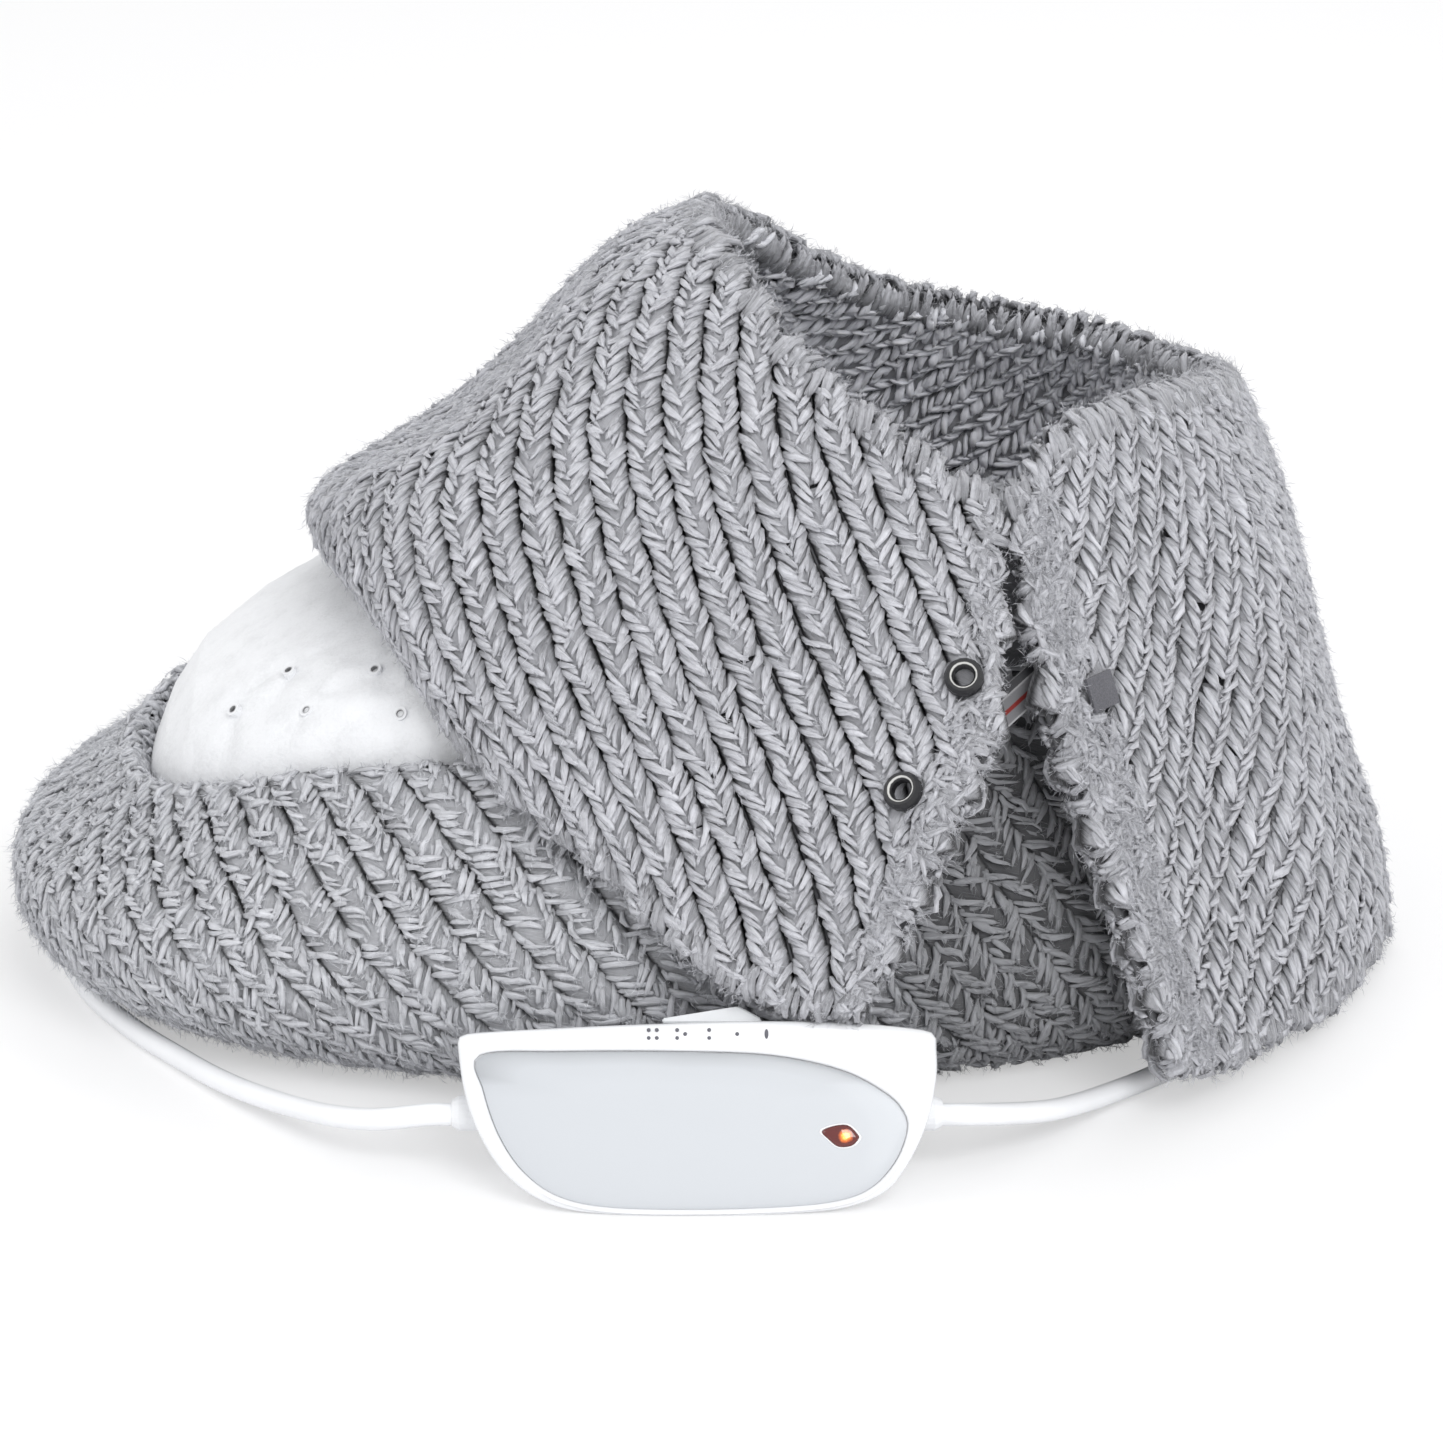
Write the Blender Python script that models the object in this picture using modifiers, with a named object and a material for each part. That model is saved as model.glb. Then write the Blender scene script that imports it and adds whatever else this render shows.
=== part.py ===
"""Electric foot warmer: a knit boot for two feet with a heated sole, and its hand control.

Metres, +Z up, toe at -X, the slit and the hand control on the -Y side. The whole stands at the
bottom centre of the boot and its control together, without the cords.
"""

import math

import bmesh
import bpy
import numpy as np
from mathutils import Matrix, Vector
from mathutils.bvhtree import BVHTree

# Driving dimensions
SEAT_GAP = 0.0003
CUT_OVERRUN = 0.004
MERGE_DISTANCE = 0.00001

# Boot footprint: the centre line of the soft roll round the sole
FOOT_HALF_LENGTH = 0.142
FOOT_HALF_WIDTH = 0.088
FOOT_SQUARENESS = 2.35
FOOT_STEPS = 40
WALL_THICKNESS = 0.011
WALL_TURN_UNDER = 0.018
TOE_ROLL_REACH = 0.040
SIDE_ROLL_REACH = 0.036
HEEL_ROLL_REACH = 0.021
TOE_ROLL_HEIGHT = 0.026
SIDE_ROLL_HEIGHT = 0.034
HEEL_ROLL_HEIGHT = 0.032
TOE_RIM_HEIGHT = 0.056
HEEL_RIM_HEIGHT = 0.104
TOE_RIM_REACH = 0.015

# Heated sole
SOLE_THICKNESS = 0.0025
CARRIER_THICKNESS = 0.0020
CARRIER_INSET = 0.003
WIRE_DIAMETER = 0.0022
WIRE_RUN_PITCH = 0.020
WIRE_HALF_SPAN = 0.052
WIRE_RUNS = 12
CUTOUT_LENGTH = 0.014
CUTOUT_WIDTH = 0.007
CUTOUT_HEIGHT = 0.0022
INSOLE_THICKNESS = 0.010
INSOLE_CROWN = 0.004
INSOLE_REACH_SHARE = 0.42
INSOLE_ROUND = 0.003

# White fleece top of the foot pocket
POCKET_THICKNESS = 0.0065
POCKET_CREST_SHARE = 0.64
POCKET_STEPS_ACROSS = 12
POCKET_ROUNDNESS = 2.4
EYELET_DIAMETER = 0.0036
EYELET_BORE = 0.0018
EYELET_PROUD = 0.0006
EYELET_CLEARANCE = 0.0003

# Ribbed collar
COLLAR_HALF_LENGTH = 0.180
COLLAR_HALF_WIDTH = 0.135
COLLAR_HEIGHT = 0.200
COLLAR_THICKNESS = 0.0090
COLLAR_ROWS = 10
COLLAR_STATION_STEPS = 3
FLAP_STATION_STEPS = 3
FLAP_GAP = 0.0012

# Press studs, patch and label
STUD_DIAMETER = 0.0095
STUD_BORE = 0.0050
STUD_HEIGHT = 0.0030
POST_BALL_DIAMETER = 0.0042
POST_HEIGHT = 0.0036
POST_FLANGE_THICKNESS = 0.0012
STUD_SEAT_CLEARANCE = 0.0005
PATCH_SIDE = 0.0085
PATCH_THICKNESS = 0.0010
LABEL_LENGTH = 0.018
LABEL_WIDTH = 0.0080
LABEL_THICKNESS = 0.0010

# Hand control: x along it, y up its face, z out of its face
CONTROL_LENGTH = 0.113
CONTROL_HEIGHT = 0.0470
CONTROL_FRONT_DEPTH = 0.0075
CONTROL_REAR_DEPTH = 0.0125
CONTROL_LEAN_DEGREES = 60.0
CONTROL_WALL = 0.0020
CONTROL_EDGE_ROUND = 0.0012
CONTROL_OUTLINE_STEPS = 72
CONTROL_FOOT_SINK = 0.0007
CONTROL_MIDDLE_X = -0.0018
CONTROL_AHEAD = 0.0395
PANEL_THICKNESS = 0.0009
PANEL_RECESS = 0.0010
PANEL_CLEARANCE = 0.0002
LENS_LENGTH = 0.0086
LENS_HEIGHT = 0.0052
LENS_PROUD = 0.0005
LED_DIAMETER = 0.0030
KNOB_LENGTH = 0.0235
KNOB_DEPTH = 0.0070
KNOB_HEIGHT = 0.0040
KNOB_FLANK = 0.0011
KNOB_REST_X = 0.0035
KNOB_SETBACK = 0.0115
KNOB_STEP = 0.0068
KNOB_STEP_COUNT = 2
STEM_LENGTH = 0.0050
STEM_DEPTH = 0.0022
SLIDE_CLEARANCE = 0.0004
BOARD_THICKNESS = 0.0016
BOARD_END_CLEARANCE = 0.0055
BOARD_HEIGHT = 0.020
BOARD_MIDDLE_Y = 0.0272
BOSS_DIAMETER = 0.0062
BOSS_HEIGHT = 0.0026
BOARD_SCREW_INSET = 0.005
SCREW_SHANK_DIAMETER = 0.0022
SCREW_HEAD_DIAMETER = 0.0046
SCREW_HEAD_HEIGHT = 0.0014
SCREW_CLEARANCE = 0.0003
SWITCH_LENGTH = 0.036
SWITCH_HEIGHT = 0.0050
SWITCH_DEPTH = 0.0045
CONTACT_LENGTH = 0.0060
CONTACT_HEIGHT = 0.0016
TRIAC_LENGTH = 0.010
TRIAC_HEIGHT = 0.0085
TRIAC_DEPTH = 0.0045
FUSE_DIAMETER = 0.0042
FUSE_LENGTH = 0.012
BLOCK_LENGTH = 0.014
BLOCK_HEIGHT = 0.0070
BLOCK_DEPTH = 0.0060

# Cords and their fittings
CORD_DIAMETER = 0.0055
CORD_POINT_DIAMETERS = 2.4
RELIEF_LENGTH = 0.022
GROMMET_LENGTH = 0.0035
RELIEF_ROOT_DIAMETER = 0.0084
RELIEF_TIP_DIAMETER = 0.0066
RELIEF_FLANGE_DIAMETER = 0.0102
RELIEF_FLANGE_THICKNESS = 0.0024
RELIEF_NECK = 0.0088
RELIEF_CLEARANCE = 0.0003
GLAND_SHARE_ROUND = 0.30
COIL_TURNS = 6
COIL_MIDDLE_RADIUS = 0.0320
COIL_PITCH = 0.0062
COIL_TURN_STEPS = 24
COIL_MIDDLE_X = 0.030
COIL_MIDDLE_Y = 0.2285
TIE_WIDTH = 0.006
TIE_THICKNESS = 0.0012
PLUG_LENGTH = 0.036
PLUG_BACK_WIDTH = 0.016
PLUG_FACE_WIDTH = 0.0340
PLUG_THICKNESS = 0.0137
PLUG_ROUND = 0.0020
PIN_DIAMETER = 0.0040
PIN_LENGTH = 0.0190
PIN_SPACING = 0.0186
PLUG_BACK_X = 0.080

# How the roll, the rim and the fleece change from toe (-1) to heel (1)
RIM_RISE_SHARES = ((-1, 0), (-0.9, 0.12), (-0.68, 0.4), (-0.3, 0.6), (0.1, 0.79), (0.5, 0.96), (1, 1))
RIM_REACH_SHARES = ((-1, 1), (-0.6, 0.9), (0, 0.5), (0.5, 0.27), (1, 0))
CREST_SHARES = (
    (-1.03, 0.4),
    (-0.985, 0.53),
    (-0.93, 0.62),
    (-0.83, 0.7),
    (-0.69, 0.775),
    (-0.5, 0.84),
    (-0.3, 0.905),
    (-0.1, 0.965),
    (0.05, 1),
)
WALL_FLAT_SHARE = 0.2
ROLL_DEGREES = (-65, -40, -15, 15)
EYELET_SHARES = ((-0.84, -0.53), (-0.74, -0.52), (-0.70, -0.71), (-0.58, -0.68), (-0.53, -0.84))

# Collar stations from the front edge of the slit, round the brim, far side and heel, back to the slit.
# Each holds points from hem to mouth, as shares of the collar's half length, half width and height.
# A station of two points is straight: it is the hinge line of a flap.
COLLAR_SHARES = (
    (
        (0.20, -1.15, 0.22), (0.26, -1.11, 0.33), (0.31, -1.06, 0.43),
        (0.37, -0.96, 0.51), (0.39, -0.85, 0.59), (0.39, -0.65, 0.74),
    ),
    (
        (0.11, -1.12, 0.22), (0.15, -1.03, 0.33), (0.19, -0.94, 0.45),
        (0.23, -0.84, 0.56), (0.27, -0.74, 0.67), (0.31, -0.62, 0.78),
    ),
    ((-0.01, -1.05, 0.26), (0.22, -0.59, 0.83)),
    (
        (-0.14, -0.90, 0.33), (-0.13, -0.86, 0.46), (-0.09, -0.80, 0.59),
        (-0.02, -0.72, 0.69), (0.05, -0.62, 0.80), (0.13, -0.52, 0.89),
    ),
    (
        (-0.28, -0.76, 0.40), (-0.31, -0.72, 0.52), (-0.26, -0.64, 0.66),
        (-0.17, -0.56, 0.79), (-0.05, -0.49, 0.90), (0.05, -0.40, 0.97),
    ),
    (
        (-0.40, -0.56, 0.49), (-0.45, -0.50, 0.58), (-0.42, -0.43, 0.70),
        (-0.29, -0.37, 0.81), (-0.14, -0.31, 0.94), (0.00, -0.24, 1.01),
    ),
    (
        (-0.48, -0.03, 0.54), (-0.56, -0.04, 0.56), (-0.54, -0.06, 0.64),
        (-0.34, -0.06, 0.74), (-0.14, -0.04, 0.94), (-0.02, -0.06, 1.00),
    ),
    (
        (-0.455, 0.30, 0.535), (-0.53, 0.31, 0.545), (-0.50, 0.31, 0.60),
        (-0.32, 0.28, 0.73), (-0.13, 0.22, 0.91), (-0.01, 0.16, 0.98),
    ),
    (
        (-0.31, 0.58, 0.475), (-0.38, 0.62, 0.50), (-0.35, 0.61, 0.57),
        (-0.22, 0.55, 0.69), (-0.08, 0.44, 0.84), (0.04, 0.34, 0.93),
    ),
    (
        (-0.18, 0.89, 0.33), (-0.20, 0.89, 0.41), (-0.18, 0.85, 0.50),
        (-0.09, 0.76, 0.62), (0.02, 0.64, 0.76), (0.13, 0.47, 0.87),
    ),
    (
        (0.02, 1.02, 0.16), (0.01, 1.03, 0.28), (0.03, 0.99, 0.41),
        (0.09, 0.89, 0.55), (0.17, 0.76, 0.69), (0.24, 0.61, 0.80),
    ),
    (
        (0.25, 1.01, 0.07), (0.26, 1.02, 0.20), (0.28, 1.00, 0.35),
        (0.31, 0.93, 0.49), (0.36, 0.81, 0.63), (0.40, 0.65, 0.76),
    ),
    (
        (0.49, 0.95, 0.05), (0.51, 0.96, 0.18), (0.52, 0.94, 0.33),
        (0.53, 0.88, 0.47), (0.56, 0.77, 0.61), (0.58, 0.59, 0.74),
    ),
    (
        (0.71, 0.77, 0.04), (0.73, 0.78, 0.17), (0.73, 0.76, 0.32),
        (0.71, 0.71, 0.46), (0.69, 0.61, 0.60), (0.69, 0.44, 0.73),
    ),
    (
        (0.90, 0.44, 0.03), (0.91, 0.44, 0.16), (0.88, 0.43, 0.31),
        (0.84, 0.40, 0.46), (0.80, 0.34, 0.61), (0.75, 0.25, 0.74),
    ),
    (
        (1.01, 0.00, 0.03), (0.99, 0.00, 0.15), (0.93, 0.00, 0.30),
        (0.88, 0.00, 0.46), (0.83, 0.00, 0.62), (0.76, -0.01, 0.77),
    ),
    (
        (0.91, -0.43, 0.03), (0.89, -0.44, 0.16), (0.86, -0.43, 0.32),
        (0.82, -0.40, 0.49), (0.77, -0.36, 0.65), (0.67, -0.34, 0.82),
    ),
    ((0.81, -0.65, 0.05), (0.53, -0.56, 0.82)),
    (
        (0.73, -0.81, 0.06), (0.67, -0.79, 0.21), (0.62, -0.75, 0.36),
        (0.57, -0.71, 0.50), (0.52, -0.67, 0.65), (0.47, -0.62, 0.80),
    ),
    (
        (0.64, -0.93, 0.08), (0.60, -0.92, 0.20), (0.55, -0.89, 0.32),
        (0.50, -0.85, 0.43), (0.45, -0.79, 0.57), (0.41, -0.65, 0.74),
    ),
)
FRONT_HINGE_INDEX = 2
REAR_HINGE_INDEX = 17
SOCKET_SHARES = ((0.30, 0.70), (0.45, 0.43))
POST_SHARES = ((18.35, 0.70), (18.45, 0.43))
PATCH_SHARES = (18.38, 0.663)
LABEL_SHARES = (19.12, 0.775)
LABEL_TILT_DEGREES = 24

# Outline of the control's face and of its inset panel, as shares of its length and height
CONTROL_OUTLINE_SHARES = (
    (-0.5, 0.885), (-0.494, 0.92), (-0.458, 0.94), (-0.281, 0.965), (-0.094, 0.985), (0.135, 1.0),
    (0.323, 0.99), (0.458, 0.96), (0.496, 0.93), (0.5, 0.86), (0.5, 0.71), (0.481, 0.485),
    (0.444, 0.285), (0.396, 0.135), (0.323, 0.055), (0.219, 0.02), (0.01, 0.0), (-0.198, 0.015),
    (-0.3125, 0.07), (-0.396, 0.21), (-0.452, 0.41), (-0.485, 0.635),
)
PANEL_OUTLINE_SHARES = (
    (-0.452, 0.82), (-0.281, 0.84), (-0.031, 0.84), (0.156, 0.82), (0.302, 0.745), (0.396, 0.625),
    (0.432, 0.525), (0.436, 0.435), (0.412, 0.29), (0.365, 0.165), (0.302, 0.1), (0.198, 0.068),
    (0.01, 0.052), (-0.177, 0.062), (-0.285, 0.115), (-0.36, 0.24), (-0.411, 0.42), (-0.444, 0.645),
)
LENS_PLACE_SHARES = (0.298, 0.415)
LENS_OUTLINE_SHARES = ((-0.5, 0.22), (-0.2, 0.46), (0.2, 0.5), (0.46, 0.12), (0.5, -0.1), (0.3, -0.42), (-0.05, -0.46), (-0.3, -0.16))
KNOB_PEAK_SHARE = 0.27

# Route of each lead along the floor, chosen point by point
WARMER_ROUTE = (
    (-0.055, 0.165, 0.0290),
    (-0.038, 0.172, 0.0140),
    (-0.010, 0.166, 0.0040),
    (0.022, 0.148, 0.0030),
    (0.052, 0.124, 0.0030),
    (0.088, 0.103, 0.0030),
    (0.124, 0.080, 0.0030),
    (0.153, 0.045, 0.0030),
    (0.163, 0.000, 0.0030),
    (0.153, -0.045, 0.0030),
    (0.134, -0.076, 0.0030),
    (0.114, -0.098, 0.0032),
    (0.098, -0.115, 0.0045),
    (0.082, -0.135, 0.0092),
)
MAINS_ROUTE = (
    (-0.082, -0.1440, 0.0112),
    (-0.099, -0.1280, 0.0070),
    (-0.117, -0.1080, 0.0040),
    (-0.1305, -0.0905, 0.0030),
    (-0.146, -0.070, 0.0030),
    (-0.160, -0.045, 0.0030),
    (-0.169, -0.014, 0.0030),
    (-0.169, 0.022, 0.0030),
    (-0.157, 0.060, 0.0030),
    (-0.133, 0.100, 0.0030),
    (-0.100, 0.138, 0.0030),
    (-0.055, 0.172, 0.0030),
    (-0.015, 0.186, 0.0034),
)

SEWN_KNIT = ((0.47, 0.48, 0.50, 1), 0.95, 0)
BASE_KNIT = ((0.38, 0.39, 0.41, 1), 0.95, 0)
WHITE_FLEECE = ((0.86, 0.87, 0.88, 1), 0.9, 0)
SOLE_CLOTH = ((0.20, 0.20, 0.21, 1), 0.85, 0)
FOAM = ((0.75, 0.75, 0.72, 1), 0.9, 0)
CARRIER_CLOTH = ((0.80, 0.78, 0.72, 1), 0.9, 0)
WIRE_JACKET = ((0.55, 0.12, 0.10, 1), 0.5, 0)
WHITE_PLASTIC = ((0.87, 0.88, 0.90, 1), 0.3, 0)
PANEL_PLASTIC = ((0.72, 0.75, 0.80, 1), 0.45, 0)
KNOB_PLASTIC = ((0.60, 0.63, 0.67, 1), 0.35, 0)
AMBER_LENS = ((0.60, 0.16, 0.04, 1), 0.1, 0)
BOARD_RESIN = ((0.08, 0.28, 0.14, 1), 0.5, 0)
BLACK_PLASTIC = ((0.04, 0.04, 0.045, 1), 0.45, 0)
DARK_METAL = ((0.10, 0.10, 0.11, 1), 0.35, 1)
PIN_METAL = ((0.72, 0.70, 0.66, 1), 0.25, 1)
GREY_TAPE = ((0.13, 0.13, 0.14, 1), 0.8, 0)
LABEL_CLOTH = ((0.45, 0.45, 0.46, 1), 0.8, 0)


def clear_scene():
    for thing in list(bpy.data.objects):
        bpy.data.objects.remove(thing)
    for name in ("electric_foot_warmer", "cutters"):
        bpy.context.scene.collection.children.link(bpy.data.collections.new(name))


def finish_of(values, name):
    colour, roughness, metallic = values
    found = bpy.data.materials.get(name)
    if found:
        return found
    made = bpy.data.materials.new(name)
    made.use_nodes = True
    shader = made.node_tree.nodes["Principled BSDF"]
    shader.inputs["Base Color"].default_value = colour
    shader.inputs["Roughness"].default_value = roughness
    shader.inputs["Metallic"].default_value = metallic
    return made


def place(name, data, finish, parent, smooth=True):
    """Add one sub-part under its frame, with its own material."""
    thing = bpy.data.objects.new(name, data)
    bpy.data.collections["electric_foot_warmer"].objects.link(thing)
    thing.parent = parent
    data.materials.append(finish_of(finish, name + "_finish"))
    if smooth and thing.type == "MESH":
        data.shade_smooth()
        data.set_sharp_from_angle(angle=math.radians(40))
    return thing


def empty(name, parent=None, location=(0, 0, 0), rotation=(0, 0, 0)):
    made = bpy.data.objects.new(name, None)
    bpy.data.collections["electric_foot_warmer"].objects.link(made)
    made.parent = parent
    made.location = location
    made.rotation_euler = rotation
    return made


def as_cutter(name, mesh, parent):
    made = bpy.data.objects.new(name, mesh)
    bpy.data.collections["cutters"].objects.link(made)
    made.parent = parent
    made.hide_render = True
    made.display_type = "WIRE"
    return made


def boolean(thing, other, operation="DIFFERENCE"):
    step = thing.modifiers.new(operation.title() + "_" + other.name, "BOOLEAN")
    step.operation = operation
    step.object = other
    return step


def solidify(thing, thickness, offset=-1):
    step = thing.modifiers.new("Thickness", "SOLIDIFY")
    step.thickness = thickness
    step.offset = offset
    return step


def mesh_of(name, points, faces):
    mesh = bpy.data.meshes.new(name)
    mesh.from_pydata([tuple(p) for p in points], [], faces)
    mesh.validate()
    return mesh


def outward(mesh):
    """Turn the faces of a closed mesh outwards."""
    work = bmesh.new()
    work.from_mesh(mesh)
    bmesh.ops.recalc_face_normals(work, faces=work.faces)
    work.to_mesh(mesh)
    work.free()
    return mesh


def grid_faces(rows, columns, close_rows=False, close_columns=False):
    """Quads of a grid of rows by columns of points."""
    faces = []
    for i in range(rows if close_rows else rows - 1):
        for j in range(columns if close_columns else columns - 1):
            k, m = (i + 1) % rows, (j + 1) % columns
            faces.append((i * columns + j, k * columns + j, k * columns + m, i * columns + m))
    return faces


def stack_of_rings(name, rings):
    """A closed solid through rings of equal count, capped at both ends."""
    count = len(rings[0])
    points = [p for ring in rings for p in ring]
    faces = grid_faces(len(rings), count, close_columns=True)
    faces.append(tuple(range(count)))
    faces.append(tuple(range((len(rings) - 1) * count, len(rings) * count)))
    return outward(mesh_of(name, points, faces))


def box(name, size, centre=(0, 0, 0)):
    work = bmesh.new()
    bmesh.ops.create_cube(work, size=1)
    bmesh.ops.transform(work, matrix=Matrix.Translation(centre) @ Matrix.Diagonal((*size, 1)), verts=work.verts)
    mesh = bpy.data.meshes.new(name)
    work.to_mesh(mesh)
    work.free()
    return mesh


def cylinder(name, diameter, length, matrix=None, sides=20):
    work = bmesh.new()
    bmesh.ops.create_cone(
        work, cap_ends=True, segments=sides, radius1=diameter / 2, radius2=diameter / 2, depth=length
    )
    bmesh.ops.transform(work, matrix=matrix or Matrix.Identity(4), verts=work.verts)
    mesh = bpy.data.meshes.new(name)
    work.to_mesh(mesh)
    work.free()
    return mesh


def turned(name, profile, finish, parent, closed=False, steps=16):
    """A turned piece about its own Z: the profile of (radius, height) runs down its outer side."""
    edges = [(i, i + 1) for i in range(len(profile) - 1)]
    if closed:
        edges.append((len(profile) - 1, 0))
    mesh = bpy.data.meshes.new(name)
    mesh.from_pydata([(radius, 0, height) for radius, height in profile], edges, [])
    thing = place(name, mesh, finish, parent, smooth=False)
    step = thing.modifiers.new("Turn", "SCREW")
    step.steps = steps
    step.render_steps = steps
    step.use_merge_vertices = True
    step.merge_threshold = MERGE_DISTANCE
    step.use_smooth_shade = False
    return thing


def flat_piece(name, outlines, thickness, finish, parent):
    """A flat outline, with any inner outlines as holes, extruded to its thickness about z = 0."""
    curve = bpy.data.curves.new(name, "CURVE")
    curve.dimensions = "2D"
    curve.fill_mode = "BOTH"
    curve.extrude = thickness / 2
    for outline in outlines:
        spline = curve.splines.new("POLY")
        spline.points.add(len(outline) - 1)
        spline.use_cyclic_u = True
        for point, (x, y) in zip(spline.points, outline, strict=True):
            point.co = (x, y, 0, 1)
    return place(name, curve, finish, parent)


def mesh_from_curve(thing):
    """Replace a curve object by a mesh object with welded caps, so that it can be cut."""
    graph = bpy.context.evaluated_depsgraph_get()
    mesh = bpy.data.meshes.new_from_object(thing.evaluated_get(graph))
    work = bmesh.new()
    work.from_mesh(mesh)
    bmesh.ops.remove_doubles(work, verts=work.verts, dist=MERGE_DISTANCE)
    work.to_mesh(mesh)
    work.free()
    name, parent, local = thing.name, thing.parent, thing.matrix_local.copy()
    bpy.data.objects.remove(thing)
    made = bpy.data.objects.new(name, mesh)
    bpy.data.collections["electric_foot_warmer"].objects.link(made)
    made.parent = parent
    made.matrix_local = local
    return made


def tube(name, points, diameter, finish, parent, resolution=2):
    curve = bpy.data.curves.new(name, "CURVE")
    curve.dimensions = "3D"
    curve.bevel_depth = diameter / 2
    curve.bevel_resolution = resolution
    curve.use_fill_caps = True
    spline = curve.splines.new("POLY")
    spline.points.add(len(points) - 1)
    for point, place_of in zip(spline.points, points, strict=True):
        point.co = (*place_of, 1)
    return place(name, curve, finish, parent)


def smooth_curve(points, steps, closed=False):
    """Points on a Catmull-Rom curve through the given points."""
    given = np.asarray(points, float)
    if closed:
        padded = np.vstack([given[-1:], given, given[:2]])
    else:
        padded = np.vstack([2 * given[0] - given[1], given, 2 * given[-1] - given[-2]])
    made = []
    for i in range(len(padded) - 3):
        a, b, c, d = padded[i : i + 4]
        for t in np.arange(steps) / steps:
            made.append(0.5 * (2 * b + (c - a) * t + (2 * a - 5 * b + 4 * c - d) * t**2 + (3 * b - a - 3 * c + d) * t**3))
    if not closed:
        made.append(given[-1])
    return np.array(made)


def evenly(points, pitch, lowest):
    """Points at an even pitch along a cord's route, its first and last stretch left straight."""
    fine = 16
    line = smooth_curve(points, fine)[fine:-fine]
    line[:, 2] = np.maximum(line[:, 2], lowest)
    run = np.concatenate([[0], np.cumsum(np.linalg.norm(np.diff(line, axis=0), axis=1))])
    at = np.linspace(0, run[-1], max(3, round(run[-1] / pitch)))
    middle = np.stack([np.interp(at, run, line[:, k]) for k in range(3)], axis=1)
    return np.vstack([points[:1], middle, points[-1:]])


def length_of(points):
    return float(np.linalg.norm(np.diff(np.asarray(points), axis=0), axis=1).sum())


def share_at(table, place_share):
    return float(np.interp(place_share, [a for a, _ in table], [b for _, b in table]))


# Boot footprint and wall


def foot_angle(step):
    return 2 * math.pi * step / FOOT_STEPS


def foot_point(angle, reach):
    """A point that far outside the centre line of the roll, and its share along the boot."""
    power = 2 / FOOT_SQUARENESS
    c, s = math.cos(angle), math.sin(angle)
    unit_x = math.copysign(abs(c) ** power, c)
    unit_y = math.copysign(abs(s) ** power, s)
    steep = FOOT_SQUARENESS - 1
    normal = Vector((
        math.copysign(abs(unit_x) ** steep, c) / FOOT_HALF_LENGTH,
        math.copysign(abs(unit_y) ** steep, s) / FOOT_HALF_WIDTH,
    )).normalized()
    return unit_x * FOOT_HALF_LENGTH + normal.x * reach, unit_y * FOOT_HALF_WIDTH + normal.y * reach


def share_along(angle):
    return foot_point(angle, 0)[0] / FOOT_HALF_LENGTH


def roll_size(share):
    stops = (-1, 0, 1)
    reach = np.interp(share, stops, (TOE_ROLL_REACH, SIDE_ROLL_REACH, HEEL_ROLL_REACH))
    height = np.interp(share, stops, (TOE_ROLL_HEIGHT, SIDE_ROLL_HEIGHT, HEEL_ROLL_HEIGHT))
    return float(reach), float(height)


def rim_place(share):
    height = TOE_RIM_HEIGHT + (HEEL_RIM_HEIGHT - TOE_RIM_HEIGHT) * share_at(RIM_RISE_SHARES, share)
    return TOE_RIM_REACH * share_at(RIM_REACH_SHARES, share), height


def wall_section(angle):
    """The wall's closed section there: reach from the centre line and height."""
    share = share_along(angle)
    reach, height = roll_size(share)
    rim_reach, rim_height = rim_place(share)
    thick = WALL_THICKNESS
    outer = [(-WALL_TURN_UNDER, 0), (WALL_FLAT_SHARE * reach, 0)]
    inner = [(-WALL_TURN_UNDER, thick), (WALL_FLAT_SHARE * reach, thick)]
    for degrees in ROLL_DEGREES:
        c, s = math.cos(math.radians(degrees)), math.sin(math.radians(degrees))
        outer.append((reach * c, height * (1 + s)))
        inner.append(((reach - thick) * c, height + (height - thick) * s))
    rim_outer = (rim_reach, rim_height - thick / 2)
    rim_inner = (rim_reach - thick, rim_height - thick / 2)
    outer.append(tuple((a + b) / 2 for a, b in zip(outer[-1], rim_outer)))
    inner.append(tuple((a + b) / 2 for a, b in zip(inner[-1], rim_inner)))
    return outer + [rim_outer, (rim_reach - thick / 2, rim_height), rim_inner] + inner[::-1]


def make_base_wall(parent):
    points = []
    for step in range(FOOT_STEPS):
        angle = foot_angle(step)
        section = wall_section(angle)
        points += [(*foot_point(angle, reach), height) for reach, height in section]
    faces = grid_faces(FOOT_STEPS, len(section), close_rows=True, close_columns=True)
    return place("base_wall", outward(mesh_of("base_wall", points, faces)), BASE_KNIT, parent)


def foot_outline(reach):
    return [foot_point(foot_angle(step), reach) for step in range(FOOT_STEPS)]


def foot_ring(reach, height):
    return [(x, y, height) for x, y in foot_outline(reach)]


def insole_ring(inwards, height):
    """The insole's edge, inside the roll, moved inwards by that much."""
    ring = []
    for step in range(FOOT_STEPS):
        angle = foot_angle(step)
        room = roll_size(share_along(angle))[0] - WALL_THICKNESS
        ring.append((*foot_point(angle, room * INSOLE_REACH_SHARE - inwards), height))
    return ring


# Heated sole


def carrier_bottom():
    return WALL_THICKNESS + SEAT_GAP


def wire_bottom():
    return carrier_bottom() + CARRIER_THICKNESS + SEAT_GAP


def insole_bottom():
    return wire_bottom() + WIRE_DIAMETER + SEAT_GAP


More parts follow.
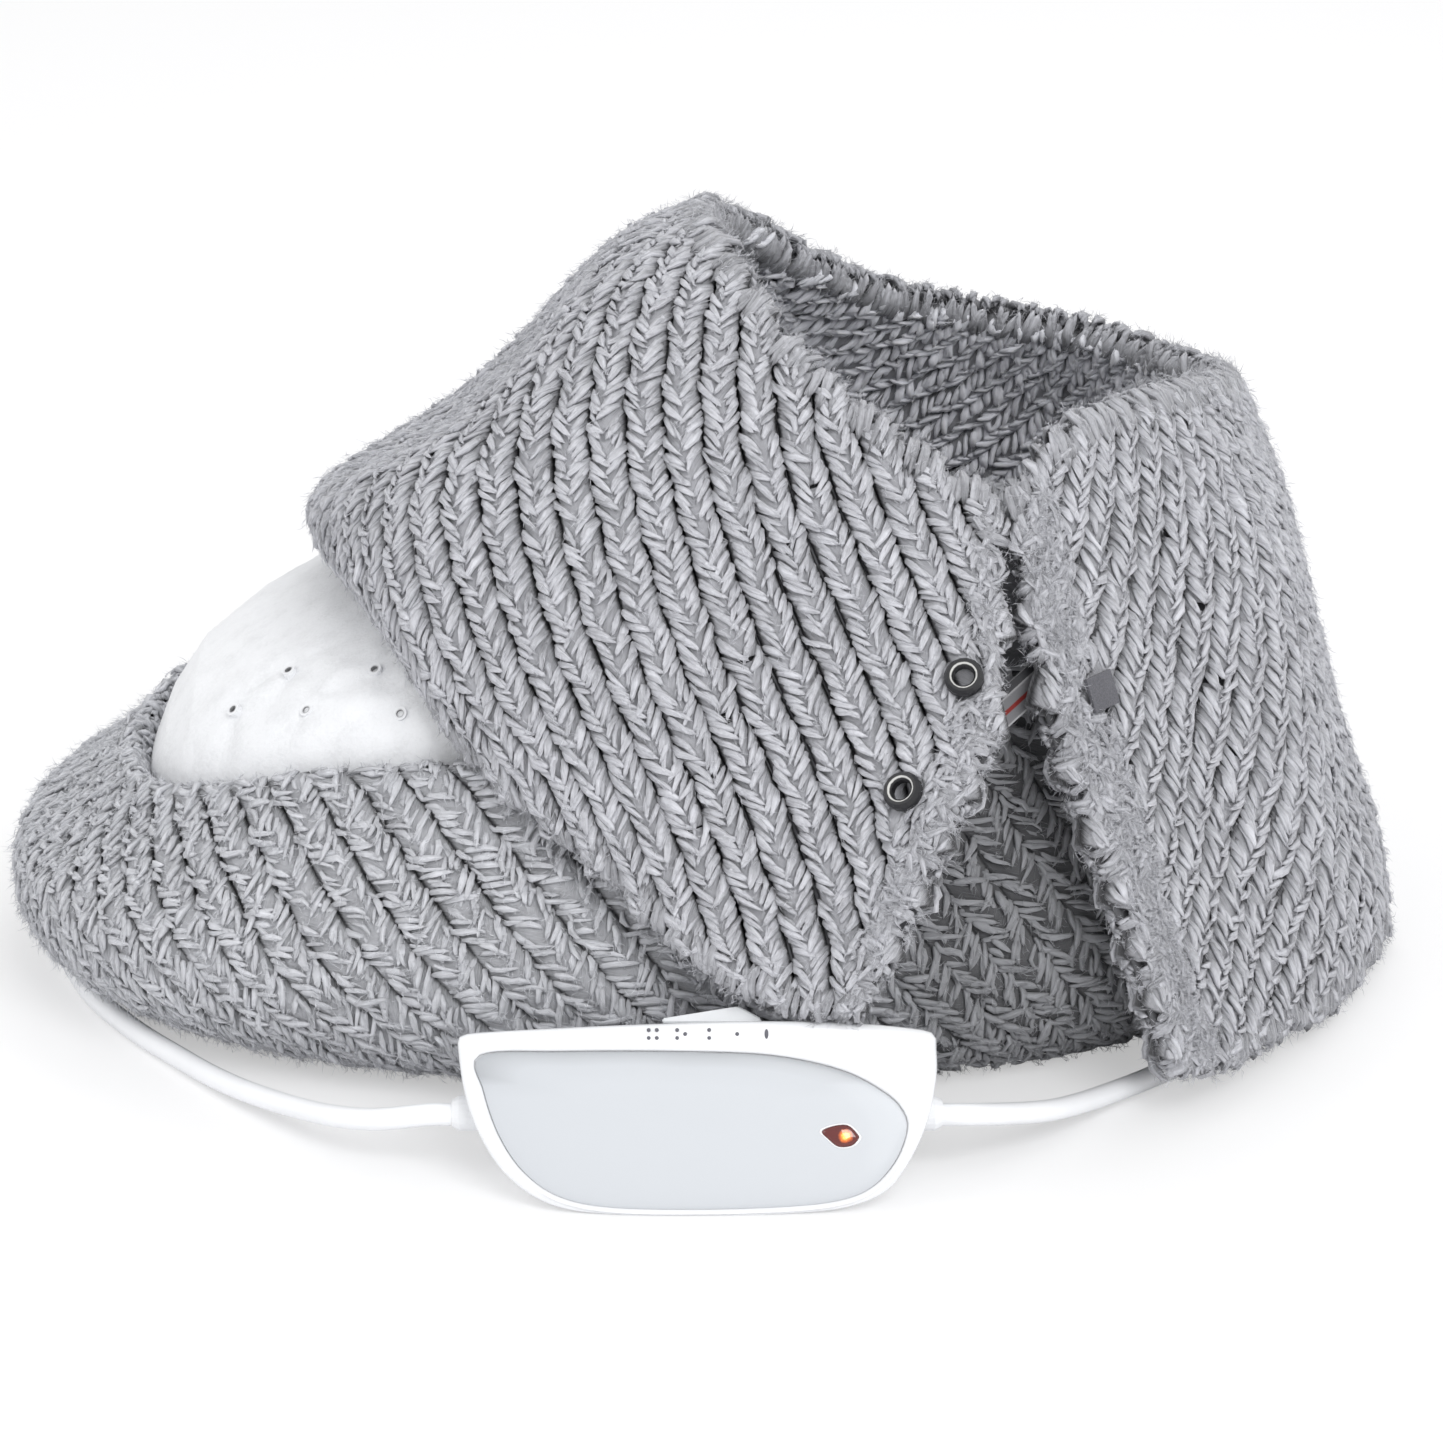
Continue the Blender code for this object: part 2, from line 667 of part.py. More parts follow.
def make_sole_stack(parent):
    inside = -(WALL_TURN_UNDER + SEAT_GAP)
    foam_bottom = SOLE_THICKNESS + SEAT_GAP
    foam_thickness = WALL_THICKNESS - foam_bottom
    layers = (
        ("outer_sole", inside, 0, SOLE_THICKNESS, SOLE_CLOTH),
        ("sole_foam", inside, foam_bottom, foam_thickness, FOAM),
        ("heater_carrier", -CARRIER_INSET, carrier_bottom(), CARRIER_THICKNESS, CARRIER_CLOTH),
    )
    for name, reach, bottom, thickness, finish in layers:
        piece = flat_piece(name, [foot_outline(reach)], thickness, finish, parent)
        piece.location.z = bottom + thickness / 2


def wire_run_x(run):
    return (run - (WIRE_RUNS - 1) / 2) * WIRE_RUN_PITCH


def make_heating_wire(parent):
    radius = WIRE_RUN_PITCH / 2
    height = wire_bottom() + WIRE_DIAMETER / 2
    straight = WIRE_HALF_SPAN - radius
    points = []
    for run in range(WIRE_RUNS):
        way = 1 if run % 2 == 0 else -1
        x = wire_run_x(run)
        points += [(x, -way * straight, height), (x, way * straight, height)]
        if run < WIRE_RUNS - 1:
            for degrees in (30, 60, 90, 120, 150):
                c, s = math.cos(math.radians(degrees)), math.sin(math.radians(degrees))
                points.append((x + radius * (1 - c), way * (straight + radius * s), height))
    return tube("heating_wire", points, WIRE_DIAMETER, WIRE_JACKET, parent, resolution=1)


def make_thermal_cutouts(parent):
    size = (CUTOUT_WIDTH, CUTOUT_LENGTH, CUTOUT_HEIGHT)
    for name, run in (("thermal_cutout_front", 2.5), ("thermal_cutout_rear", WIRE_RUNS - 3.5)):
        mesh = box(name, size, (wire_run_x(run), 0, wire_bottom() + CUTOUT_HEIGHT / 2))
        piece = place(name, mesh, BLACK_PLASTIC, parent, smooth=False)
        edge = piece.modifiers.new("Edges", "BEVEL")
        edge.width = CUTOUT_HEIGHT / 5
        edge.segments = 1


def make_insole(parent):
    bottom = insole_bottom()
    top = bottom + INSOLE_THICKNESS
    rings = [
        insole_ring(INSOLE_ROUND, bottom),
        insole_ring(0, bottom + INSOLE_THICKNESS / 2),
        insole_ring(INSOLE_ROUND, top),
        foot_ring(-FOOT_HALF_WIDTH / 4, top + INSOLE_CROWN * 0.6),
        foot_ring(-FOOT_HALF_WIDTH * 0.6, top + INSOLE_CROWN),
    ]
    return place("insole", stack_of_rings("insole", rings), WHITE_FLEECE, parent)


# White top of the foot pocket


def crest_height():
    """The fleece rises under the collar to this height."""
    return POCKET_CREST_SHARE * COLLAR_HEIGHT


def make_pocket_surface():
    """The open outer skin of the pocket: stations from the toe, each an arc from near to far side."""
    quarter = FOOT_STEPS // 4
    across = POCKET_STEPS_ACROSS
    rim_reach, rim_height = rim_place(-1)
    toe = foot_point(math.pi, rim_reach - WALL_THICKNESS - SEAT_GAP)
    points = [(toe[0], 0, rim_height - WALL_THICKNESS / 2)]
    for step in range(1, quarter + 1):
        angle = math.pi - foot_angle(step)
        rim_reach, rim_height = rim_place(share_along(angle))
        x, half = foot_point(angle, rim_reach - WALL_THICKNESS - SEAT_GAP)
        edge = rim_height - WALL_THICKNESS / 2
        rise = crest_height() * share_at(CREST_SHARES, x / FOOT_HALF_LENGTH) - edge
        for j in range(across + 1):
            turn = math.pi * (j / across - 0.5)
            y = half * math.copysign(abs(math.sin(turn)) ** (2 / POCKET_ROUNDNESS), turn)
            points.append((x, y, edge + rise * max(0, math.cos(turn)) ** (2 / POCKET_ROUNDNESS)))
    faces = [(0, 2 + j, 1 + j) for j in range(across)]
    for i in range(quarter - 1):
        for j in range(across):
            k = 1 + i * (across + 1) + j
            faces.append((k, k + 1, k + across + 2, k + across + 1))
    mesh = mesh_of("pocket_top", points, faces)
    if mesh.polygons[len(mesh.polygons) // 2].normal.z < 0:
        mesh.flip_normals()
    return mesh


def make_pocket(parent):
    mesh = make_pocket_surface()
    skin = BVHTree.FromPolygons([v.co for v in mesh.vertices], [tuple(p.vertices) for p in mesh.polygons])
    pocket = place("pocket_top", mesh, WHITE_FLEECE, parent)
    solidify(pocket, POCKET_THICKNESS)
    length = POCKET_THICKNESS + 2 * EYELET_PROUD
    for number, (along, beside) in enumerate(EYELET_SHARES, 1):
        above = Vector((along * FOOT_HALF_LENGTH, beside * FOOT_HALF_WIDTH, 2 * crest_height()))
        spot, normal, _, _ = skin.ray_cast(above, Vector((0, 0, -1)))
        frame = Matrix.Translation(spot - normal * POCKET_THICKNESS / 2) @ normal.to_track_quat("Z", "Y").to_matrix().to_4x4()
        hole = cylinder(
            f"eyelet_hole_{number}", EYELET_DIAMETER + 2 * EYELET_CLEARANCE, length + 2 * CUT_OVERRUN, frame, sides=12
        )
        boolean(pocket, as_cutter(f"eyelet_hole_{number}", hole, parent))
        outer, bore, half = EYELET_DIAMETER / 2, EYELET_BORE / 2, length / 2
        eyelet = turned(
            f"vent_eyelet_{number}",
            [(outer, half), (outer, -half), (bore, -half), (bore, half)],
            WHITE_PLASTIC,
            parent,
            closed=True,
            steps=12,
        )
        eyelet.matrix_local = frame
    return pocket


# Collar and its two flaps


def station_points(station):
    """The station's points in metres; a two-point station is straight."""
    size = np.array((COLLAR_HALF_LENGTH, COLLAR_HALF_WIDTH, COLLAR_HEIGHT))
    points = np.array(station) * size
    if len(points) == 2:
        most = max(len(other) for other in COLLAR_SHARES)
        points = points[0] + np.linspace(0, 1, most)[:, None] * (points[1] - points[0])
    return points


def curve_at(points, where):
    """Catmull-Rom value at a place counted in points."""
    count = len(points)
    i = min(int(where), count - 2)
    t = where - i
    b, c = points[i], points[i + 1]
    a = points[i - 1] if i else 2 * b - c
    d = points[i + 2] if i + 2 < count else 2 * c - b
    return 0.5 * (2 * b + (c - a) * t + (2 * a - 5 * b + 4 * c - d) * t**2 + (3 * b - a - 3 * c + d) * t**3)


def collar_point(around, up):
    """Outer surface of the collar: around counts stations, up runs from hem (0) to mouth (1)."""
    columns = [station_points(station) for station in COLLAR_SHARES]
    return curve_at([curve_at(points, up * (len(points) - 1)) for points in columns], around)


def collar_frame(around, up):
    """Point, outward normal and upward direction on the collar."""
    step = 0.02
    here = collar_point(around, up)
    along = collar_point(around + step, up) - collar_point(around - step, up)
    rise = collar_point(around, up + step) - collar_point(around, up - step)
    normal = Vector(np.cross(rise, along)).normalized()
    return Vector(here), normal, Vector(rise).normalized()


def collar_sheet(name, start, end, steps, finish, parent):
    rows = COLLAR_ROWS + 1
    columns = [station_points(station) for station in COLLAR_SHARES]
    levels = [[curve_at(points, (len(points) - 1) * row / COLLAR_ROWS) for points in columns] for row in range(rows)]
    arounds = np.linspace(start, end, steps + 1)
    points = [curve_at(level, around) for around in arounds for level in levels]
    mesh = mesh_of(name, points, grid_faces(steps + 1, rows))
    piece = place(name, mesh, finish, parent)
    centre = Vector((COLLAR_HALF_LENGTH / 4, 0, COLLAR_HEIGHT / 2))
    middle = mesh.polygons[len(mesh.polygons) // 2]
    if middle.normal.dot(middle.center - centre) < 0:
        mesh.flip_normals()
    solidify(piece, COLLAR_THICKNESS)
    return piece


def station_gap(station):
    """Half the flap's gap, counted in stations, where the collar's hem runs."""
    run = np.linalg.norm(collar_point(station + 0.5, 0.5) - collar_point(station - 0.5, 0.5))
    return FLAP_GAP / 2 / run


def hinge_of(name, station, boot):
    """An empty on a flap's hinge line: its Z runs up the line."""
    hem, mouth = (Vector(collar_point(station, up)) for up in (0, 1))
    turn = (mouth - hem).to_track_quat("Z", "Y").to_euler()
    return empty(name, boot, (hem + mouth) / 2, turn), (mouth - hem).normalized()


def ride(piece, hinge):
    """Put a piece made in the boot's frame under a hinge empty, where it already is."""
    placed = piece.matrix_local.copy()
    piece.parent = hinge
    piece.matrix_local = hinge.matrix_local.inverted() @ placed


def seat_frame(around, up, lift):
    spot, normal, rise = collar_frame(around, up)
    side = rise.cross(normal).normalized()
    frame = Matrix.Identity(4)
    frame.col[0] = (*side, 0)
    frame.col[1] = (*normal.cross(side).normalized(), 0)
    frame.col[2] = (*normal, 0)
    frame.col[3] = (*(spot + normal * lift), 1)
    return frame


def make_flaps(boot):
    last = len(COLLAR_SHARES) - 1
    front_start, rear_start = FRONT_HINGE_INDEX, REAR_HINGE_INDEX
    front_gap, rear_gap = station_gap(front_start), station_gap(rear_start)
    collar_steps = (rear_start - front_start) * COLLAR_STATION_STEPS
    collar_sheet("collar", front_start + front_gap, rear_start - rear_gap, collar_steps, SEWN_KNIT, boot)
    front = collar_sheet("front_flap", 0, front_start - front_gap, front_start * FLAP_STATION_STEPS, SEWN_KNIT, boot)
    rear_steps = (last - rear_start) * FLAP_STATION_STEPS
    rear = collar_sheet("rear_flap", rear_start + rear_gap, last, rear_steps, SEWN_KNIT, boot)
    front_pieces, rear_pieces = [front], [rear]
    ring, bore = STUD_DIAMETER / 2, STUD_BORE / 2
    for level, (around, up) in zip(("upper", "lower"), SOCKET_SHARES):
        socket = turned(
            "socket_" + level,
            [(bore * 1.3, STUD_HEIGHT), (ring * 0.86, STUD_HEIGHT), (ring, STUD_HEIGHT * 0.6), (ring, 0), (bore, 0), (bore, STUD_HEIGHT * 0.7)],
            DARK_METAL,
            boot,
            closed=True,
        )
        socket.matrix_local = seat_frame(around, up, STUD_SEAT_CLEARANCE)
        front_pieces.append(socket)
    for level, (around, up) in zip(("upper", "lower"), POST_SHARES):
        ball, flange = POST_BALL_DIAMETER / 2, POST_FLANGE_THICKNESS
        post = turned(
            "post_" + level,
            [(0, POST_HEIGHT), (ball * 0.8, POST_HEIGHT), (ball, POST_HEIGHT * 0.8), (ball * 0.75, flange), (ring, flange), (ring, 0), (0, 0)],
            DARK_METAL,
            boot,
        )
        seat = seat_frame(around, up, -(COLLAR_THICKNESS + STUD_SEAT_CLEARANCE))
        post.matrix_local = seat @ Matrix.Rotation(math.pi, 4, "X")
        rear_pieces.append(post)
    patch = place("side_patch", box("side_patch", (PATCH_SIDE, PATCH_SIDE, PATCH_THICKNESS)), GREY_TAPE, boot, smooth=False)
    patch.matrix_local = seat_frame(*PATCH_SHARES, STUD_SEAT_CLEARANCE + PATCH_THICKNESS / 2)
    label = place("care_label", box("care_label", (LABEL_LENGTH, LABEL_WIDTH, LABEL_THICKNESS)), LABEL_CLOTH, boot, smooth=False)
    label_seat = seat_frame(*LABEL_SHARES, -(COLLAR_THICKNESS + 2 * STUD_SEAT_CLEARANCE + LABEL_THICKNESS / 2))
    label.matrix_local = label_seat @ Matrix.Rotation(math.radians(LABEL_TILT_DEGREES), 4, "Z")
    rear_pieces += [patch, label]
    bpy.context.view_layer.update()
    axes = {}
    for name, station, pieces in (
        ("front_flap_hinge", front_start, front_pieces),
        ("rear_flap_hinge", rear_start, rear_pieces),
    ):
        hinge, axis = hinge_of(name, station, boot)
        bpy.context.view_layer.update()
        for piece in pieces:
            ride(piece, hinge)
        axes[name] = (hinge, axis)
    return axes


# Hand control


def board_length():
    """The board reaches almost to the grommets' inner flanges."""
    return CONTROL_LENGTH - 2 * (1.2 * RELIEF_NECK + RELIEF_FLANGE_THICKNESS + BOARD_END_CLEARANCE)


def boss_spacing():
    return board_length() - 2 * BOARD_SCREW_INSET


def control_depth():
    return CONTROL_FRONT_DEPTH + SEAT_GAP + CONTROL_REAR_DEPTH


def control_outline(shares):
    """An outline of the control's face, in even steps."""
    line = smooth_curve(np.array(shares) * np.array((CONTROL_LENGTH, CONTROL_HEIGHT)), 12, closed=True)
    line = np.vstack([line, line[:1]])
    run = np.concatenate([[0], np.cumsum(np.linalg.norm(np.diff(line, axis=0), axis=1))])
    at = np.arange(CONTROL_OUTLINE_STEPS) * run[-1] / CONTROL_OUTLINE_STEPS
    return np.stack([np.interp(at, run, line[:, k]) for k in range(2)], axis=1)


def inset(outline, distance):
    """The outline moved inwards by a distance."""
    before, after = np.roll(outline, 1, axis=0), np.roll(outline, -1, axis=0)
    along = after - before
    along = along / np.linalg.norm(along, axis=1)[:, None]
    # The outlines run clockwise, so the inside is on the right of the way along
    return outline + distance * np.stack([along[:, 1], -along[:, 0]], axis=1)


def control_ring(outline, depth, inwards=0.0):
    """The outline at a depth behind the face, its foot cut back so that the control leans on the floor."""
    cut_back = depth / math.tan(math.radians(CONTROL_LEAN_DEGREES)) / CONTROL_HEIGHT
    flat = inset(outline, inwards) if inwards else outline
    return [(x, CONTROL_HEIGHT - (CONTROL_HEIGHT - y) * (1 - cut_back), -depth) for x, y in flat]


def tray(name, rings, mouth, floor, finish, control):
    """Half of the case: a solid through the rings, hollowed from its mouth depth to its floor depth."""
    piece = place(name, stack_of_rings(name, rings), finish, control)
    outline = control_outline(CONTROL_OUTLINE_SHARES)
    hollow = stack_of_rings(
        name + "_hollow", [control_ring(outline, mouth, CONTROL_WALL), control_ring(outline, floor, CONTROL_WALL)]
    )
    boolean(piece, as_cutter(name + "_hollow", hollow, control))
    return piece


def knob_seat_y():
    return CONTROL_HEIGHT + SEAT_GAP


def make_floor_cut(control):
    """A block whose top is the floor under the leaning control."""
    size = Vector((2 * CONTROL_LENGTH, 2 * CONTROL_HEIGHT, CONTROL_HEIGHT))
    block = as_cutter("floor_under_control", box("floor_under_control", size), control)
    lean = math.radians(CONTROL_LEAN_DEGREES)
    local = Matrix.Rotation(-lean, 4, "X") @ Matrix.Translation((0, 0, CONTROL_FOOT_SINK - size.z / 2))
    block.matrix_local = local
    return block


def make_housings(control, floor_cut):
    outline = control_outline(CONTROL_OUTLINE_SHARES)
    edge = CONTROL_EDGE_ROUND
    front_rings = [
        control_ring(outline, CONTROL_FRONT_DEPTH),
        control_ring(outline, edge),
        control_ring(outline, edge * 0.3, edge * 0.3),
        control_ring(outline, 0, edge),
    ]
    front_mouth = CONTROL_FRONT_DEPTH + CUT_OVERRUN
    front = tray("control_front_housing", front_rings, front_mouth, CONTROL_WALL, WHITE_PLASTIC, control)
    split, back = CONTROL_FRONT_DEPTH + SEAT_GAP, control_depth()
    rear_rings = [
        control_ring(outline, split),
        control_ring(outline, back - edge),
        control_ring(outline, back - edge * 0.3, edge * 0.3),
        control_ring(outline, back, edge),
    ]
    rear = tray("control_rear_housing", rear_rings, split - CUT_OVERRUN, back - CONTROL_WALL, WHITE_PLASTIC, control)
    recess_outline = inset(control_outline(PANEL_OUTLINE_SHARES), -PANEL_CLEARANCE)
    recess = stack_of_rings(
        "panel_recess",
        [[(x, y, z) for x, y in recess_outline] for z in (-PANEL_RECESS, CUT_OVERRUN)],
    )
    boolean(front, as_cutter("panel_recess", recess, control))
    window = stack_of_rings(
        "lens_window",
        [[(x, y, z) for x, y in lens_outline(PANEL_CLEARANCE)] for z in (-2 * CONTROL_WALL, CUT_OVERRUN)],
    )
    window_cut = as_cutter("lens_window", window, control)
    boolean(front, window_cut)
    slot_length = STEM_LENGTH + 2 * (KNOB_STEP * KNOB_STEP_COUNT + SLIDE_CLEARANCE)
    slot = box(
        "knob_slot",
        (slot_length, 4 * CONTROL_WALL, STEM_DEPTH + 2 * SLIDE_CLEARANCE),
        (KNOB_REST_X, CONTROL_HEIGHT, -KNOB_SETBACK),
    )
    boolean(rear, as_cutter("knob_slot", slot, control))
    for side, name in ((-1, "left"), (1, "right")):
        spot = (side * CONTROL_LENGTH / 2, relief_y(), relief_z())
        turn = Matrix.Translation(spot) @ Matrix.Rotation(math.pi / 2, 4, "Y")
        hole = cylinder(
            "relief_hole_" + name, RELIEF_ROOT_DIAMETER + 2 * RELIEF_CLEARANCE, 2 * RELIEF_FLANGE_DIAMETER, turn, sides=16
        )
        boolean(rear, as_cutter("relief_hole_" + name, hole, control))
        boss_spot = (side * boss_spacing() / 2, BOARD_MIDDLE_Y, board_back_z() - SEAT_GAP)
        boss_length = BOSS_HEIGHT + CONTROL_WALL / 2
        boss = cylinder(
            "boss_" + name, BOSS_DIAMETER, boss_length, Matrix.Translation(Vector(boss_spot) - Vector((0, 0, boss_length / 2))), sides=16
        )
        boolean(rear, as_cutter("boss_" + name, boss, control), "UNION")
        bore_length = 2 * BOSS_HEIGHT
        bore = cylinder(
            "boss_bore_" + name,
            SCREW_SHANK_DIAMETER + 2 * SCREW_CLEARANCE,
            bore_length,
            Matrix.Translation(boss_spot),
            sides=12,
        )
        boolean(rear, as_cutter("boss_bore_" + name, bore, control))
    boolean(front, floor_cut)
    boolean(rear, floor_cut)
    panel = flat_piece(
        "control_face_panel", [control_outline(PANEL_OUTLINE_SHARES), lens_outline(PANEL_CLEARANCE)], PANEL_THICKNESS, PANEL_PLASTIC, control
    )
    panel.location.z = -PANEL_RECESS + SEAT_GAP / 2 + PANEL_THICKNESS / 2
    return front, rear


def lens_outline(grow=0.0):
    place_x, place_y = LENS_PLACE_SHARES
    centre = np.array((place_x * CONTROL_LENGTH, place_y * CONTROL_HEIGHT))
    size = np.array((LENS_LENGTH + 2 * grow, LENS_HEIGHT + 2 * grow))
    return centre + smooth_curve(np.array(LENS_OUTLINE_SHARES) * size, 2, closed=True)


def make_lens(control):
    depth = CONTROL_WALL + LENS_PROUD
    lens = flat_piece("indicator_lens", [lens_outline()], depth, AMBER_LENS, control)
    lens.location.z = LENS_PROUD - depth / 2
    place_x, place_y = LENS_PLACE_SHARES
    back = LENS_PROUD - depth - SEAT_GAP
    length = back - board_front_z() - SEAT_GAP
    round_height = LED_DIAMETER / 2
    led = turned(
        "indicator_led",
        [(0, length), (round_height * 0.7, length - round_height * 0.3), (round_height, length - round_height), (round_height, 0), (0, 0)],
        AMBER_LENS,
        control,
        steps=12,
    )
    led.location = (place_x * CONTROL_LENGTH, place_y * CONTROL_HEIGHT, board_front_z() + SEAT_GAP)


def board_back_z():
    return -control_depth() + CONTROL_WALL + BOSS_HEIGHT + SEAT_GAP


def board_front_z():
    return board_back_z() + BOARD_THICKNESS


def relief_y():
    return CONTROL_HEIGHT * 0.56


def relief_z():
    return -(CONTROL_FRONT_DEPTH + SEAT_GAP + CONTROL_REAR_DEPTH / 2) + CONTROL_WALL / 2


def on_board(name, size, x, y, finish, control):
    mesh = box(name, size, (x, y, board_front_z() + SEAT_GAP + size[2] / 2))
    piece = place(name, mesh, finish, control, smooth=False)
    edge = piece.modifiers.new("Edges", "BEVEL")
    edge.width = min(size) / 12
    edge.segments = 1
    return piece


def switch_top_y():
    return knob_seat_y() - 3 * CONTROL_WALL - CONTACT_HEIGHT - 2 * SEAT_GAP


def make_board(control):
    mesh = box("circuit_board", (board_length(), BOARD_HEIGHT, BOARD_THICKNESS), (0, BOARD_MIDDLE_Y, board_back_z() + BOARD_THICKNESS / 2))
    board = place("circuit_board", mesh, BOARD_RESIN, control, smooth=False)
    for side, name in ((-1, "left"), (1, "right")):
        spot = Vector((side * boss_spacing() / 2, BOARD_MIDDLE_Y, board_back_z()))
        hole = cylinder(
            "board_hole_" + name, SCREW_SHANK_DIAMETER + 2 * SCREW_CLEARANCE, 4 * BOARD_THICKNESS, Matrix.Translation(spot), sides=12
        )
        boolean(board, as_cutter("board_hole_" + name, hole, control))
        head, shank = SCREW_HEAD_DIAMETER / 2, SCREW_SHANK_DIAMETER / 2
        reach = BOARD_THICKNESS + SEAT_GAP + BOSS_HEIGHT / 2
        screw = turned(
            "board_screw_" + name,
            [(0, SCREW_HEAD_HEIGHT), (head * 0.7, SCREW_HEAD_HEIGHT), (head, SCREW_HEAD_HEIGHT / 2), (head, 0), (shank, 0), (shank, -reach), (0, -reach)],
            PIN_METAL,
            control,
            steps=12,
        )
        screw.location = (spot.x, spot.y, board_front_z() + SEAT_GAP)
    switch_y = switch_top_y() - SWITCH_HEIGHT / 2
    on_board("slide_switch", (SWITCH_LENGTH, SWITCH_HEIGHT, SWITCH_DEPTH), KNOB_REST_X, switch_y, BLACK_PLASTIC, control)
    low_y = BOARD_MIDDLE_Y - BOARD_HEIGHT / 2 + BLOCK_HEIGHT
    row_length = TRIAC_LENGTH + FUSE_LENGTH + BLOCK_LENGTH
    gap = (boss_spacing() - SCREW_HEAD_DIAMETER - row_length) / 4
    triac_x = -(boss_spacing() - SCREW_HEAD_DIAMETER - TRIAC_LENGTH) / 2 + gap
    fuse_x = triac_x + TRIAC_LENGTH / 2 + gap + FUSE_LENGTH / 2
    block_x = fuse_x + FUSE_LENGTH / 2 + gap + BLOCK_LENGTH / 2
    on_board("power_triac", (TRIAC_LENGTH, TRIAC_HEIGHT, TRIAC_DEPTH), triac_x, low_y, BLACK_PLASTIC, control)
    on_board("terminal_block", (BLOCK_LENGTH, BLOCK_HEIGHT, BLOCK_DEPTH), block_x, low_y, KNOB_PLASTIC, control)
    fuse = place(
        "line_fuse",
        cylinder("line_fuse", FUSE_DIAMETER, FUSE_LENGTH, Matrix.Rotation(math.pi / 2, 4, "Y"), sides=12),
        PIN_METAL,
        control,
    )
    fuse.location = (fuse_x, low_y, board_front_z() + SEAT_GAP + FUSE_DIAMETER / 2)


def make_knob(control):
    rail = empty("slider_rail", control, (KNOB_REST_X, knob_seat_y(), -KNOB_SETBACK))
    half = KNOB_LENGTH / 2
    outline = [(-half, 0), (half, 0), (half, KNOB_FLANK), (KNOB_PEAK_SHARE * KNOB_LENGTH, KNOB_HEIGHT), (-half, KNOB_FLANK)]
    knob = flat_piece("slider_knob", [outline], KNOB_DEPTH, KNOB_PLASTIC, rail)
    bpy.context.view_layer.update()
    knob = mesh_from_curve(knob)
    edge = knob.modifiers.new("Edges", "BEVEL")
    edge.width = KNOB_FLANK / 3
    edge.segments = 1
    edge.limit_method = "ANGLE"
    stem_bottom = switch_top_y() + CONTACT_HEIGHT + 2 * SEAT_GAP - knob_seat_y()
    stem_top = KNOB_FLANK / 2
    stem = box("knob_stem", (STEM_LENGTH, stem_top - stem_bottom, STEM_DEPTH), (0, (stem_top + stem_bottom) / 2, 0))
    boolean(knob, as_cutter("knob_stem", stem, rail), "UNION")
    contact = box(
        "slider_contact",
        (CONTACT_LENGTH, CONTACT_HEIGHT, 1.5 * STEM_DEPTH),
        (0, stem_bottom - SEAT_GAP - CONTACT_HEIGHT / 2, 0),
    )
    place("slider_contact", contact, PIN_METAL, rail, smooth=False)
    return rail


def relief_profile():
    """A ribbed, tapered strain relief along its own Z, its flange behind 0."""
    root, tip, flange = RELIEF_ROOT_DIAMETER / 2, RELIEF_TIP_DIAMETER / 2, RELIEF_FLANGE_DIAMETER / 2
    profile = [(0, RELIEF_LENGTH), (tip * 0.85, RELIEF_LENGTH), (tip, RELIEF_LENGTH * 0.97)]
    for ring in range(1, 6):
        share = ring / 6
        radius = tip + (root - tip) * share
        height = RELIEF_LENGTH * (0.97 - share * 0.95)
        profile += [(radius, height + RELIEF_LENGTH * 0.05), (radius * 0.9, height), (radius * 0.9, height - RELIEF_LENGTH * 0.03)]
    profile += [(root, 0), (flange, 0), (flange, -RELIEF_FLANGE_THICKNESS), (0, -RELIEF_FLANGE_THICKNESS)]
    return profile


def grommet_profile():
    """A short grommet along its own Z: it stands out of the wall a little, its flange holds it inside."""
    root, tip, flange = RELIEF_ROOT_DIAMETER / 2, RELIEF_TIP_DIAMETER / 2, RELIEF_FLANGE_DIAMETER / 2
    return [
        (0, GROMMET_LENGTH),
        (tip, GROMMET_LENGTH),
        (root, GROMMET_LENGTH / 2),
        (root, -RELIEF_NECK),
        (flange, -RELIEF_NECK),
        (flange, -RELIEF_NECK - RELIEF_FLANGE_THICKNESS),
        (0, -RELIEF_NECK - RELIEF_FLANGE_THICKNESS),
    ]


def make_control_reliefs(control):
    """One grommet through each end wall; returns where each one's tip faces its lead."""
    ends = {}
    for side, name in ((-1, "left"), (1, "right")):
        relief = turned("control_relief_" + name, grommet_profile(), WHITE_PLASTIC, control)
        x = side * (CONTROL_LENGTH / 2 - RELIEF_NECK / 5)
        relief.matrix_local = Matrix.Translation((x, relief_y(), relief_z())) @ Matrix.Rotation(side * math.pi / 2, 4, "Y")
        ends[name] = (x + side * (GROMMET_LENGTH + SEAT_GAP), relief_y(), relief_z())
    return ends


def control_front_y():
    """The control stands ahead of the collar, and further out where the flap hangs below its top."""
    lean = math.radians(CONTROL_LEAN_DEGREES)
    top = CONTROL_HEIGHT * math.sin(lean)
    flap_tip = COLLAR_SHARES[0][0][2] * COLLAR_HEIGHT
    overhang = max(0, top - flap_tip)
    return -(COLLAR_HALF_WIDTH + CONTROL_AHEAD + overhang * math.tan(lean))


def make_control(boot):
    lean = math.radians(CONTROL_LEAN_DEGREES)
    control = empty("control_frame", boot, (CONTROL_MIDDLE_X, control_front_y(), -CONTROL_FOOT_SINK), (lean, 0, 0))
    floor_cut = make_floor_cut(control)
    make_housings(control, floor_cut)
    make_lens(control)
    make_board(control)
    rail = make_knob(control)
    ends = make_control_reliefs(control)
    bpy.context.view_layer.update()
    into_boot = control.matrix_local
    return rail, {name: into_boot @ Vector(end) for name, end in ends.items()}


# Cords


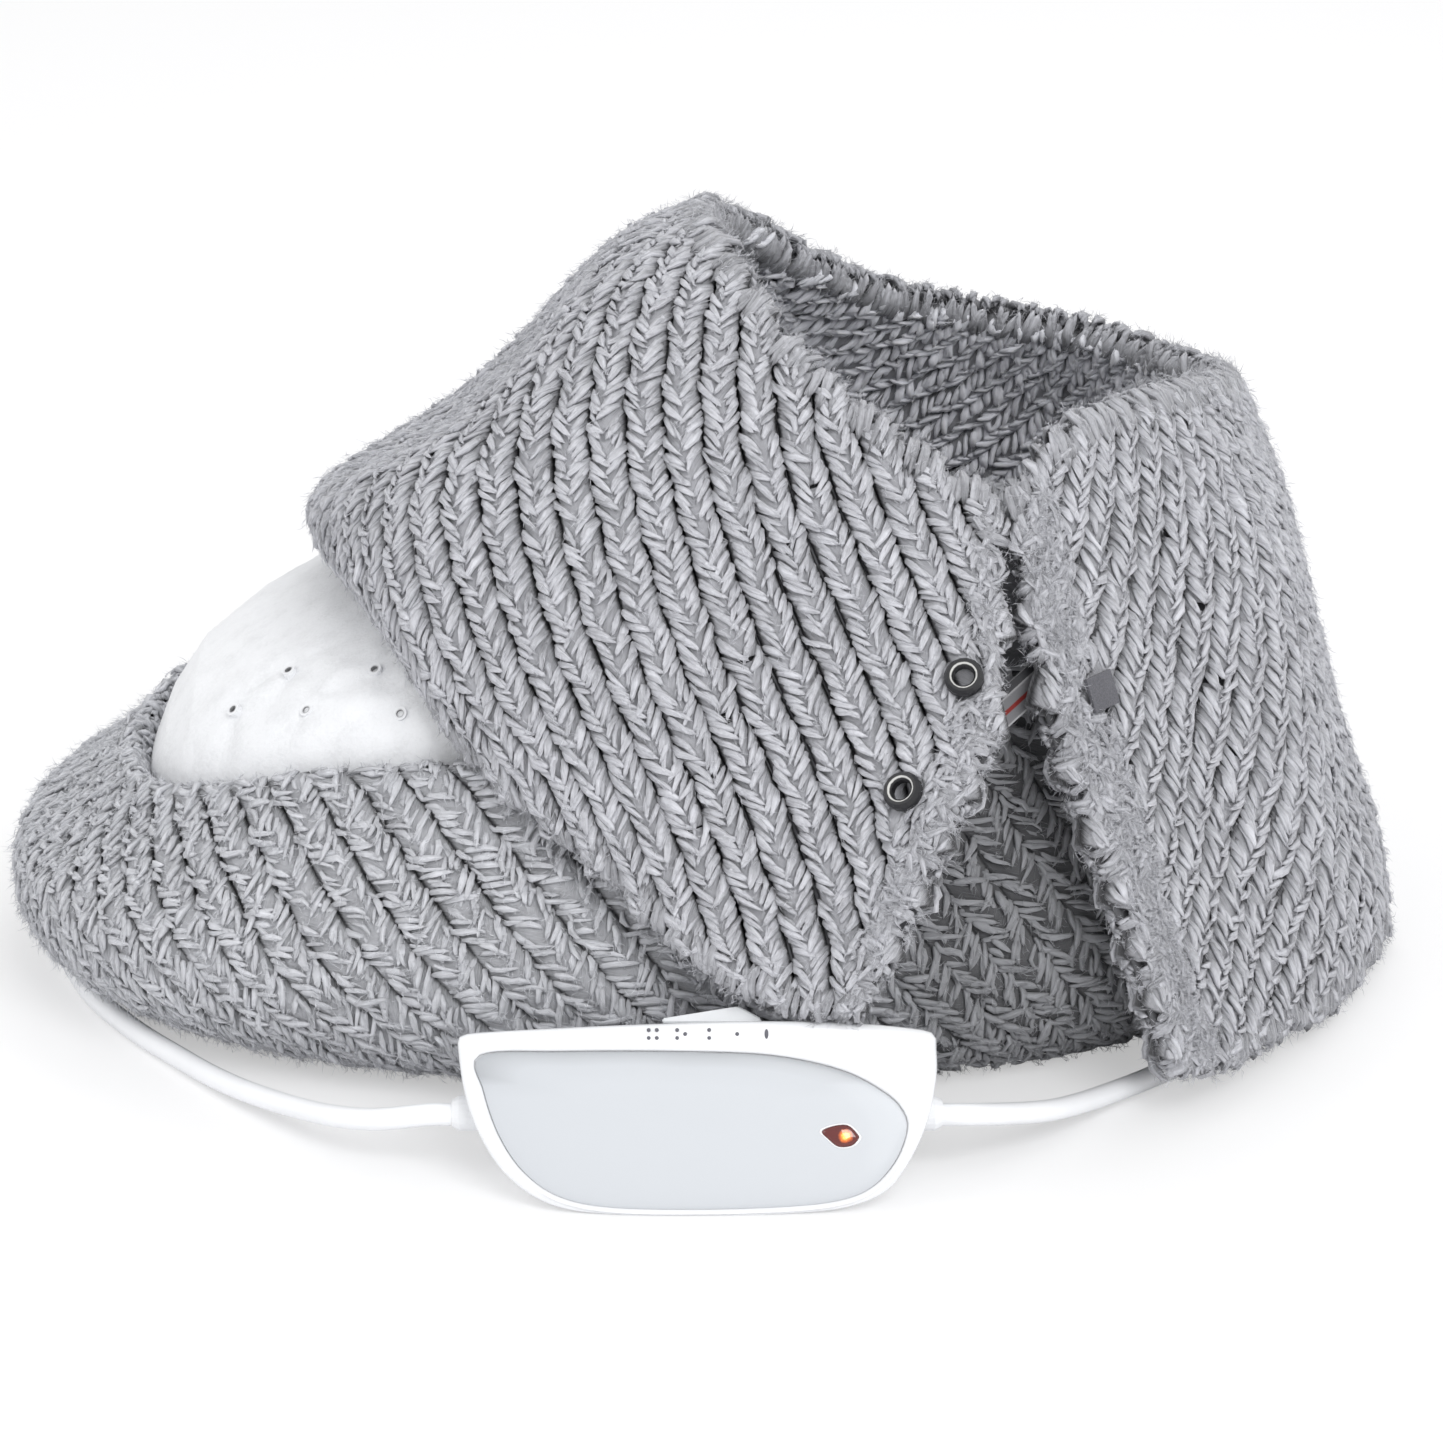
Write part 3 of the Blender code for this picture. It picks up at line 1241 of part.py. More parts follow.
def make_lead_gland(boot, wall):
    """Strain relief on the far side of the wall; returns where its tip faces the lead."""
    angle = 2 * math.pi * GLAND_SHARE_ROUND
    reach, height = roll_size(share_along(angle))
    outside = Vector((*foot_point(angle, 2 * reach), height))
    inwards = Vector((*foot_point(angle, reach), height)) - outside
    skin = BVHTree.FromPolygons([v.co for v in wall.data.vertices], [tuple(p.vertices) for p in wall.data.polygons])
    spot, away, _, _ = skin.ray_cast(outside, inwards.normalized())
    gland = turned("lead_gland", relief_profile(), WHITE_PLASTIC, boot)
    start = spot + away * (RELIEF_FLANGE_THICKNESS + SEAT_GAP)
    gland.matrix_local = Matrix.Translation(start) @ away.to_track_quat("Z", "Y").to_matrix().to_4x4()
    return start + away * (RELIEF_LENGTH + SEAT_GAP), away


def route_between(start, start_way, middle, end, end_way):
    """A route whose two ends run straight for a diameter."""
    run = CORD_DIAMETER
    points = [tuple(start), tuple(Vector(start) + Vector(start_way) * run)]
    points += list(middle)
    points += [tuple(Vector(end) + Vector(end_way) * run), tuple(end)]
    return points


def coil_floor(across, outer):
    """Height of the lowest layer: the tie lifts the coil a little on its own side."""
    tilt = (across + outer) / (2 * outer)
    return CORD_DIAMETER / 2 + SEAT_GAP / 2 + (TIE_THICKNESS + SEAT_GAP) * tilt


def coil_points():
    """One tube that spirals in on the floor layer, climbs, and spirals out on top."""
    outer = COIL_MIDDLE_RADIUS + COIL_PITCH * COIL_TURNS / 4
    points = []
    for step in range(round(COIL_TURNS * COIL_TURN_STEPS) + 1):
        turn = step / COIL_TURN_STEPS
        radius = outer - COIL_PITCH * min(turn, COIL_TURNS - turn)
        climb = min(max((turn - COIL_TURNS / 2) * 2 + 0.5, 0), 1)
        angle = 2 * math.pi * turn - math.pi / 2
        height = coil_floor(radius * math.cos(angle), outer) + COIL_PITCH * climb * climb * (3 - 2 * climb)
        points.append((COIL_MIDDLE_X + radius * math.cos(angle), COIL_MIDDLE_Y + radius * math.sin(angle), height))
    first, last = Vector(points[0]), Vector(points[-1])
    start = first - Vector((CORD_DIAMETER, 0, 0))
    end = last + Vector((CORD_DIAMETER, 0, 0))
    return [tuple(start)] + points + [tuple(end)], outer


def least_gap(points):
    """The least gap of a wound tube to itself, between turns."""
    at = np.asarray(points)
    apart = np.linalg.norm(at[:, None] - at[None], axis=2)
    steps = np.abs(np.subtract.outer(np.arange(len(at)), np.arange(len(at))))
    return float(apart[steps > COIL_TURN_STEPS // 3].min() - CORD_DIAMETER)


def make_tie(outer, boot):
    inner = outer - COIL_PITCH * COIL_TURNS / 2
    half_width = (outer - inner + CORD_DIAMETER) / 2 + 2 * SEAT_GAP
    top = CORD_DIAMETER + COIL_PITCH + 3 * SEAT_GAP + TIE_THICKNESS
    wall = TIE_THICKNESS

    def frame(grow):
        return [
            (-half_width - grow, wall - grow),
            (half_width + grow, wall - grow),
            (half_width + grow, top + grow),
            (-half_width - grow, top + grow),
        ]

    tie = flat_piece("coil_tie", [frame(wall), frame(0)], TIE_WIDTH, BLACK_PLASTIC, boot)
    tie.matrix_local = Matrix.Translation((COIL_MIDDLE_X + (outer + inner) / 2, COIL_MIDDLE_Y, 0)) @ Matrix.Rotation(math.pi / 2, 4, "X")


def make_plug(boot, coil_end):
    """Flat two-pin plug lying on the floor, its pins towards +X; returns where its lead meets it."""
    y = coil_end[1]
    middle = PLUG_THICKNESS / 2
    face, back = PLUG_FACE_WIDTH / 2, PLUG_BACK_WIDTH / 2
    outline = [
        (0, -back), (PLUG_LENGTH * 0.38, -back), (PLUG_LENGTH * 0.58, -face), (PLUG_LENGTH * 0.88, -face),
        (PLUG_LENGTH, -face * 0.8), (PLUG_LENGTH, face * 0.8), (PLUG_LENGTH * 0.88, face),
        (PLUG_LENGTH * 0.58, face), (PLUG_LENGTH * 0.38, back), (0, back),
    ]
    body = flat_piece("plug_body", [outline], PLUG_THICKNESS, WHITE_PLASTIC, boot)
    body.location = (PLUG_BACK_X, y, middle)
    bpy.context.view_layer.update()
    body = mesh_from_curve(body)
    edge = body.modifiers.new("Edges", "BEVEL")
    edge.width = PLUG_ROUND
    edge.segments = 2
    edge.limit_method = "ANGLE"
    radius = PIN_DIAMETER / 2
    for number, side in ((1, -1), (2, 1)):
        pin = turned(
            f"plug_pin_{number}",
            [(0, PIN_LENGTH), (radius * 0.6, PIN_LENGTH), (radius, PIN_LENGTH - radius * 0.6), (radius, 0), (0, 0)],
            PIN_METAL,
            boot,
            steps=12,
        )
        spot = (PLUG_BACK_X + PLUG_LENGTH + SEAT_GAP, y + side * PIN_SPACING / 2, middle)
        pin.matrix_local = Matrix.Translation(spot) @ Matrix.Rotation(math.pi / 2, 4, "Y")
    relief = turned("plug_relief", relief_profile(), WHITE_PLASTIC, boot)
    start = PLUG_BACK_X - RELIEF_FLANGE_THICKNESS - SEAT_GAP
    relief.matrix_local = Matrix.Translation((start, y, middle)) @ Matrix.Rotation(-math.pi / 2, 4, "Y")
    return (start - RELIEF_LENGTH - SEAT_GAP, y, middle)


def make_cords(boot, wall, control_ends):
    gland_tip, gland_way = make_lead_gland(boot, wall)
    pitch = CORD_POINT_DIAMETERS * CORD_DIAMETER
    lowest = (CORD_DIAMETER + SEAT_GAP) / 2
    right, left = control_ends["right"], control_ends["left"]
    warmer = evenly(route_between(gland_tip, gland_way, WARMER_ROUTE, right, (1, 0, 0)), pitch, lowest)
    tube("warmer_lead", warmer, CORD_DIAMETER, WHITE_PLASTIC, boot)
    coil, outer = coil_points()
    tube("mains_coil", coil, CORD_DIAMETER, WHITE_PLASTIC, boot, resolution=1)
    start = Vector(coil[0]) - Vector((SEAT_GAP, 0, 0))
    mains = evenly(route_between(left, (-1, 0, 0), MAINS_ROUTE, start, (-1, 0, 0)), pitch, lowest)
    tube("mains_lead", mains, CORD_DIAMETER, WHITE_PLASTIC, boot)
    make_tie(outer, boot)
    plug_tip = make_plug(boot, coil[-1])
    coil_end = Vector(coil[-1]) + Vector((SEAT_GAP, 0, 0))
    plug_lead = evenly(route_between(coil_end, (1, 0, 0), (), plug_tip, (-1, 0, 0)), pitch, lowest)
    tube("plug_lead", plug_lead, CORD_DIAMETER, WHITE_PLASTIC, boot)
    print("warmer lead length", round(length_of(warmer), 4))
    print("mains lengths", [round(length_of(line), 4) for line in (mains, coil, plug_lead)])
    print("coil least gap to itself", round(least_gap(coil), 5))


def stand_at_origin(root, cord_names):
    """Put the bottom centre of the boot and its control at the origin."""
    graph = bpy.context.evaluated_depsgraph_get()
    lows, highs = [], []
    for thing in bpy.data.collections["electric_foot_warmer"].objects:
        if thing.type == "EMPTY" or thing.name in cord_names:
            continue
        evaluated = thing.evaluated_get(graph)
        mesh = evaluated.to_mesh()
        points = np.empty(len(mesh.vertices) * 3, np.float32)
        mesh.vertices.foreach_get("co", points)
        evaluated.to_mesh_clear()
        world = np.array(evaluated.matrix_world)
        points = points.reshape(-1, 3) @ world[:3, :3].T + world[:3, 3]
        lows.append(points.min(axis=0))
        highs.append(points.max(axis=0))
    middle = (np.min(lows, axis=0) + np.max(highs, axis=0)) / 2
    root.location = (-middle[0], -middle[1], 0)


def main():
    clear_scene()
    boot = empty("boot_frame")
    wall = make_base_wall(boot)
    make_sole_stack(boot)
    make_heating_wire(boot)
    make_thermal_cutouts(boot)
    make_insole(boot)
    make_pocket(boot)
    axes = make_flaps(boot)
    rail, control_ends = make_control(boot)
    make_cords(boot, wall, control_ends)
    bpy.context.view_layer.update()
    on_cords = {
        "warmer_lead", "mains_lead", "mains_coil", "plug_lead", "coil_tie",
        "plug_relief", "plug_body", "plug_pin_1", "plug_pin_2",
    }
    stand_at_origin(boot, on_cords)
    bpy.context.view_layer.update()
    print("boot frame stands at", [round(v, 5) for v in boot.location])
    for name, (hinge, axis) in axes.items():
        print(name, [round(v, 5) for v in hinge.matrix_world.translation], [round(v, 5) for v in axis])
    print("slider rail", [round(v, 5) for v in rail.matrix_world.translation])


main()
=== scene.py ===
"""Looks of the electric foot warmer: chunky knit, white fleece, hand control, cords and stage.

Metres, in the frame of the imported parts. Toe at -X, the slit and the hand control on the -Y side.
"""

import math

import bmesh
import bpy
import numpy as np
from mathutils import Matrix, Vector
from mathutils.kdtree import KDTree


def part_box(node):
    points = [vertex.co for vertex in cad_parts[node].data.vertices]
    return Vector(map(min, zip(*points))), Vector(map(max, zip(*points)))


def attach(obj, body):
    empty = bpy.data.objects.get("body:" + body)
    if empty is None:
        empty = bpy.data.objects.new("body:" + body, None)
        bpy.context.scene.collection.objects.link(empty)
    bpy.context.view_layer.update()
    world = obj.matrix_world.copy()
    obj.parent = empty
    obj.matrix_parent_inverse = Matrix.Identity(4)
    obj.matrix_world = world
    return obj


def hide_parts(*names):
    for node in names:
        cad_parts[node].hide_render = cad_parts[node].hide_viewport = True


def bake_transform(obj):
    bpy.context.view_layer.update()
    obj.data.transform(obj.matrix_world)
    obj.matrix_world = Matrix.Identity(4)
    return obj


bl_info = {
    "name": "Electric foot warmer",
    "version": (1, 0, 0),
    "blender": (4, 5, 0),
    "location": "3D View > Sidebar > Foot warmer",
    "description": "Dresses the packed foot warmer in knit, fleece, moulded plastic and cord",
    "category": "Object",
}

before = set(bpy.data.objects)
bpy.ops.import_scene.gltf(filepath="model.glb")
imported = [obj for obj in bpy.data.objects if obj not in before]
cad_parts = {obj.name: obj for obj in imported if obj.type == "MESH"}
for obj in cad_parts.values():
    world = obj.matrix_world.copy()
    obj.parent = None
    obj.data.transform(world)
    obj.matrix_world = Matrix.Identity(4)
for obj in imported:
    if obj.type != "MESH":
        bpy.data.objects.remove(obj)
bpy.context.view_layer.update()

# Where the boot's own frame stands
BOOT_PLACE = np.array((-0.00057, 0.01452, 0.0))
# Room left between neighbours, and the lowest that yarn hangs
SEAT_GAP = 0.0003
YARN_FLOOR = 0.0004

# Boot footprint, roll and rim
FOOT_HALF_LENGTH, FOOT_HALF_WIDTH, FOOT_SQUARENESS = 0.142, 0.088, 2.35
WALL_THICKNESS = 0.011
ROLL_REACH, ROLL_HEIGHT = (0.040, 0.036, 0.021), (0.026, 0.034, 0.032)
ROLL_DEGREES = (-65, -40, -15, 15)
TOE_RIM_HEIGHT, HEEL_RIM_HEIGHT, TOE_RIM_REACH = 0.056, 0.104, 0.015
RIM_RISE_SHARES = ((-1, 0), (-0.9, 0.12), (-0.68, 0.4), (-0.3, 0.6), (0.1, 0.79), (0.5, 0.96), (1, 1))
RIM_REACH_SHARES = ((-1, 1), (-0.6, 0.9), (0, 0.5), (0.5, 0.27), (1, 0))
WALL_FLAT_SHARE = 0.2

# Fleece top
CREST_HEIGHT = 0.128
CREST_SHARES = (
    (-1.03, 0.4), (-0.985, 0.53), (-0.93, 0.62), (-0.83, 0.7), (-0.69, 0.775),
    (-0.5, 0.84), (-0.3, 0.905), (-0.1, 0.965), (0.05, 1),
)
POCKET_ROUNDNESS = 2.4
POCKET_THICKNESS, POCKET_INSIDE_SHARE = 0.0065, 0.85
EYELETS = [f"vent_eyelet_{number}" for number in range(1, 6)]
DIMPLE_DEPTH, DIMPLE_RADIUS = 0.0013, 0.0045
PUCKER_HEIGHT, PUCKER_RADIUS, PUCKER_WIDTH = 0.0004, 0.009, 0.006
FOLD_COUNT, FOLD_HEIGHT, FOLD_WIDTH, FOLD_LENGTH = 34, 0.0003, 0.006, 0.024

# Collar stations from the front edge of the slit round to the slit again. Each has six points from
# hem to mouth, or the ends of a straight line, in hundredths of the collar's size
COLLAR_SIZE = np.array((0.180, 0.135, 0.200))
COLLAR_THICKNESS = 0.0090
# How far the ribs lie under the knit's surfaces, and the cloth that carries them
SKIN_SINK, CLOTH_DEPTH = 0.0002, 0.0039
COLLAR_PERCENTS = (
    (20, -115, 22, 26, -111, 33, 31, -106, 43, 37, -96, 51, 39, -85, 59, 39, -65, 74),
    (11, -112, 22, 15, -103, 33, 19, -94, 45, 23, -84, 56, 27, -74, 67, 31, -62, 78),
    (-1, -105, 26, 22, -59, 83),
    (-14, -90, 33, -13, -86, 46, -9, -80, 59, -2, -72, 69, 5, -62, 80, 13, -52, 89),
    (-28, -76, 40, -31, -72, 52, -26, -64, 66, -17, -56, 79, -5, -49, 90, 5, -40, 97),
    (-40, -56, 49, -45, -50, 58, -42, -43, 70, -29, -37, 81, -14, -31, 94, 0, -24, 101),
    (-48, -3, 54, -56, -4, 56, -54, -6, 64, -34, -6, 74, -14, -4, 94, -2, -6, 100),
    (-45.5, 30, 53.5, -53, 31, 54.5, -50, 31, 60, -32, 28, 73, -13, 22, 91, -1, 16, 98),
    (-31, 58, 47.5, -38, 62, 50, -35, 61, 57, -22, 55, 69, -8, 44, 84, 4, 34, 93),
    (-18, 89, 33, -20, 89, 41, -18, 85, 50, -9, 76, 62, 2, 64, 76, 13, 47, 87),
    (2, 102, 16, 1, 103, 28, 3, 99, 41, 9, 89, 55, 17, 76, 69, 24, 61, 80),
    (25, 101, 7, 26, 102, 20, 28, 100, 35, 31, 93, 49, 36, 81, 63, 40, 65, 76),
    (49, 95, 5, 51, 96, 18, 52, 94, 33, 53, 88, 47, 56, 77, 61, 58, 59, 74),
    (71, 77, 4, 73, 78, 17, 73, 76, 32, 71, 71, 46, 69, 61, 60, 69, 44, 73),
    (90, 44, 3, 91, 44, 16, 88, 43, 31, 84, 40, 46, 80, 34, 61, 75, 25, 74),
    (101, 0, 3, 99, 0, 15, 93, 0, 30, 88, 0, 46, 83, 0, 62, 76, -1, 77),
    (91, -43, 3, 89, -44, 16, 86, -43, 32, 82, -40, 49, 77, -36, 65, 67, -34, 82),
    (81, -65, 5, 53, -56, 82),
    (73, -81, 6, 67, -79, 21, 62, -75, 36, 57, -71, 50, 52, -67, 65, 47, -62, 80),
    (64, -93, 8, 60, -92, 20, 55, -89, 32, 50, -85, 43, 45, -79, 57, 41, -65, 74),
)
LAST_STATION = len(COLLAR_PERCENTS) - 1
FRONT_HINGE, REAR_HINGE = 2, 17
HINGE_HALF_BEND = 0.007
PART_STATIONS = (0.0, 2.35, 9.3, 16.65, 19.01)
COLLAR_PARTS = (
    ("front_flap", *PART_STATIONS[0:2], "front_panel"),
    ("collar_toe", *PART_STATIONS[1:3], "boot"),
    ("collar_heel", *PART_STATIONS[2:4], "boot"),
    ("rear_flap", *PART_STATIONS[3:5], "rear_panel"),
)

# Places on the collar, (station, share from hem to mouth), each with the radius that it needs free
SOCKET_SEATS = (((0.30, 0.70), 0.0036), ((0.45, 0.43), 0.0036))
POST_SEATS = (((18.35, 0.70), 0.0050), ((18.45, 0.43), 0.0050))
PATCH_SEAT = ((18.38, 0.663), 0.0046)
LABEL_LENGTH, LABEL_CLEARANCE = 0.018, 0.0042
LABEL_WAY = np.array((0.660, 0.649, 0.379))
KNOB_TRAVEL, KNOB_CLEARANCE = 0.0136, 0.0012
# Strips beside the slit that hold loose loops: from station, to station, how many
LOOSE_STRIPS = ((0.06, 0.32, 200), (18.35, 18.86, 760))
# Up to here from the hem, the inside of the collar lies against the boot
HIDDEN_HEM_SHARE = 0.22

# Lean of the ribs from the line hem to mouth, in degrees towards the next station
RIB_LEAN_STATIONS = (0, 1, 2, 5, 6, 7, 8, 9, 10, 11, 12, 13, 14, 15, 16, 17, 18, 19)
RIB_LEAN_MOUTH = (-22, -36, -42, -44, -62, -92, -116, -112, -92, -60, -40, -30, -6, 24, 40, 44, 46, 42)
RIB_LEAN_HEM = (-22, -36, -37, -24, -40, -70, -86, -88, -80, -52, -34, -24, -8, 16, 38, 48, 50, 44)
BASE_RIB_LEAN_HEEL, BASE_RIB_LEAN_TOE = math.radians(40), math.radians(50)
BASE_RIB_OVERLAP = 1.12
BASE_CLOTH_DEPTHS = (0.0038, 0.0078)
# Quarters of the wall from the heel round by the far side, with their share of loose fibres
BASE_QUARTERS = (("heel_far", 0.5), ("toe_far", 1.0), ("toe_near", 1.7), ("heel_near", 1.5))
# Along the boot, where painted shade makes the yarn behind the slit darker, and where it ends
SLIT_PAINTED_SHADE, SLIT_DARKNESS = (0.036, 0.056, 0.105, 0.120), 0.92
# The boot's tufts nearer than this to the inside of the fixed collar are never seen
COVERED_REACH = 0.016

# A tuft is one combed strand of a rib: places along it, and its thickness at the rings between
TUFT_STEPS = np.array((0.0, 0.14, 0.47, 0.82, 1.0))
TUFT_RADIUS_SHARES = np.array((0.78, 1.05, 0.68))
TUFT_SIDES, TUFT_FLATNESS_SHARE = 4, 0.8
# Tufts that close the collar's edges, and loops that have worked free
HEM_SPACING, SLIT_SPACING, EDGE_RADIUS, LOOSE_RADIUS = 0.0016, 0.0014, 0.0014, 0.00085
# Places across a rib of the points of its core, the space between their rings and how deep they lie
CORE_SHARES = np.array((-0.98, -0.72, -0.28, 0.28, 0.72, 0.98))
# CORE_LIFT also gives the cores' painted shade, darker towards their sides
CORE_LIFT = np.sqrt(1 - CORE_SHARES**2)
CORE_STEP, CORE_SINK_SHARE = 0.003, 0.45
FIBRE_THICKNESS = 0.00015

# Hand control
CONTROL_LENGTH, CONTROL_HEIGHT, CONTROL_FRONT_DEPTH = 0.113, 0.0470, 0.0075
CONTROL_SIZE = np.array((CONTROL_LENGTH, CONTROL_HEIGHT))
CONTROL_LEAN = math.radians(60)
CONTROL_PLACE = (-0.0018, -0.1745, -0.0007)
CONTROL_OUTLINE_SHARES = (
    (-0.5, 0.885), (-0.494, 0.92), (-0.458, 0.94), (-0.281, 0.965), (-0.094, 0.985), (0.135, 1.0),
    (0.323, 0.99), (0.458, 0.96), (0.496, 0.93), (0.5, 0.86), (0.5, 0.71), (0.481, 0.485),
    (0.444, 0.285), (0.396, 0.135), (0.323, 0.055), (0.219, 0.02), (0.01, 0.0), (-0.198, 0.015),
    (-0.3125, 0.07), (-0.396, 0.21), (-0.452, 0.41), (-0.485, 0.635),
)
PANEL_OUTLINE_SHARES = (
    (-0.452, 0.82), (-0.281, 0.84), (-0.031, 0.84), (0.156, 0.82), (0.302, 0.745), (0.396, 0.625),
    (0.432, 0.525), (0.436, 0.435), (0.412, 0.29), (0.365, 0.165), (0.302, 0.1), (0.198, 0.068),
    (0.01, 0.052), (-0.177, 0.062), (-0.285, 0.115), (-0.36, 0.24), (-0.411, 0.42), (-0.444, 0.645),
)
PANEL_RING_SHARES = (1.0, 0.985, 0.955, 0.9, 0.8, 0.65, 0.45, 0.22)
# The case's edge, from its seam to the lip of the panel: height and inset
CASE_EDGE = (
    (-CONTROL_FRONT_DEPTH, 0), (-0.0019, 0), (-0.0012, 0.00015),
    (-0.0006, 0.0005), (-0.0002, 0.0011), (0, 0.0019),
)
PANEL_LIP = ((0.00035, -0.0012), (0.0002, -0.0006), (-0.0003, -0.0002), (-0.0009, -0.0001))
LENS_SHARES, LENS_SIZE, LENS_LIFT = (0.298, 0.415), (0.0086, 0.0052), 0.0006
LENS_OUTLINE_SHARES = (
    (-0.5, 0.22), (-0.2, 0.46), (0.2, 0.5), (0.46, 0.12),
    (0.5, -0.1), (0.3, -0.42), (-0.05, -0.46), (-0.3, -0.16),
)
# The marks of the heat steps: along the control, and their dots in half pitches
MARK_HEIGHT, DOT_PITCH = 0.0437, 0.0019
MARKS = (
    (-0.0104, ((-1, -1), (1, -1), (-1, 1), (1, 1))), (-0.0037, ((-1, -1), (-1, 1), (1, 0))),
    (0.0029, ((0, -1), (0, 1))), (0.0095, ((0, 0),)),
)
OFF_BAR_X, OFF_BAR_STRETCH = 0.0164, 2.6

# Cords
CORD_DIAMETER, CORD_POINT_DIAMETERS = 0.0055, 2.4
WARMER_ROUTE = (
    (-0.055, 0.165, 0.0290), (-0.038, 0.172, 0.0140), (-0.010, 0.166, 0.0040), (0.022, 0.148, 0.0030),
    (0.052, 0.124, 0.0030), (0.088, 0.103, 0.0030), (0.124, 0.080, 0.0030), (0.153, 0.045, 0.0030),
    (0.163, 0.000, 0.0030), (0.153, -0.045, 0.0030), (0.134, -0.076, 0.0030), (0.114, -0.098, 0.0032),
    (0.098, -0.115, 0.0045), (0.082, -0.135, 0.0092),
)
MAINS_ROUTE = (
    (-0.082, -0.144, 0.0112), (-0.099, -0.128, 0.007), (-0.117, -0.108, 0.004), (-0.1305, -0.0905, 0.003),
    (-0.146, -0.070, 0.0030), (-0.160, -0.045, 0.0030), (-0.169, -0.014, 0.0030), (-0.169, 0.022, 0.0030),
    (-0.157, 0.060, 0.0030), (-0.133, 0.100, 0.0030), (-0.100, 0.138, 0.0030), (-0.055, 0.172, 0.0030),
    (-0.015, 0.186, 0.0034),
)
COIL_TURNS, COIL_TURN_STEPS, COIL_PITCH = 6, 24, 0.0062
COIL_MIDDLE, COIL_MIDDLE_RADIUS = (0.030, 0.2285), 0.0320
TIE_THICKNESS = 0.0012

# Camera and stage
CAMERA_DISTANCE, CAMERA_ELEVATION = 1.30, math.radians(20)
CAMERA_TARGET = Vector((0.004, 0.0, 0.060))
PHOTO_SIDE, CAMERA_FOCAL_PIXELS, SENSOR_WIDTH = 1443, 4940, 36.0
LAMP_TARGET = Vector((0, 0, 0.06))
LAMPS = (
    ("key_lamp", (0.50, -1.20, 1.10), 0.8, 12.0),
    ("fill_lamp", (-1.2, -0.7, 0.9), 1.0, 4.0),
    ("back_lamp", (0.2, 1.1, 1.4), 0.8, 5.0),
)


# Settings


def size_setting(name, text, default, least):
    return bpy.props.FloatProperty(
        name=name, description=text, default=default, min=least, subtype="DISTANCE", unit="LENGTH"
    )


def colour_setting(name, text, default):
    return bpy.props.FloatVectorProperty(
        name=name, description=text, default=default, min=0, max=1, size=3, subtype="COLOR"
    )


class FootWarmerKnit(bpy.types.PropertyGroup):
    rib_pitch: size_setting("Rib pitch", "Distance from one knit rib to the next", 0.0093, 0.004)
    rib_depth: size_setting("Rib depth", "Height of a rib's crest over its grooves", 0.0036, 0.001)
    tuft_pitch: size_setting("Tuft pitch", "Distance from one combed strand to the next", 0.0019, 0.001)
    tuft_length: size_setting("Tuft length", "How far down the rib one strand reaches", 0.0064, 0.002)
    tuft_width: size_setting("Tuft width", "Width of one strand", 0.0021, 0.0005)
    fuzz_length: size_setting("Fuzz length", "Length of the loose fibres on the yarn", 0.0034, 0.001)
    fuzz_per_tuft: bpy.props.FloatProperty(
        name="Fibres a tuft", description="Loose fibres on each tuft of the outside",
        default=3.8, min=0.0, max=20.0,
    )
    collar_colour: colour_setting("Collar yarn", "Colour of the collar's yarn", (0.535, 0.54, 0.575))
    base_colour: colour_setting("Boot yarn", "Colour of the yarn round the sole", (0.575, 0.583, 0.615))


class FootWarmerTrim(bpy.types.PropertyGroup):
    fleece_colour: colour_setting("Fleece", "Colour of the white fleece", (0.78, 0.79, 0.81))
    case_colour: colour_setting("Control case", "Colour of the moulded case", (0.80, 0.81, 0.83))
    panel_colour: colour_setting("Face panel", "Colour of the inset face panel", (0.54, 0.562, 0.592))
    cord_colour: colour_setting("Cord", "Colour of the cord's jacket", (0.87, 0.88, 0.90))
    dot_diameter: size_setting(
        "Dot diameter", "Diameter of the dots that mark the heat steps", 0.0009, 0.0002
    )


# Shader writing


def math_node(operation, swapped=False):
    def method(self, other):
        first, second = (other, self) if swapped else (self, other)
        return self.nodes.node("ShaderNodeMath", {"operation": operation}, {0: first, 1: second})

    return method


class Value:
    """A shader socket that takes part in arithmetic; each operator adds its Math node."""

    __add__ = __radd__ = math_node("ADD")
    __sub__ = math_node("SUBTRACT")
    __rsub__ = math_node("SUBTRACT", swapped=True)
    __mul__ = __rmul__ = math_node("MULTIPLY")

    def __init__(self, nodes, socket):
        self.nodes = nodes
        self.socket = socket


class Nodes:
    """Writes into a node tree; each new node comes back as one of its outputs."""

    def __init__(self, tree):
        self.tree = tree

    def node(self, kind, settings=None, inputs=None, output=0):
        made = self.tree.nodes.new(kind)
        for key, value in (settings or {}).items():
            if key == "stops":
                elements = made.color_ramp.elements
                while len(elements) < len(value):
                    elements.new(0.5)
                for element, (position, colour) in zip(elements, value):
                    element.position = position
                    element.color = (*colour, 1)
            else:
                setattr(made, key, value)
        for key, value in (inputs or {}).items():
            if isinstance(value, Value):
                self.tree.links.new(value.socket, made.inputs[key])
            else:
                made.inputs[key].default_value = value
        return Value(self, made.outputs[output])

    def vector(self, operation, first, second=None, output=0):
        inputs = {0: first} if second is None else {0: first, 1: second}
        return self.node("ShaderNodeVectorMath", {"operation": operation}, inputs, output)

    def place(self):
        return self.node("ShaderNodeTexCoord", output="Object")

    def attribute(self, name):
        return self.node("ShaderNodeAttribute", {"attribute_name": name}, output="Fac")

    def noise(self, scale, detail=3.0, vector=None, **inputs):
        values = {"Scale": scale, "Detail": detail, "Vector": vector or self.place()}
        values.update({key.title(): value for key, value in inputs.items()})
        return self.node("ShaderNodeTexNoise", None, values)

    def ramp(self, factor, *stops):
        return self.node("ShaderNodeValToRGB", {"stops": stops}, {"Fac": factor})


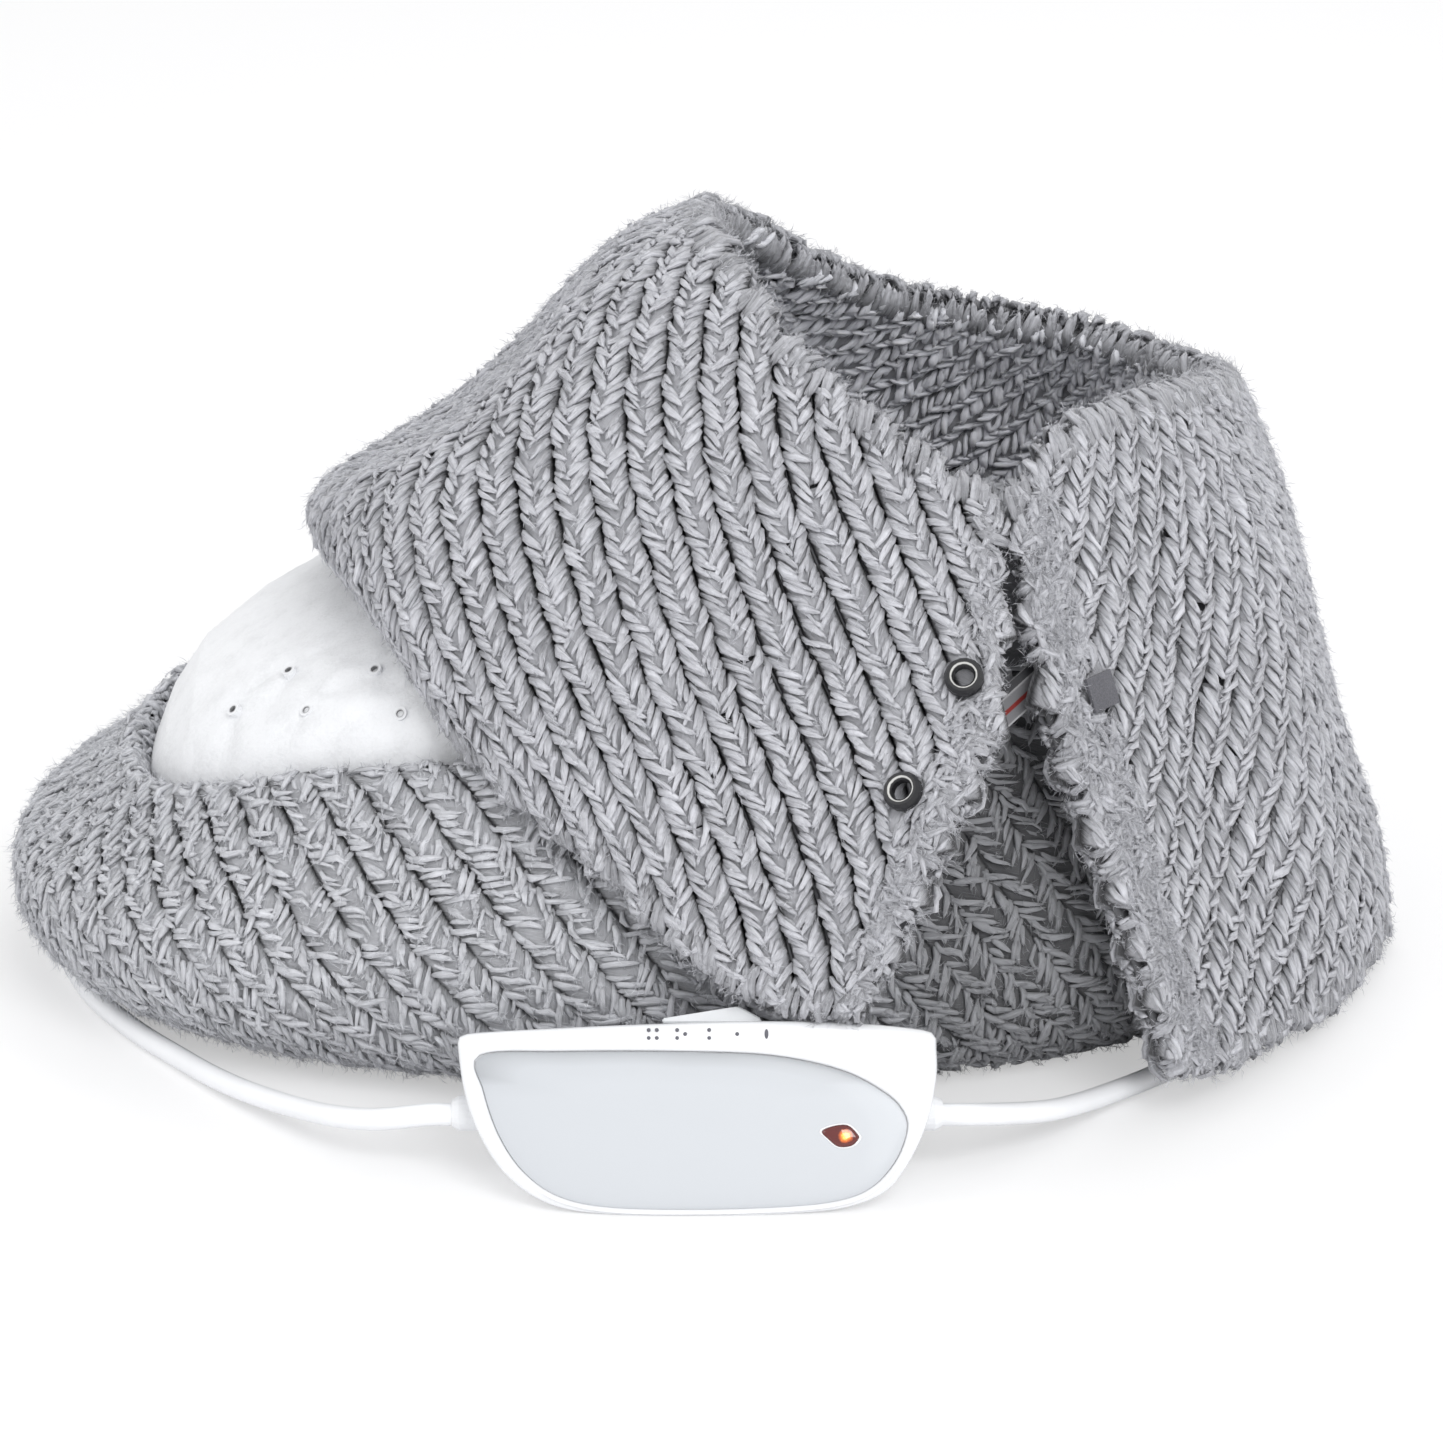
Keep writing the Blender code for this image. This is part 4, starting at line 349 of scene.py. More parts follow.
class Finish(Nodes):
    """A node material: constants go on the shader's own sockets, patterns are fed to it."""

    def __init__(self, name, colour, roughness, **constants):
        self.material = bpy.data.materials.new(name)
        self.material.use_nodes = True
        super().__init__(self.material.node_tree)
        self.colour = tuple(colour)
        self.shader = self.tree.nodes["Principled BSDF"]
        self.shader.inputs["Base Color"].default_value = (*colour, 1)
        self.shader.inputs["Roughness"].default_value = roughness
        for key, value in constants.items():
            self.shader.inputs[key.replace("_", " ").title().replace("Ior", "IOR")].default_value = value

    def feed(self, name, value):
        self.tree.links.new(value.socket, self.shader.inputs[name])

    def tint(self, level, *stops):
        """Base colour that follows a level, by stops of (level, share of the plain colour)."""
        self.feed("Base Color", self.ramp(level, *((at, shade(self.colour, share)) for at, share in stops)))

    def bump(self, height, strength, distance):
        inputs = {"Height": height, "Strength": strength, "Distance": distance}
        self.feed("Normal", self.node("ShaderNodeBump", None, inputs))
        return self.material


def shade(colour, factor):
    return tuple(min(1.0, part * factor) for part in colour)


def knit_finish(name, colour, depth=1.0):
    """Combed yarn: fine fibres along each tuft, painted shade in the grooves, painted highlight on the
    crests, tufts a little unlike.
    """
    made = Finish(name, colour, 0.92, sheen_weight=0.2, sheen_roughness=0.5, specular_ior_level=0.12)
    strand = made.node("ShaderNodeUVMap", {"uv_map": "strand"})
    tone, lift = made.attribute("tone"), made.attribute("lift")
    along, around = (made.node("ShaderNodeSeparateXYZ", None, {0: strand}, output=axis) for axis in (0, 1))
    spot = made.node("ShaderNodeCombineXYZ", None, {0: along * 1.1, 1: around * 8.0, 2: tone * 60.0})
    fibres = made.noise(1.0, 4.0, spot, roughness=0.75)
    speckle = made.noise(900.0, 2.0)
    level = lift * 0.70 + (fibres - 0.5) * 1.0 + (tone - 0.5) * 0.30 + (speckle - 0.5) * 0.20
    # Painted shade and highlight from lift; depth sets how dark the painted groove shade goes
    made.tint(level, (0.04, 1 - 0.80 * depth), (0.30, 1 - 0.42 * depth), (0.60, 1.0), (0.95, 1.42))
    return made.bump(fibres, 0.8, 0.0005)


def core_finish(name, colour, reach):
    """Yarn at the bottom of the pile: the same combed strands, with painted shade in the grooves."""
    made = Finish(name, colour, 0.95, sheen_weight=0.15, specular_ior_level=0.1)
    side = made.node("ShaderNodeMath", {"operation": "ABSOLUTE"}, {0: made.attribute("side")})
    strand = made.attribute("run") * 1000.0 + side * (reach * 1000.0)
    rib = made.attribute("rib") * 7.0
    spot = made.node("ShaderNodeCombineXYZ", None, {0: strand * 2.4, 1: side * 1.5, 2: rib})
    fibres = made.noise(1.0, 4.0, spot, roughness=0.75)
    clumps = made.noise(260.0, 2.0)
    level = made.attribute("lift") * 0.7 + (fibres - 0.5) * 1.0 + (clumps - 0.5) * 0.3
    # Painted shade from lift, darkest at the core's sides in the grooves
    made.tint(level, (0.12, 0.22), (0.45, 0.75), (0.9, 1.15))
    return made.bump(fibres, 1.0, 0.0008)


def node_points(node):
    return np.array([vertex.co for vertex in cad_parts[node].data.vertices])


def main_axes(points):
    """Directions in which a cloud of points reaches furthest, the longest first."""
    return np.linalg.svd(points - points.mean(axis=0), full_matrices=False)[2]


def from_axis(made, node, which):
    """Distance, in centimetres, of the shaded point from one main axis of a round node."""
    points = node_points(node)
    middle = (points.max(axis=0) + points.min(axis=0)) / 2
    away = made.vector("SUBTRACT", made.place(), tuple(middle))
    around = made.vector("CROSS_PRODUCT", away, tuple(main_axes(points)[which]))
    return made.vector("LENGTH", around, output="Value") * 100.0


def socket_finish(node):
    """Black press-stud socket with one bright worn ring."""
    made = Finish(node + "_black", (0.02, 0.02, 0.022), 0.35, specular_ior_level=0.4)
    wear = made.noise(900.0, 3.0)
    far = from_axis(made, node, 2) + (wear - 0.5) * 0.02
    dark, bright = (0.018, 0.018, 0.02), (0.62, 0.62, 0.60)
    made.feed("Base Color", made.ramp(far, (0.285, dark), (0.295, bright), (0.320, bright), (0.335, dark)))
    made.feed("Roughness", wear * 0.2 + 0.3)
    return made.material


def eyelet_finish(node, colour):
    """White moulded eyelet, with painted shade down its hole."""
    made = Finish(node + "_white", colour, 0.6, specular_ior_level=0.3)
    grain = made.noise(900.0, 3.0)
    far = from_axis(made, node, 0) + (grain - 0.5) * 0.03
    # Painted shade: near black down the hole, a little darker towards its edge
    stops = (0.075, (0.03, 0.03, 0.03)), (0.115, shade(colour, 0.85)), (0.16, colour)
    made.feed("Base Color", made.ramp(far, *stops))
    return made.bump(grain, 0.3, 0.0002)


def label_finish():
    """Satin label: a dark strip behind, a grey strip with pale edges and one maroon line."""
    made = Finish("label_satin", (0.2, 0.2, 0.21), 0.5, sheen_weight=0.2, specular_ior_level=0.4)
    points = node_points("care_label")
    axes = main_axes(points)
    down, along = axes[1] * -np.sign(axes[1][2]), axes[0] * np.sign(axes[0][0])
    away = made.vector("SUBTRACT", made.place(), tuple(points.mean(axis=0)))
    fall, run = (made.vector("DOT_PRODUCT", away, tuple(way), "Value") for way in (down, along))
    threads = made.noise(2600.0, 2.0)
    level = fall * 100.0 + 0.5 + (threads - 0.5) * 0.02
    dark, grey = (0.05, 0.05, 0.055), (0.17, 0.17, 0.18)
    pale, maroon = (0.38, 0.38, 0.39), (0.20, 0.015, 0.012)
    black, white = (0, 0, 0), (1, 1, 1)
    plain = made.ramp(level, (0.28, dark), (0.30, pale), (0.35, grey), (0.85, grey), (0.87, pale))
    lined = made.ramp(level, (0.54, grey), (0.56, maroon), (0.64, maroon), (0.66, grey))
    ends = made.ramp(run * 100.0 + 0.9, (0.12, black), (0.14, white), (1.0, white))
    band = made.ramp(level, (0.52, black), (0.53, white), (0.67, white), (0.68, black))
    inputs = {0: ends * band, 6: plain, 7: lined}
    made.feed("Base Color", made.node("ShaderNodeMix", {"data_type": "RGBA"}, inputs, output=2))
    return made.bump(threads, 0.3, 0.0002)


def fuzz_finish(name, colour):
    made = Finish(name, colour, 0.9, sheen_weight=0.2, specular_ior_level=0.12)
    tone, lift = made.attribute("tone"), made.attribute("lift")
    # Painted shade and highlight from the tufts' lift, darker at roots and in grooves
    made.tint(lift * 0.55 + tone * 0.45, (0.1, 0.4), (0.5, 1.0), (0.9, 1.45))
    return made.material


def cloth_finish(name, colour, scale=900.0):
    """Plain backing cloth: fine threads crossing, a little uneven."""
    made = Finish(name, colour, 0.9, sheen_weight=0.15, specular_ior_level=0.2)
    threads, patches = made.noise(scale, 2.0), made.noise(60.0, 2.0)
    made.tint(threads * 0.6 + patches * 0.4, (0.3, 0.7), (0.7, 1.2))
    return made.bump(threads, 0.5, 0.0004)


def fleece_finish(name, colour):
    """Short white pile: soft clumps, fine nap and slight shade in the dips."""
    made = Finish(name, colour, 0.93, sheen_weight=0.3, sheen_roughness=0.5, specular_ior_level=0.15)
    nap, clumps = made.noise(900.0, 4.0, roughness=0.7), made.noise(110.0, 3.0)
    made.tint(nap * 0.45 + clumps * 0.55, (0.25, 0.86), (0.5, 1.0), (0.75, 1.06))
    return made.bump(nap * 0.5 + clumps * 0.5, 0.55, 0.0009)


def moulded_finish(name, colour, roughness, **constants):
    """Moulded plastic or rubber: faint grain and smears that vary its gloss."""
    made = Finish(name, colour, roughness, **constants)
    smear, grain = made.noise(45.0, 3.0), made.noise(1500.0, 2.0)
    made.feed("Roughness", (smear - 0.5) * 0.12 + (grain - 0.5) * 0.06 + roughness)
    made.tint(smear, (0.3, 0.97), (0.7, 1.02))
    return made.bump(grain, 0.25, 0.00003)


def panel_finish(colour):
    """Satin face panel, with painted shade under its upper edge."""
    made = Finish("panel_satin", colour, 0.42, coat_weight=0.1)
    smear, grain = made.noise(45.0, 3.0), made.noise(1500.0, 2.0)
    # Painted shade from the rim attribute, darkest under the upper edge
    made.tint(made.attribute("rim") + (smear - 0.5) * 0.1, (0.55, 1.0), (0.8, 0.96), (1.0, 0.72))
    made.feed("Roughness", (smear - 0.5) * 0.1 + 0.42)
    return made.bump(grain, 0.25, 0.00003)


def metal_finish(name, colour, roughness):
    made = Finish(name, colour, roughness, metallic=1.0)
    wear = made.noise(700.0, 4.0)
    made.feed("Roughness", (wear - 0.5) * 0.3 + roughness)
    made.tint(wear, (0.35, 0.8), (0.65, 1.15))
    return made.bump(wear, 0.2, 0.00003)


# Mesh making


def link(name, data):
    made = bpy.data.objects.new(name, data)
    bpy.context.scene.collection.objects.link(made)
    return made


def give(piece, material):
    piece.data.materials.clear()
    piece.data.materials.append(material)
    return piece


def paint(piece, name, values):
    layer = piece.data.attributes.new(name, "FLOAT", "POINT")
    layer.data.foreach_set("value", np.asarray(values, np.float32))


def dress(piece, slot, *nodes, body="boot"):
    """Seats a piece on its body, in place of those nodes; its slot is not used."""
    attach(piece, body)
    if nodes:
        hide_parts(*nodes)
    return piece


def turn_outwards(piece, merge=False):
    """All faces look outwards, after points in one place are made one where asked."""
    mesh = bmesh.new()
    mesh.from_mesh(piece.data)
    if merge:
        bmesh.ops.remove_doubles(mesh, verts=mesh.verts, dist=1e-5)
    bmesh.ops.recalc_face_normals(mesh, faces=mesh.faces)
    mesh.to_mesh(piece.data)
    mesh.free()
    piece.data.shade_smooth()
    return piece


def mesh_piece(name, points, faces, material, shift=BOOT_PLACE):
    """A closed smooth piece from faces and points, which are moved by shift."""
    mesh = bpy.data.meshes.new(name)
    mesh.from_pydata(np.asarray(points, float) + shift, [], faces)
    mesh.validate()
    return give(turn_outwards(link(name, mesh)), material)


def fast_mesh(name, points, fours, threes, corners, material):
    """A smooth piece from big arrays of points and faces."""
    mesh = bpy.data.meshes.new(name)
    index = np.concatenate([fours.ravel(), threes.ravel()]).astype(np.int32)
    starts = np.concatenate([np.arange(len(fours)) * 4, len(fours) * 4 + np.arange(len(threes)) * 3])
    mesh.vertices.add(len(points))
    mesh.vertices.foreach_set("co", (points + BOOT_PLACE).astype(np.float32).ravel())
    mesh.loops.add(len(index))
    mesh.loops.foreach_set("vertex_index", index)
    mesh.polygons.add(len(starts))
    mesh.polygons.foreach_set("loop_start", starts.astype(np.int32))
    if corners is not None:
        mesh.uv_layers.new(name="strand").data.foreach_set("uv", corners.astype(np.float32).ravel())
    mesh.update(calc_edges=True)
    mesh.shade_smooth()
    return give(link(name, mesh), material)


def copy_of_node(node, name, material):
    """A merged copy of a node's mesh as a new piece."""
    return give(turn_outwards(link(name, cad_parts[node].data.copy()), merge=True), material)


def grid_faces(index):
    """Fours between neighbours in a grid of point numbers."""
    return np.stack([index[:-1, :-1], index[:-1, 1:], index[1:, 1:], index[1:, :-1]], axis=-1).reshape(-1, 4)


def slab(name, outer, inner, material, wraps=False):
    """A closed sheet between two grids of points; with wraps, its first axis runs round."""
    rows, columns = outer.shape[:2]
    half = rows * columns
    index = np.arange(half).reshape(rows, columns)
    if wraps:
        index = np.vstack([index, index[:1]])
        rims = [index[:, 0], index[::-1, -1]]
    else:
        rims = [np.concatenate([index[:, 0], index[-1, 1:], index[-2::-1, -1], index[0, -2::-1]])]
    fours = grid_faces(index)
    faces = fours.tolist() + (fours[:, ::-1] + half).tolist()
    for rim in rims:
        faces += np.stack([rim[:-1], rim[1:], half + rim[1:], half + rim[:-1]], axis=-1).tolist()
    return mesh_piece(name, np.concatenate([outer.reshape(-1, 3), inner.reshape(-1, 3)]), faces, material)


def unit(vectors):
    size = np.linalg.norm(vectors, axis=-1, keepdims=True)
    return vectors / np.maximum(size, 1e-12)


def spline(a, b, c, d, t):
    """Catmull-Rom from b to c."""
    return 0.5 * (2 * b + (c - a) * t + (2 * a - 5 * b + 4 * c - d) * t**2 + (3 * b - a - 3 * c + d) * t**3)


def smooth_curve(points, steps, closed=False):
    """A smooth line through points, with that many steps from each to the next."""
    given = np.asarray(points, float)
    ends = (given[-1:], given[:2]) if closed else (2 * given[:1] - given[1:2], 2 * given[-1:] - given[-2:-1])
    whole = np.vstack([ends[0], given, ends[1]])[:, None]
    t = (np.arange(steps) / steps)[:, None]
    made = spline(whole[:-3], whole[1:-2], whole[2:-1], whole[3:], t).reshape(-1, given.shape[1])
    return made if closed else np.vstack([made, given[-1:]])


def curve_at(rows, where):
    """A smooth line through the first axis of rows, at places counted in rows."""
    where = np.asarray(where, float)
    i = np.clip(where.astype(int), 0, len(rows) - 2)
    t = (where - i).reshape(where.shape + (1,) * (rows.ndim - 1))
    whole = np.concatenate([2 * rows[:1] - rows[1:2], rows, 2 * rows[-1:] - rows[-2:-1]])
    return spline(whole[i], whole[i + 1], whole[i + 2], whole[i + 3], t)


def run_of(line):
    """How far along a line each of its points is."""
    return np.concatenate([[0], np.cumsum(np.linalg.norm(np.diff(line, axis=0), axis=1))])


def sample(run, values, at):
    """Values known at the distances in run, read at other distances."""
    return np.stack([np.interp(at, run, values[:, k]) for k in range(values.shape[1])], axis=1)


# Surfaces that carry the knit


class Skin:
    """A surface on an even grid of (first, second) places, with its normals."""

    def __init__(self, points, first, second, turn=1.0, wraps=False):
        self.points, self.first, self.second, self.wraps = points, first, second, wraps
        self.across = np.gradient(points, second, axis=1)
        if wraps:
            around = np.roll(points, -1, axis=0) - np.roll(points, 1, axis=0)
            self.ahead = around / (2 * (first[1] - first[0]))
        else:
            self.ahead = np.gradient(points, first, axis=0)
        self.normals = unit(np.cross(self.across, self.ahead)) * turn

    def at(self, field, a, b):
        """Value of a grid field at places (a, b), between the grid's points."""
        i = (np.asarray(a, float) - self.first[0]) / (self.first[1] - self.first[0])
        j = (np.asarray(b, float) - self.second[0]) / (self.second[1] - self.second[0])
        j = np.clip(j, 0, len(self.second) - 1.0001)
        if not self.wraps:
            i = np.clip(i, 0, len(self.first) - 1.0001)
        i0, j0 = np.floor(i).astype(int), np.floor(j).astype(int)
        u, v = (i - i0)[..., None], (j - j0)[..., None]
        i0, i1 = i0 % len(self.first), (i0 + 1) % len(self.first)
        values = field if field.ndim == 3 else field[..., None]
        near = values[i0, j0] * (1 - u) + values[i1, j0] * u
        far = values[i0, j0 + 1] * (1 - u) + values[i1, j0 + 1] * u
        found = near * (1 - v) + far * v
        return found if field.ndim == 3 else found[..., 0]

    def moved(self, amount):
        """The surface's points moved along its normals."""
        return self.points + self.normals * amount

    def slope(self, grow_a, grow_b):
        """The way a field grows fastest on the surface, from how it grows along the grid."""
        aa, bb = (self.ahead**2).sum(-1), (self.across**2).sum(-1)
        ab = (self.ahead * self.across).sum(-1)
        spot = aa * bb - ab * ab
        share_a, share_b = (grow_a * bb - grow_b * ab) / spot, (grow_b * aa - grow_a * ab) / spot
        return share_a[..., None] * self.ahead + share_b[..., None] * self.across


def collar_skin():
    """The collar's outside, from station to station and from hem to mouth."""
    columns = []
    for row in COLLAR_PERCENTS:
        line = np.reshape(row, (-1, 3)) / 100 * COLLAR_SIZE
        if len(line) == 2:
            line = line[0] + np.linspace(0, 1, 6)[:, None] * (line[1] - line[0])
        columns.append(line)
    first, second = np.linspace(0, LAST_STATION, 381), np.linspace(0, 1, 61)
    levels = curve_at(np.swapaxes(np.array(columns), 0, 1), second * 5)
    return Skin(curve_at(np.swapaxes(levels, 0, 1), first), first, second)


def gap_of(slope, pitch):
    """Distance from rib to rib, held to what the knit can stretch to."""
    return np.clip(1 / np.maximum(np.linalg.norm(slope, axis=-1), 1e-6), 0.6 * pitch, 1.7 * pitch)


def rib_field(skin, pitch):
    """A field over the collar that grows by one from rib to rib, ribs leaning as the tables say.

    Its least-squares fit to the wanted slope is found by conjugate gradients.
    """
    first, second = skin.first, skin.second
    at_hem = np.interp(first, RIB_LEAN_STATIONS, RIB_LEAN_HEM)
    at_mouth = np.interp(first, RIB_LEAN_STATIONS, RIB_LEAN_MOUTH)
    lean = np.radians(at_hem[:, None] * (1 - second) + at_mouth[:, None] * second)
    down = -unit(skin.across)
    along = unit(skin.ahead - down * (skin.ahead * down).sum(-1, keepdims=True))
    wanted = unit(-np.sin(lean)[..., None] * down + np.cos(lean)[..., None] * along)
    step_a, step_b = np.diff(skin.points, axis=0), np.diff(skin.points, axis=1)
    size_a, size_b = np.linalg.norm(step_a, axis=-1), np.linalg.norm(step_b, axis=-1)
    weight_a = np.repeat(size_b.mean(axis=1, keepdims=True), len(second), 1)[:-1] / size_a
    weight_b = np.repeat(size_a.mean(axis=0, keepdims=True), len(first), 0)[:, :-1] / size_b

    def gathered(rise_a, rise_b):
        """What flows into each point of the grid from the steps beside it."""
        made = np.zeros(skin.points.shape[:2])
        made[1:] += rise_a * weight_a
        made[:-1] -= rise_a * weight_a
        made[:, 1:] += rise_b * weight_b
        made[:, :-1] -= rise_b * weight_b
        return made

    field, way = np.zeros(skin.points.shape[:2]), wanted
    for _ in range(3):
        slope = way / pitch
        rise_a = ((slope[1:] + slope[:-1]) / 2 * step_a).sum(-1)
        rise_b = ((slope[:, 1:] + slope[:, :-1]) / 2 * step_b).sum(-1)
        target = gathered(rise_a, rise_b)
        left = target - gathered(np.diff(field, axis=0), np.diff(field, axis=1))
        push = left.copy()
        size = (left * left).sum()
        for _ in range(700):
            moved = gathered(np.diff(push, axis=0), np.diff(push, axis=1))
            share = size / (push * moved).sum()
            field = field + share * push
            left = left - share * moved
            fresh = (left * left).sum()
            if fresh < 1e-10 * (target * target).sum():
                break
            push = left + fresh / size * push
            size = fresh
        slope = skin.slope(np.gradient(field, first, axis=0), np.gradient(field, second, axis=1))
        way = unit(0.5 * wanted + 0.5 * unit(slope))
    return field, gap_of(slope, pitch)


def level_lines(field, level):
    """Polylines, in grid places, along which the field has that level."""
    above = field > level
    mixed = above[:-1, :-1].astype(int) + above[1:, :-1] + above[:-1, 1:] + above[1:, 1:]
    links = {}
    for i, j in np.argwhere((mixed > 0) & (mixed < 4)):
        # An edge is (i, j, 0) towards the next i, or (i, j, 1) towards the next j
        sides = (
            ((i, j, 0), (i, j), (i + 1, j)), ((i + 1, j, 1), (i + 1, j), (i + 1, j + 1)),
            ((i, j + 1, 0), (i, j + 1), (i + 1, j + 1)), ((i, j, 1), (i, j), (i, j + 1)),
        )
        crossed = [edge for edge, p, q in sides if above[p] != above[q]]
        for a, b in zip(crossed[::2], crossed[1::2]):
            links.setdefault(a, []).append(b)
            links.setdefault(b, []).append(a)
    lines, left = [], set(links)
    for start in sorted(links, key=lambda edge: (len(links[edge]), edge)):
        chain, ways = [], [start] if start in left else []
        while ways:
            chain.append(ways[0])
            left.discard(ways[0])
            ways = [edge for edge in links[ways[0]] if edge in left]
        line = []
        for i, j, kind in chain:
            p, q = (i, j), (i + 1 - kind, j + kind)
            share = (level - field[p]) / (field[q] - field[p])
            line.append((i + share * (1 - kind), j + share * kind))
        if line:
            lines.append(np.array(line))
    return lines


# Tufts and fuzz


def tuft_faces():
    """Faces of one tuft, fours and threes, with each corner's place along and round the strand."""
    fours, threes = [], []
    rings = len(TUFT_RADIUS_SHARES)
    last, step = 1 + rings * TUFT_SIDES, (rings - 1) * TUFT_SIDES
    near, far = TUFT_STEPS[1], TUFT_STEPS[-2]
    for side in range(TUFT_SIDES):
        here, there = side / TUFT_SIDES, (side + 1) / TUFT_SIDES
        for ring in range(rings - 1):
            a = 1 + ring * TUFT_SIDES + side
            b = 1 + ring * TUFT_SIDES + (side + 1) % TUFT_SIDES
            low, high = TUFT_STEPS[ring + 1], TUFT_STEPS[ring + 2]
            corners = ((low, here), (low, there), (high, there), (high, here))
            fours.append(((a, b, b + TUFT_SIDES, a + TUFT_SIDES), corners))
        a, b = 1 + side, 1 + (side + 1) % TUFT_SIDES
        threes.append(((0, b, a), ((0.0, here), (near, there), (near, here))))
        threes.append(((last, a + step, b + step), ((1.0, here), (far, here), (far, there))))
    return [tuple(np.array(part) for part in zip(*kind)) for kind in (fours, threes)]


class Tufts:
    """Many tufts: their paths, the way out of the rib along them, thickness, lift (painted shade and
    highlight), tone and place.
    """

    NAMES = ("path", "out", "radius", "lift", "tone", "place")

    def __init__(self, *arrays):
        for name, array in zip(self.NAMES, arrays):
            setattr(self, name, array)

    def __len__(self):
        return len(self.path)

    def pick(self, chosen):
        return Tufts(*(getattr(self, name)[chosen] for name in self.NAMES))

    @classmethod
    def join(cls, several):
        several = [tufts for tufts in several if tufts is not None and len(tufts)]
        return cls(*(np.concatenate([getattr(tufts, name) for tufts in several]) for name in cls.NAMES))


def weave_of(knit, spacing=1.0, width=1.0, mess=0.0, depth=1.0):
    """Sizes of the tufts of one kind of rib, and how far they are out of comb."""
    return {
        "spacing": knit.tuft_pitch * spacing, "reach": knit.tuft_length * (1 - 0.25 * mess),
        "radius": knit.tuft_width / 2 * width, "depth": knit.rib_depth * depth, "stitch": 0.0062,
        "sway": 0.017, "tip_lift": 0.00035, "mess": mess,
    }


def downhill(line, *others):
    """A line and what goes along it, turned round if it climbs."""
    step = -1 if line[-1, 2] > line[0, 2] else 1
    return [values[::step] for values in (line, *others)]


def rib_tufts(line, normals, gap, place, random, weave):
    """Tufts of one rib, combed from both its grooves down to its crest."""
    line, normals, gap, place = downhill(line, normals, gap, place)
    run, spacing, mess = run_of(line), weave["spacing"], weave["mess"]
    if run[-1] < spacing:
        return None
    at = np.arange(random.uniform(0, 1) * spacing, run[-1], spacing)
    tangent = unit(np.gradient(line, run, axis=0))
    count, phase, shade_drift = len(at), random.uniform(0, 6.28), random.uniform(0, 6.28)
    made = []
    for sign in (-1, 1):
        start = at + random.normal(0, spacing * 0.25, count)
        reach = weave["reach"] * np.clip(random.normal(1, 0.17, count), 0.6, 1.45)
        # Places across the rib, from 1 in its groove to 0 on its crest
        root = random.uniform(0.94 - 0.45 * mess, 1.08 + 0.06 * mess, (count, 1))
        tip = random.normal(0.03, 0.10 + 0.30 * mess, (count, 1))
        share = root + (tip - root) * TUFT_STEPS
        spot = start[:, None] + reach[:, None] * (TUFT_STEPS - 0.5)
        flat = np.clip(spot, 0, run[-1]).ravel()
        base = sample(run, line, flat).reshape(count, -1, 3)
        normal = unit(sample(run, normals, flat)).reshape(count, -1, 3)
        ahead = unit(sample(run, tangent, flat)).reshape(count, -1, 3)
        half = np.interp(flat, run, gap).reshape(count, -1) / 2
        sway = 0.10 * np.sin(2 * math.pi * spot / weave["sway"] + phase)
        side = unit(np.cross(normal, ahead))
        profile = np.sqrt(np.clip(1 - share**2, 0, 1))
        stitch = 1 + 0.09 * np.sin(2 * math.pi * spot / weave["stitch"] + phase)
        jitter = random.normal(0, 0.00026 + 0.00025 * mess, (count, 1))
        height = weave["depth"] * (profile * stitch - 1) + jitter + weave["tip_lift"] * TUFT_STEPS**3
        path = base + side * ((sign * share + sway) * half)[..., None] + normal * height[..., None]
        rise = (0.15 + profile * half / weave["depth"])[..., None] / half[..., None]
        out = unit(side * (sign * share / half)[..., None] + normal * rise)
        bow = random.normal(0, 0.00035 + 0.0009 * mess, (count, 1))
        bend = side * (np.sin(math.pi * TUFT_STEPS) * bow)[..., None]
        tone = 0.5 + 0.08 * np.sin(at * 90 + shade_drift) + random.normal(0, 0.13, count)
        radius = weave["radius"] * np.clip(random.normal(1, 0.16, count), 0.6, 1.5)
        # Lift is painted shade, darkest in the grooves and palest on the crest
        made.append(Tufts(path + bend, out, radius, 0.15 + 0.85 * profile, tone, sample(run, place, at)))
    return Tufts.join(made)


def rib_core(line, normals, gap, weave):
    """Rings of the solid yarn under one rib's tufts."""
    line, normals, gap = downhill(line, normals, gap)
    run = run_of(line)
    if run[-1] < 2 * CORE_STEP:
        return None
    at = np.linspace(0, run[-1], max(3, round(run[-1] / CORE_STEP)))
    normal = unit(sample(run, normals, at))
    ahead = unit(sample(run, np.gradient(line, run, axis=0), at))
    side = unit(np.cross(normal, ahead))
    half = np.interp(at, run, gap)[:, None] / 2
    height = weave["depth"] * (CORE_LIFT - 1) - weave["radius"] * CORE_SINK_SHARE
    across = side[:, None] * (half * CORE_SHARES)[..., None]
    return sample(run, line, at)[:, None] + across + normal[:, None] * height[None, :, None]


def build_cores(name, cores, material, light=None):
    """One piece of closed prisms, one under each rib; light, where given, paints shade on some of its yarn.
    """
    fours, threes, start, size = [], [], 0, len(CORE_SHARES)
    for rings in cores:
        index = start + np.arange(len(rings) * size).reshape(-1, size)
        fours.append(grid_faces(np.hstack([index, index[:, :1]])))
        last = index[-1, 0]
        for k in range(1, size - 1):
            threes += [(start, start + k + 1, start + k), (last, last + k, last + k + 1)]
        start += index.size
    points = np.concatenate([rings.reshape(-1, 3) for rings in cores])
    points[:, 2] = np.maximum(points[:, 2], YARN_FLOOR)
    made = turn_outwards(fast_mesh(name, points, np.concatenate(fours), np.array(threes), None, material))
    # Painted shade across each core: darker towards its sides, in the grooves
    lift = np.tile(CORE_LIFT, len(points) // size)
    paint(made, "lift", lift * light(points) if light else lift)
    paint(made, "side", np.tile(CORE_SHARES, len(points) // size))
    paint(made, "run", np.concatenate([np.repeat(run_of(rings.mean(axis=1)), size) for rings in cores]))
    numbers = [np.full(len(rings) * size, number) for number, rings in enumerate(cores)]
    paint(made, "rib", np.concatenate(numbers))
    return made


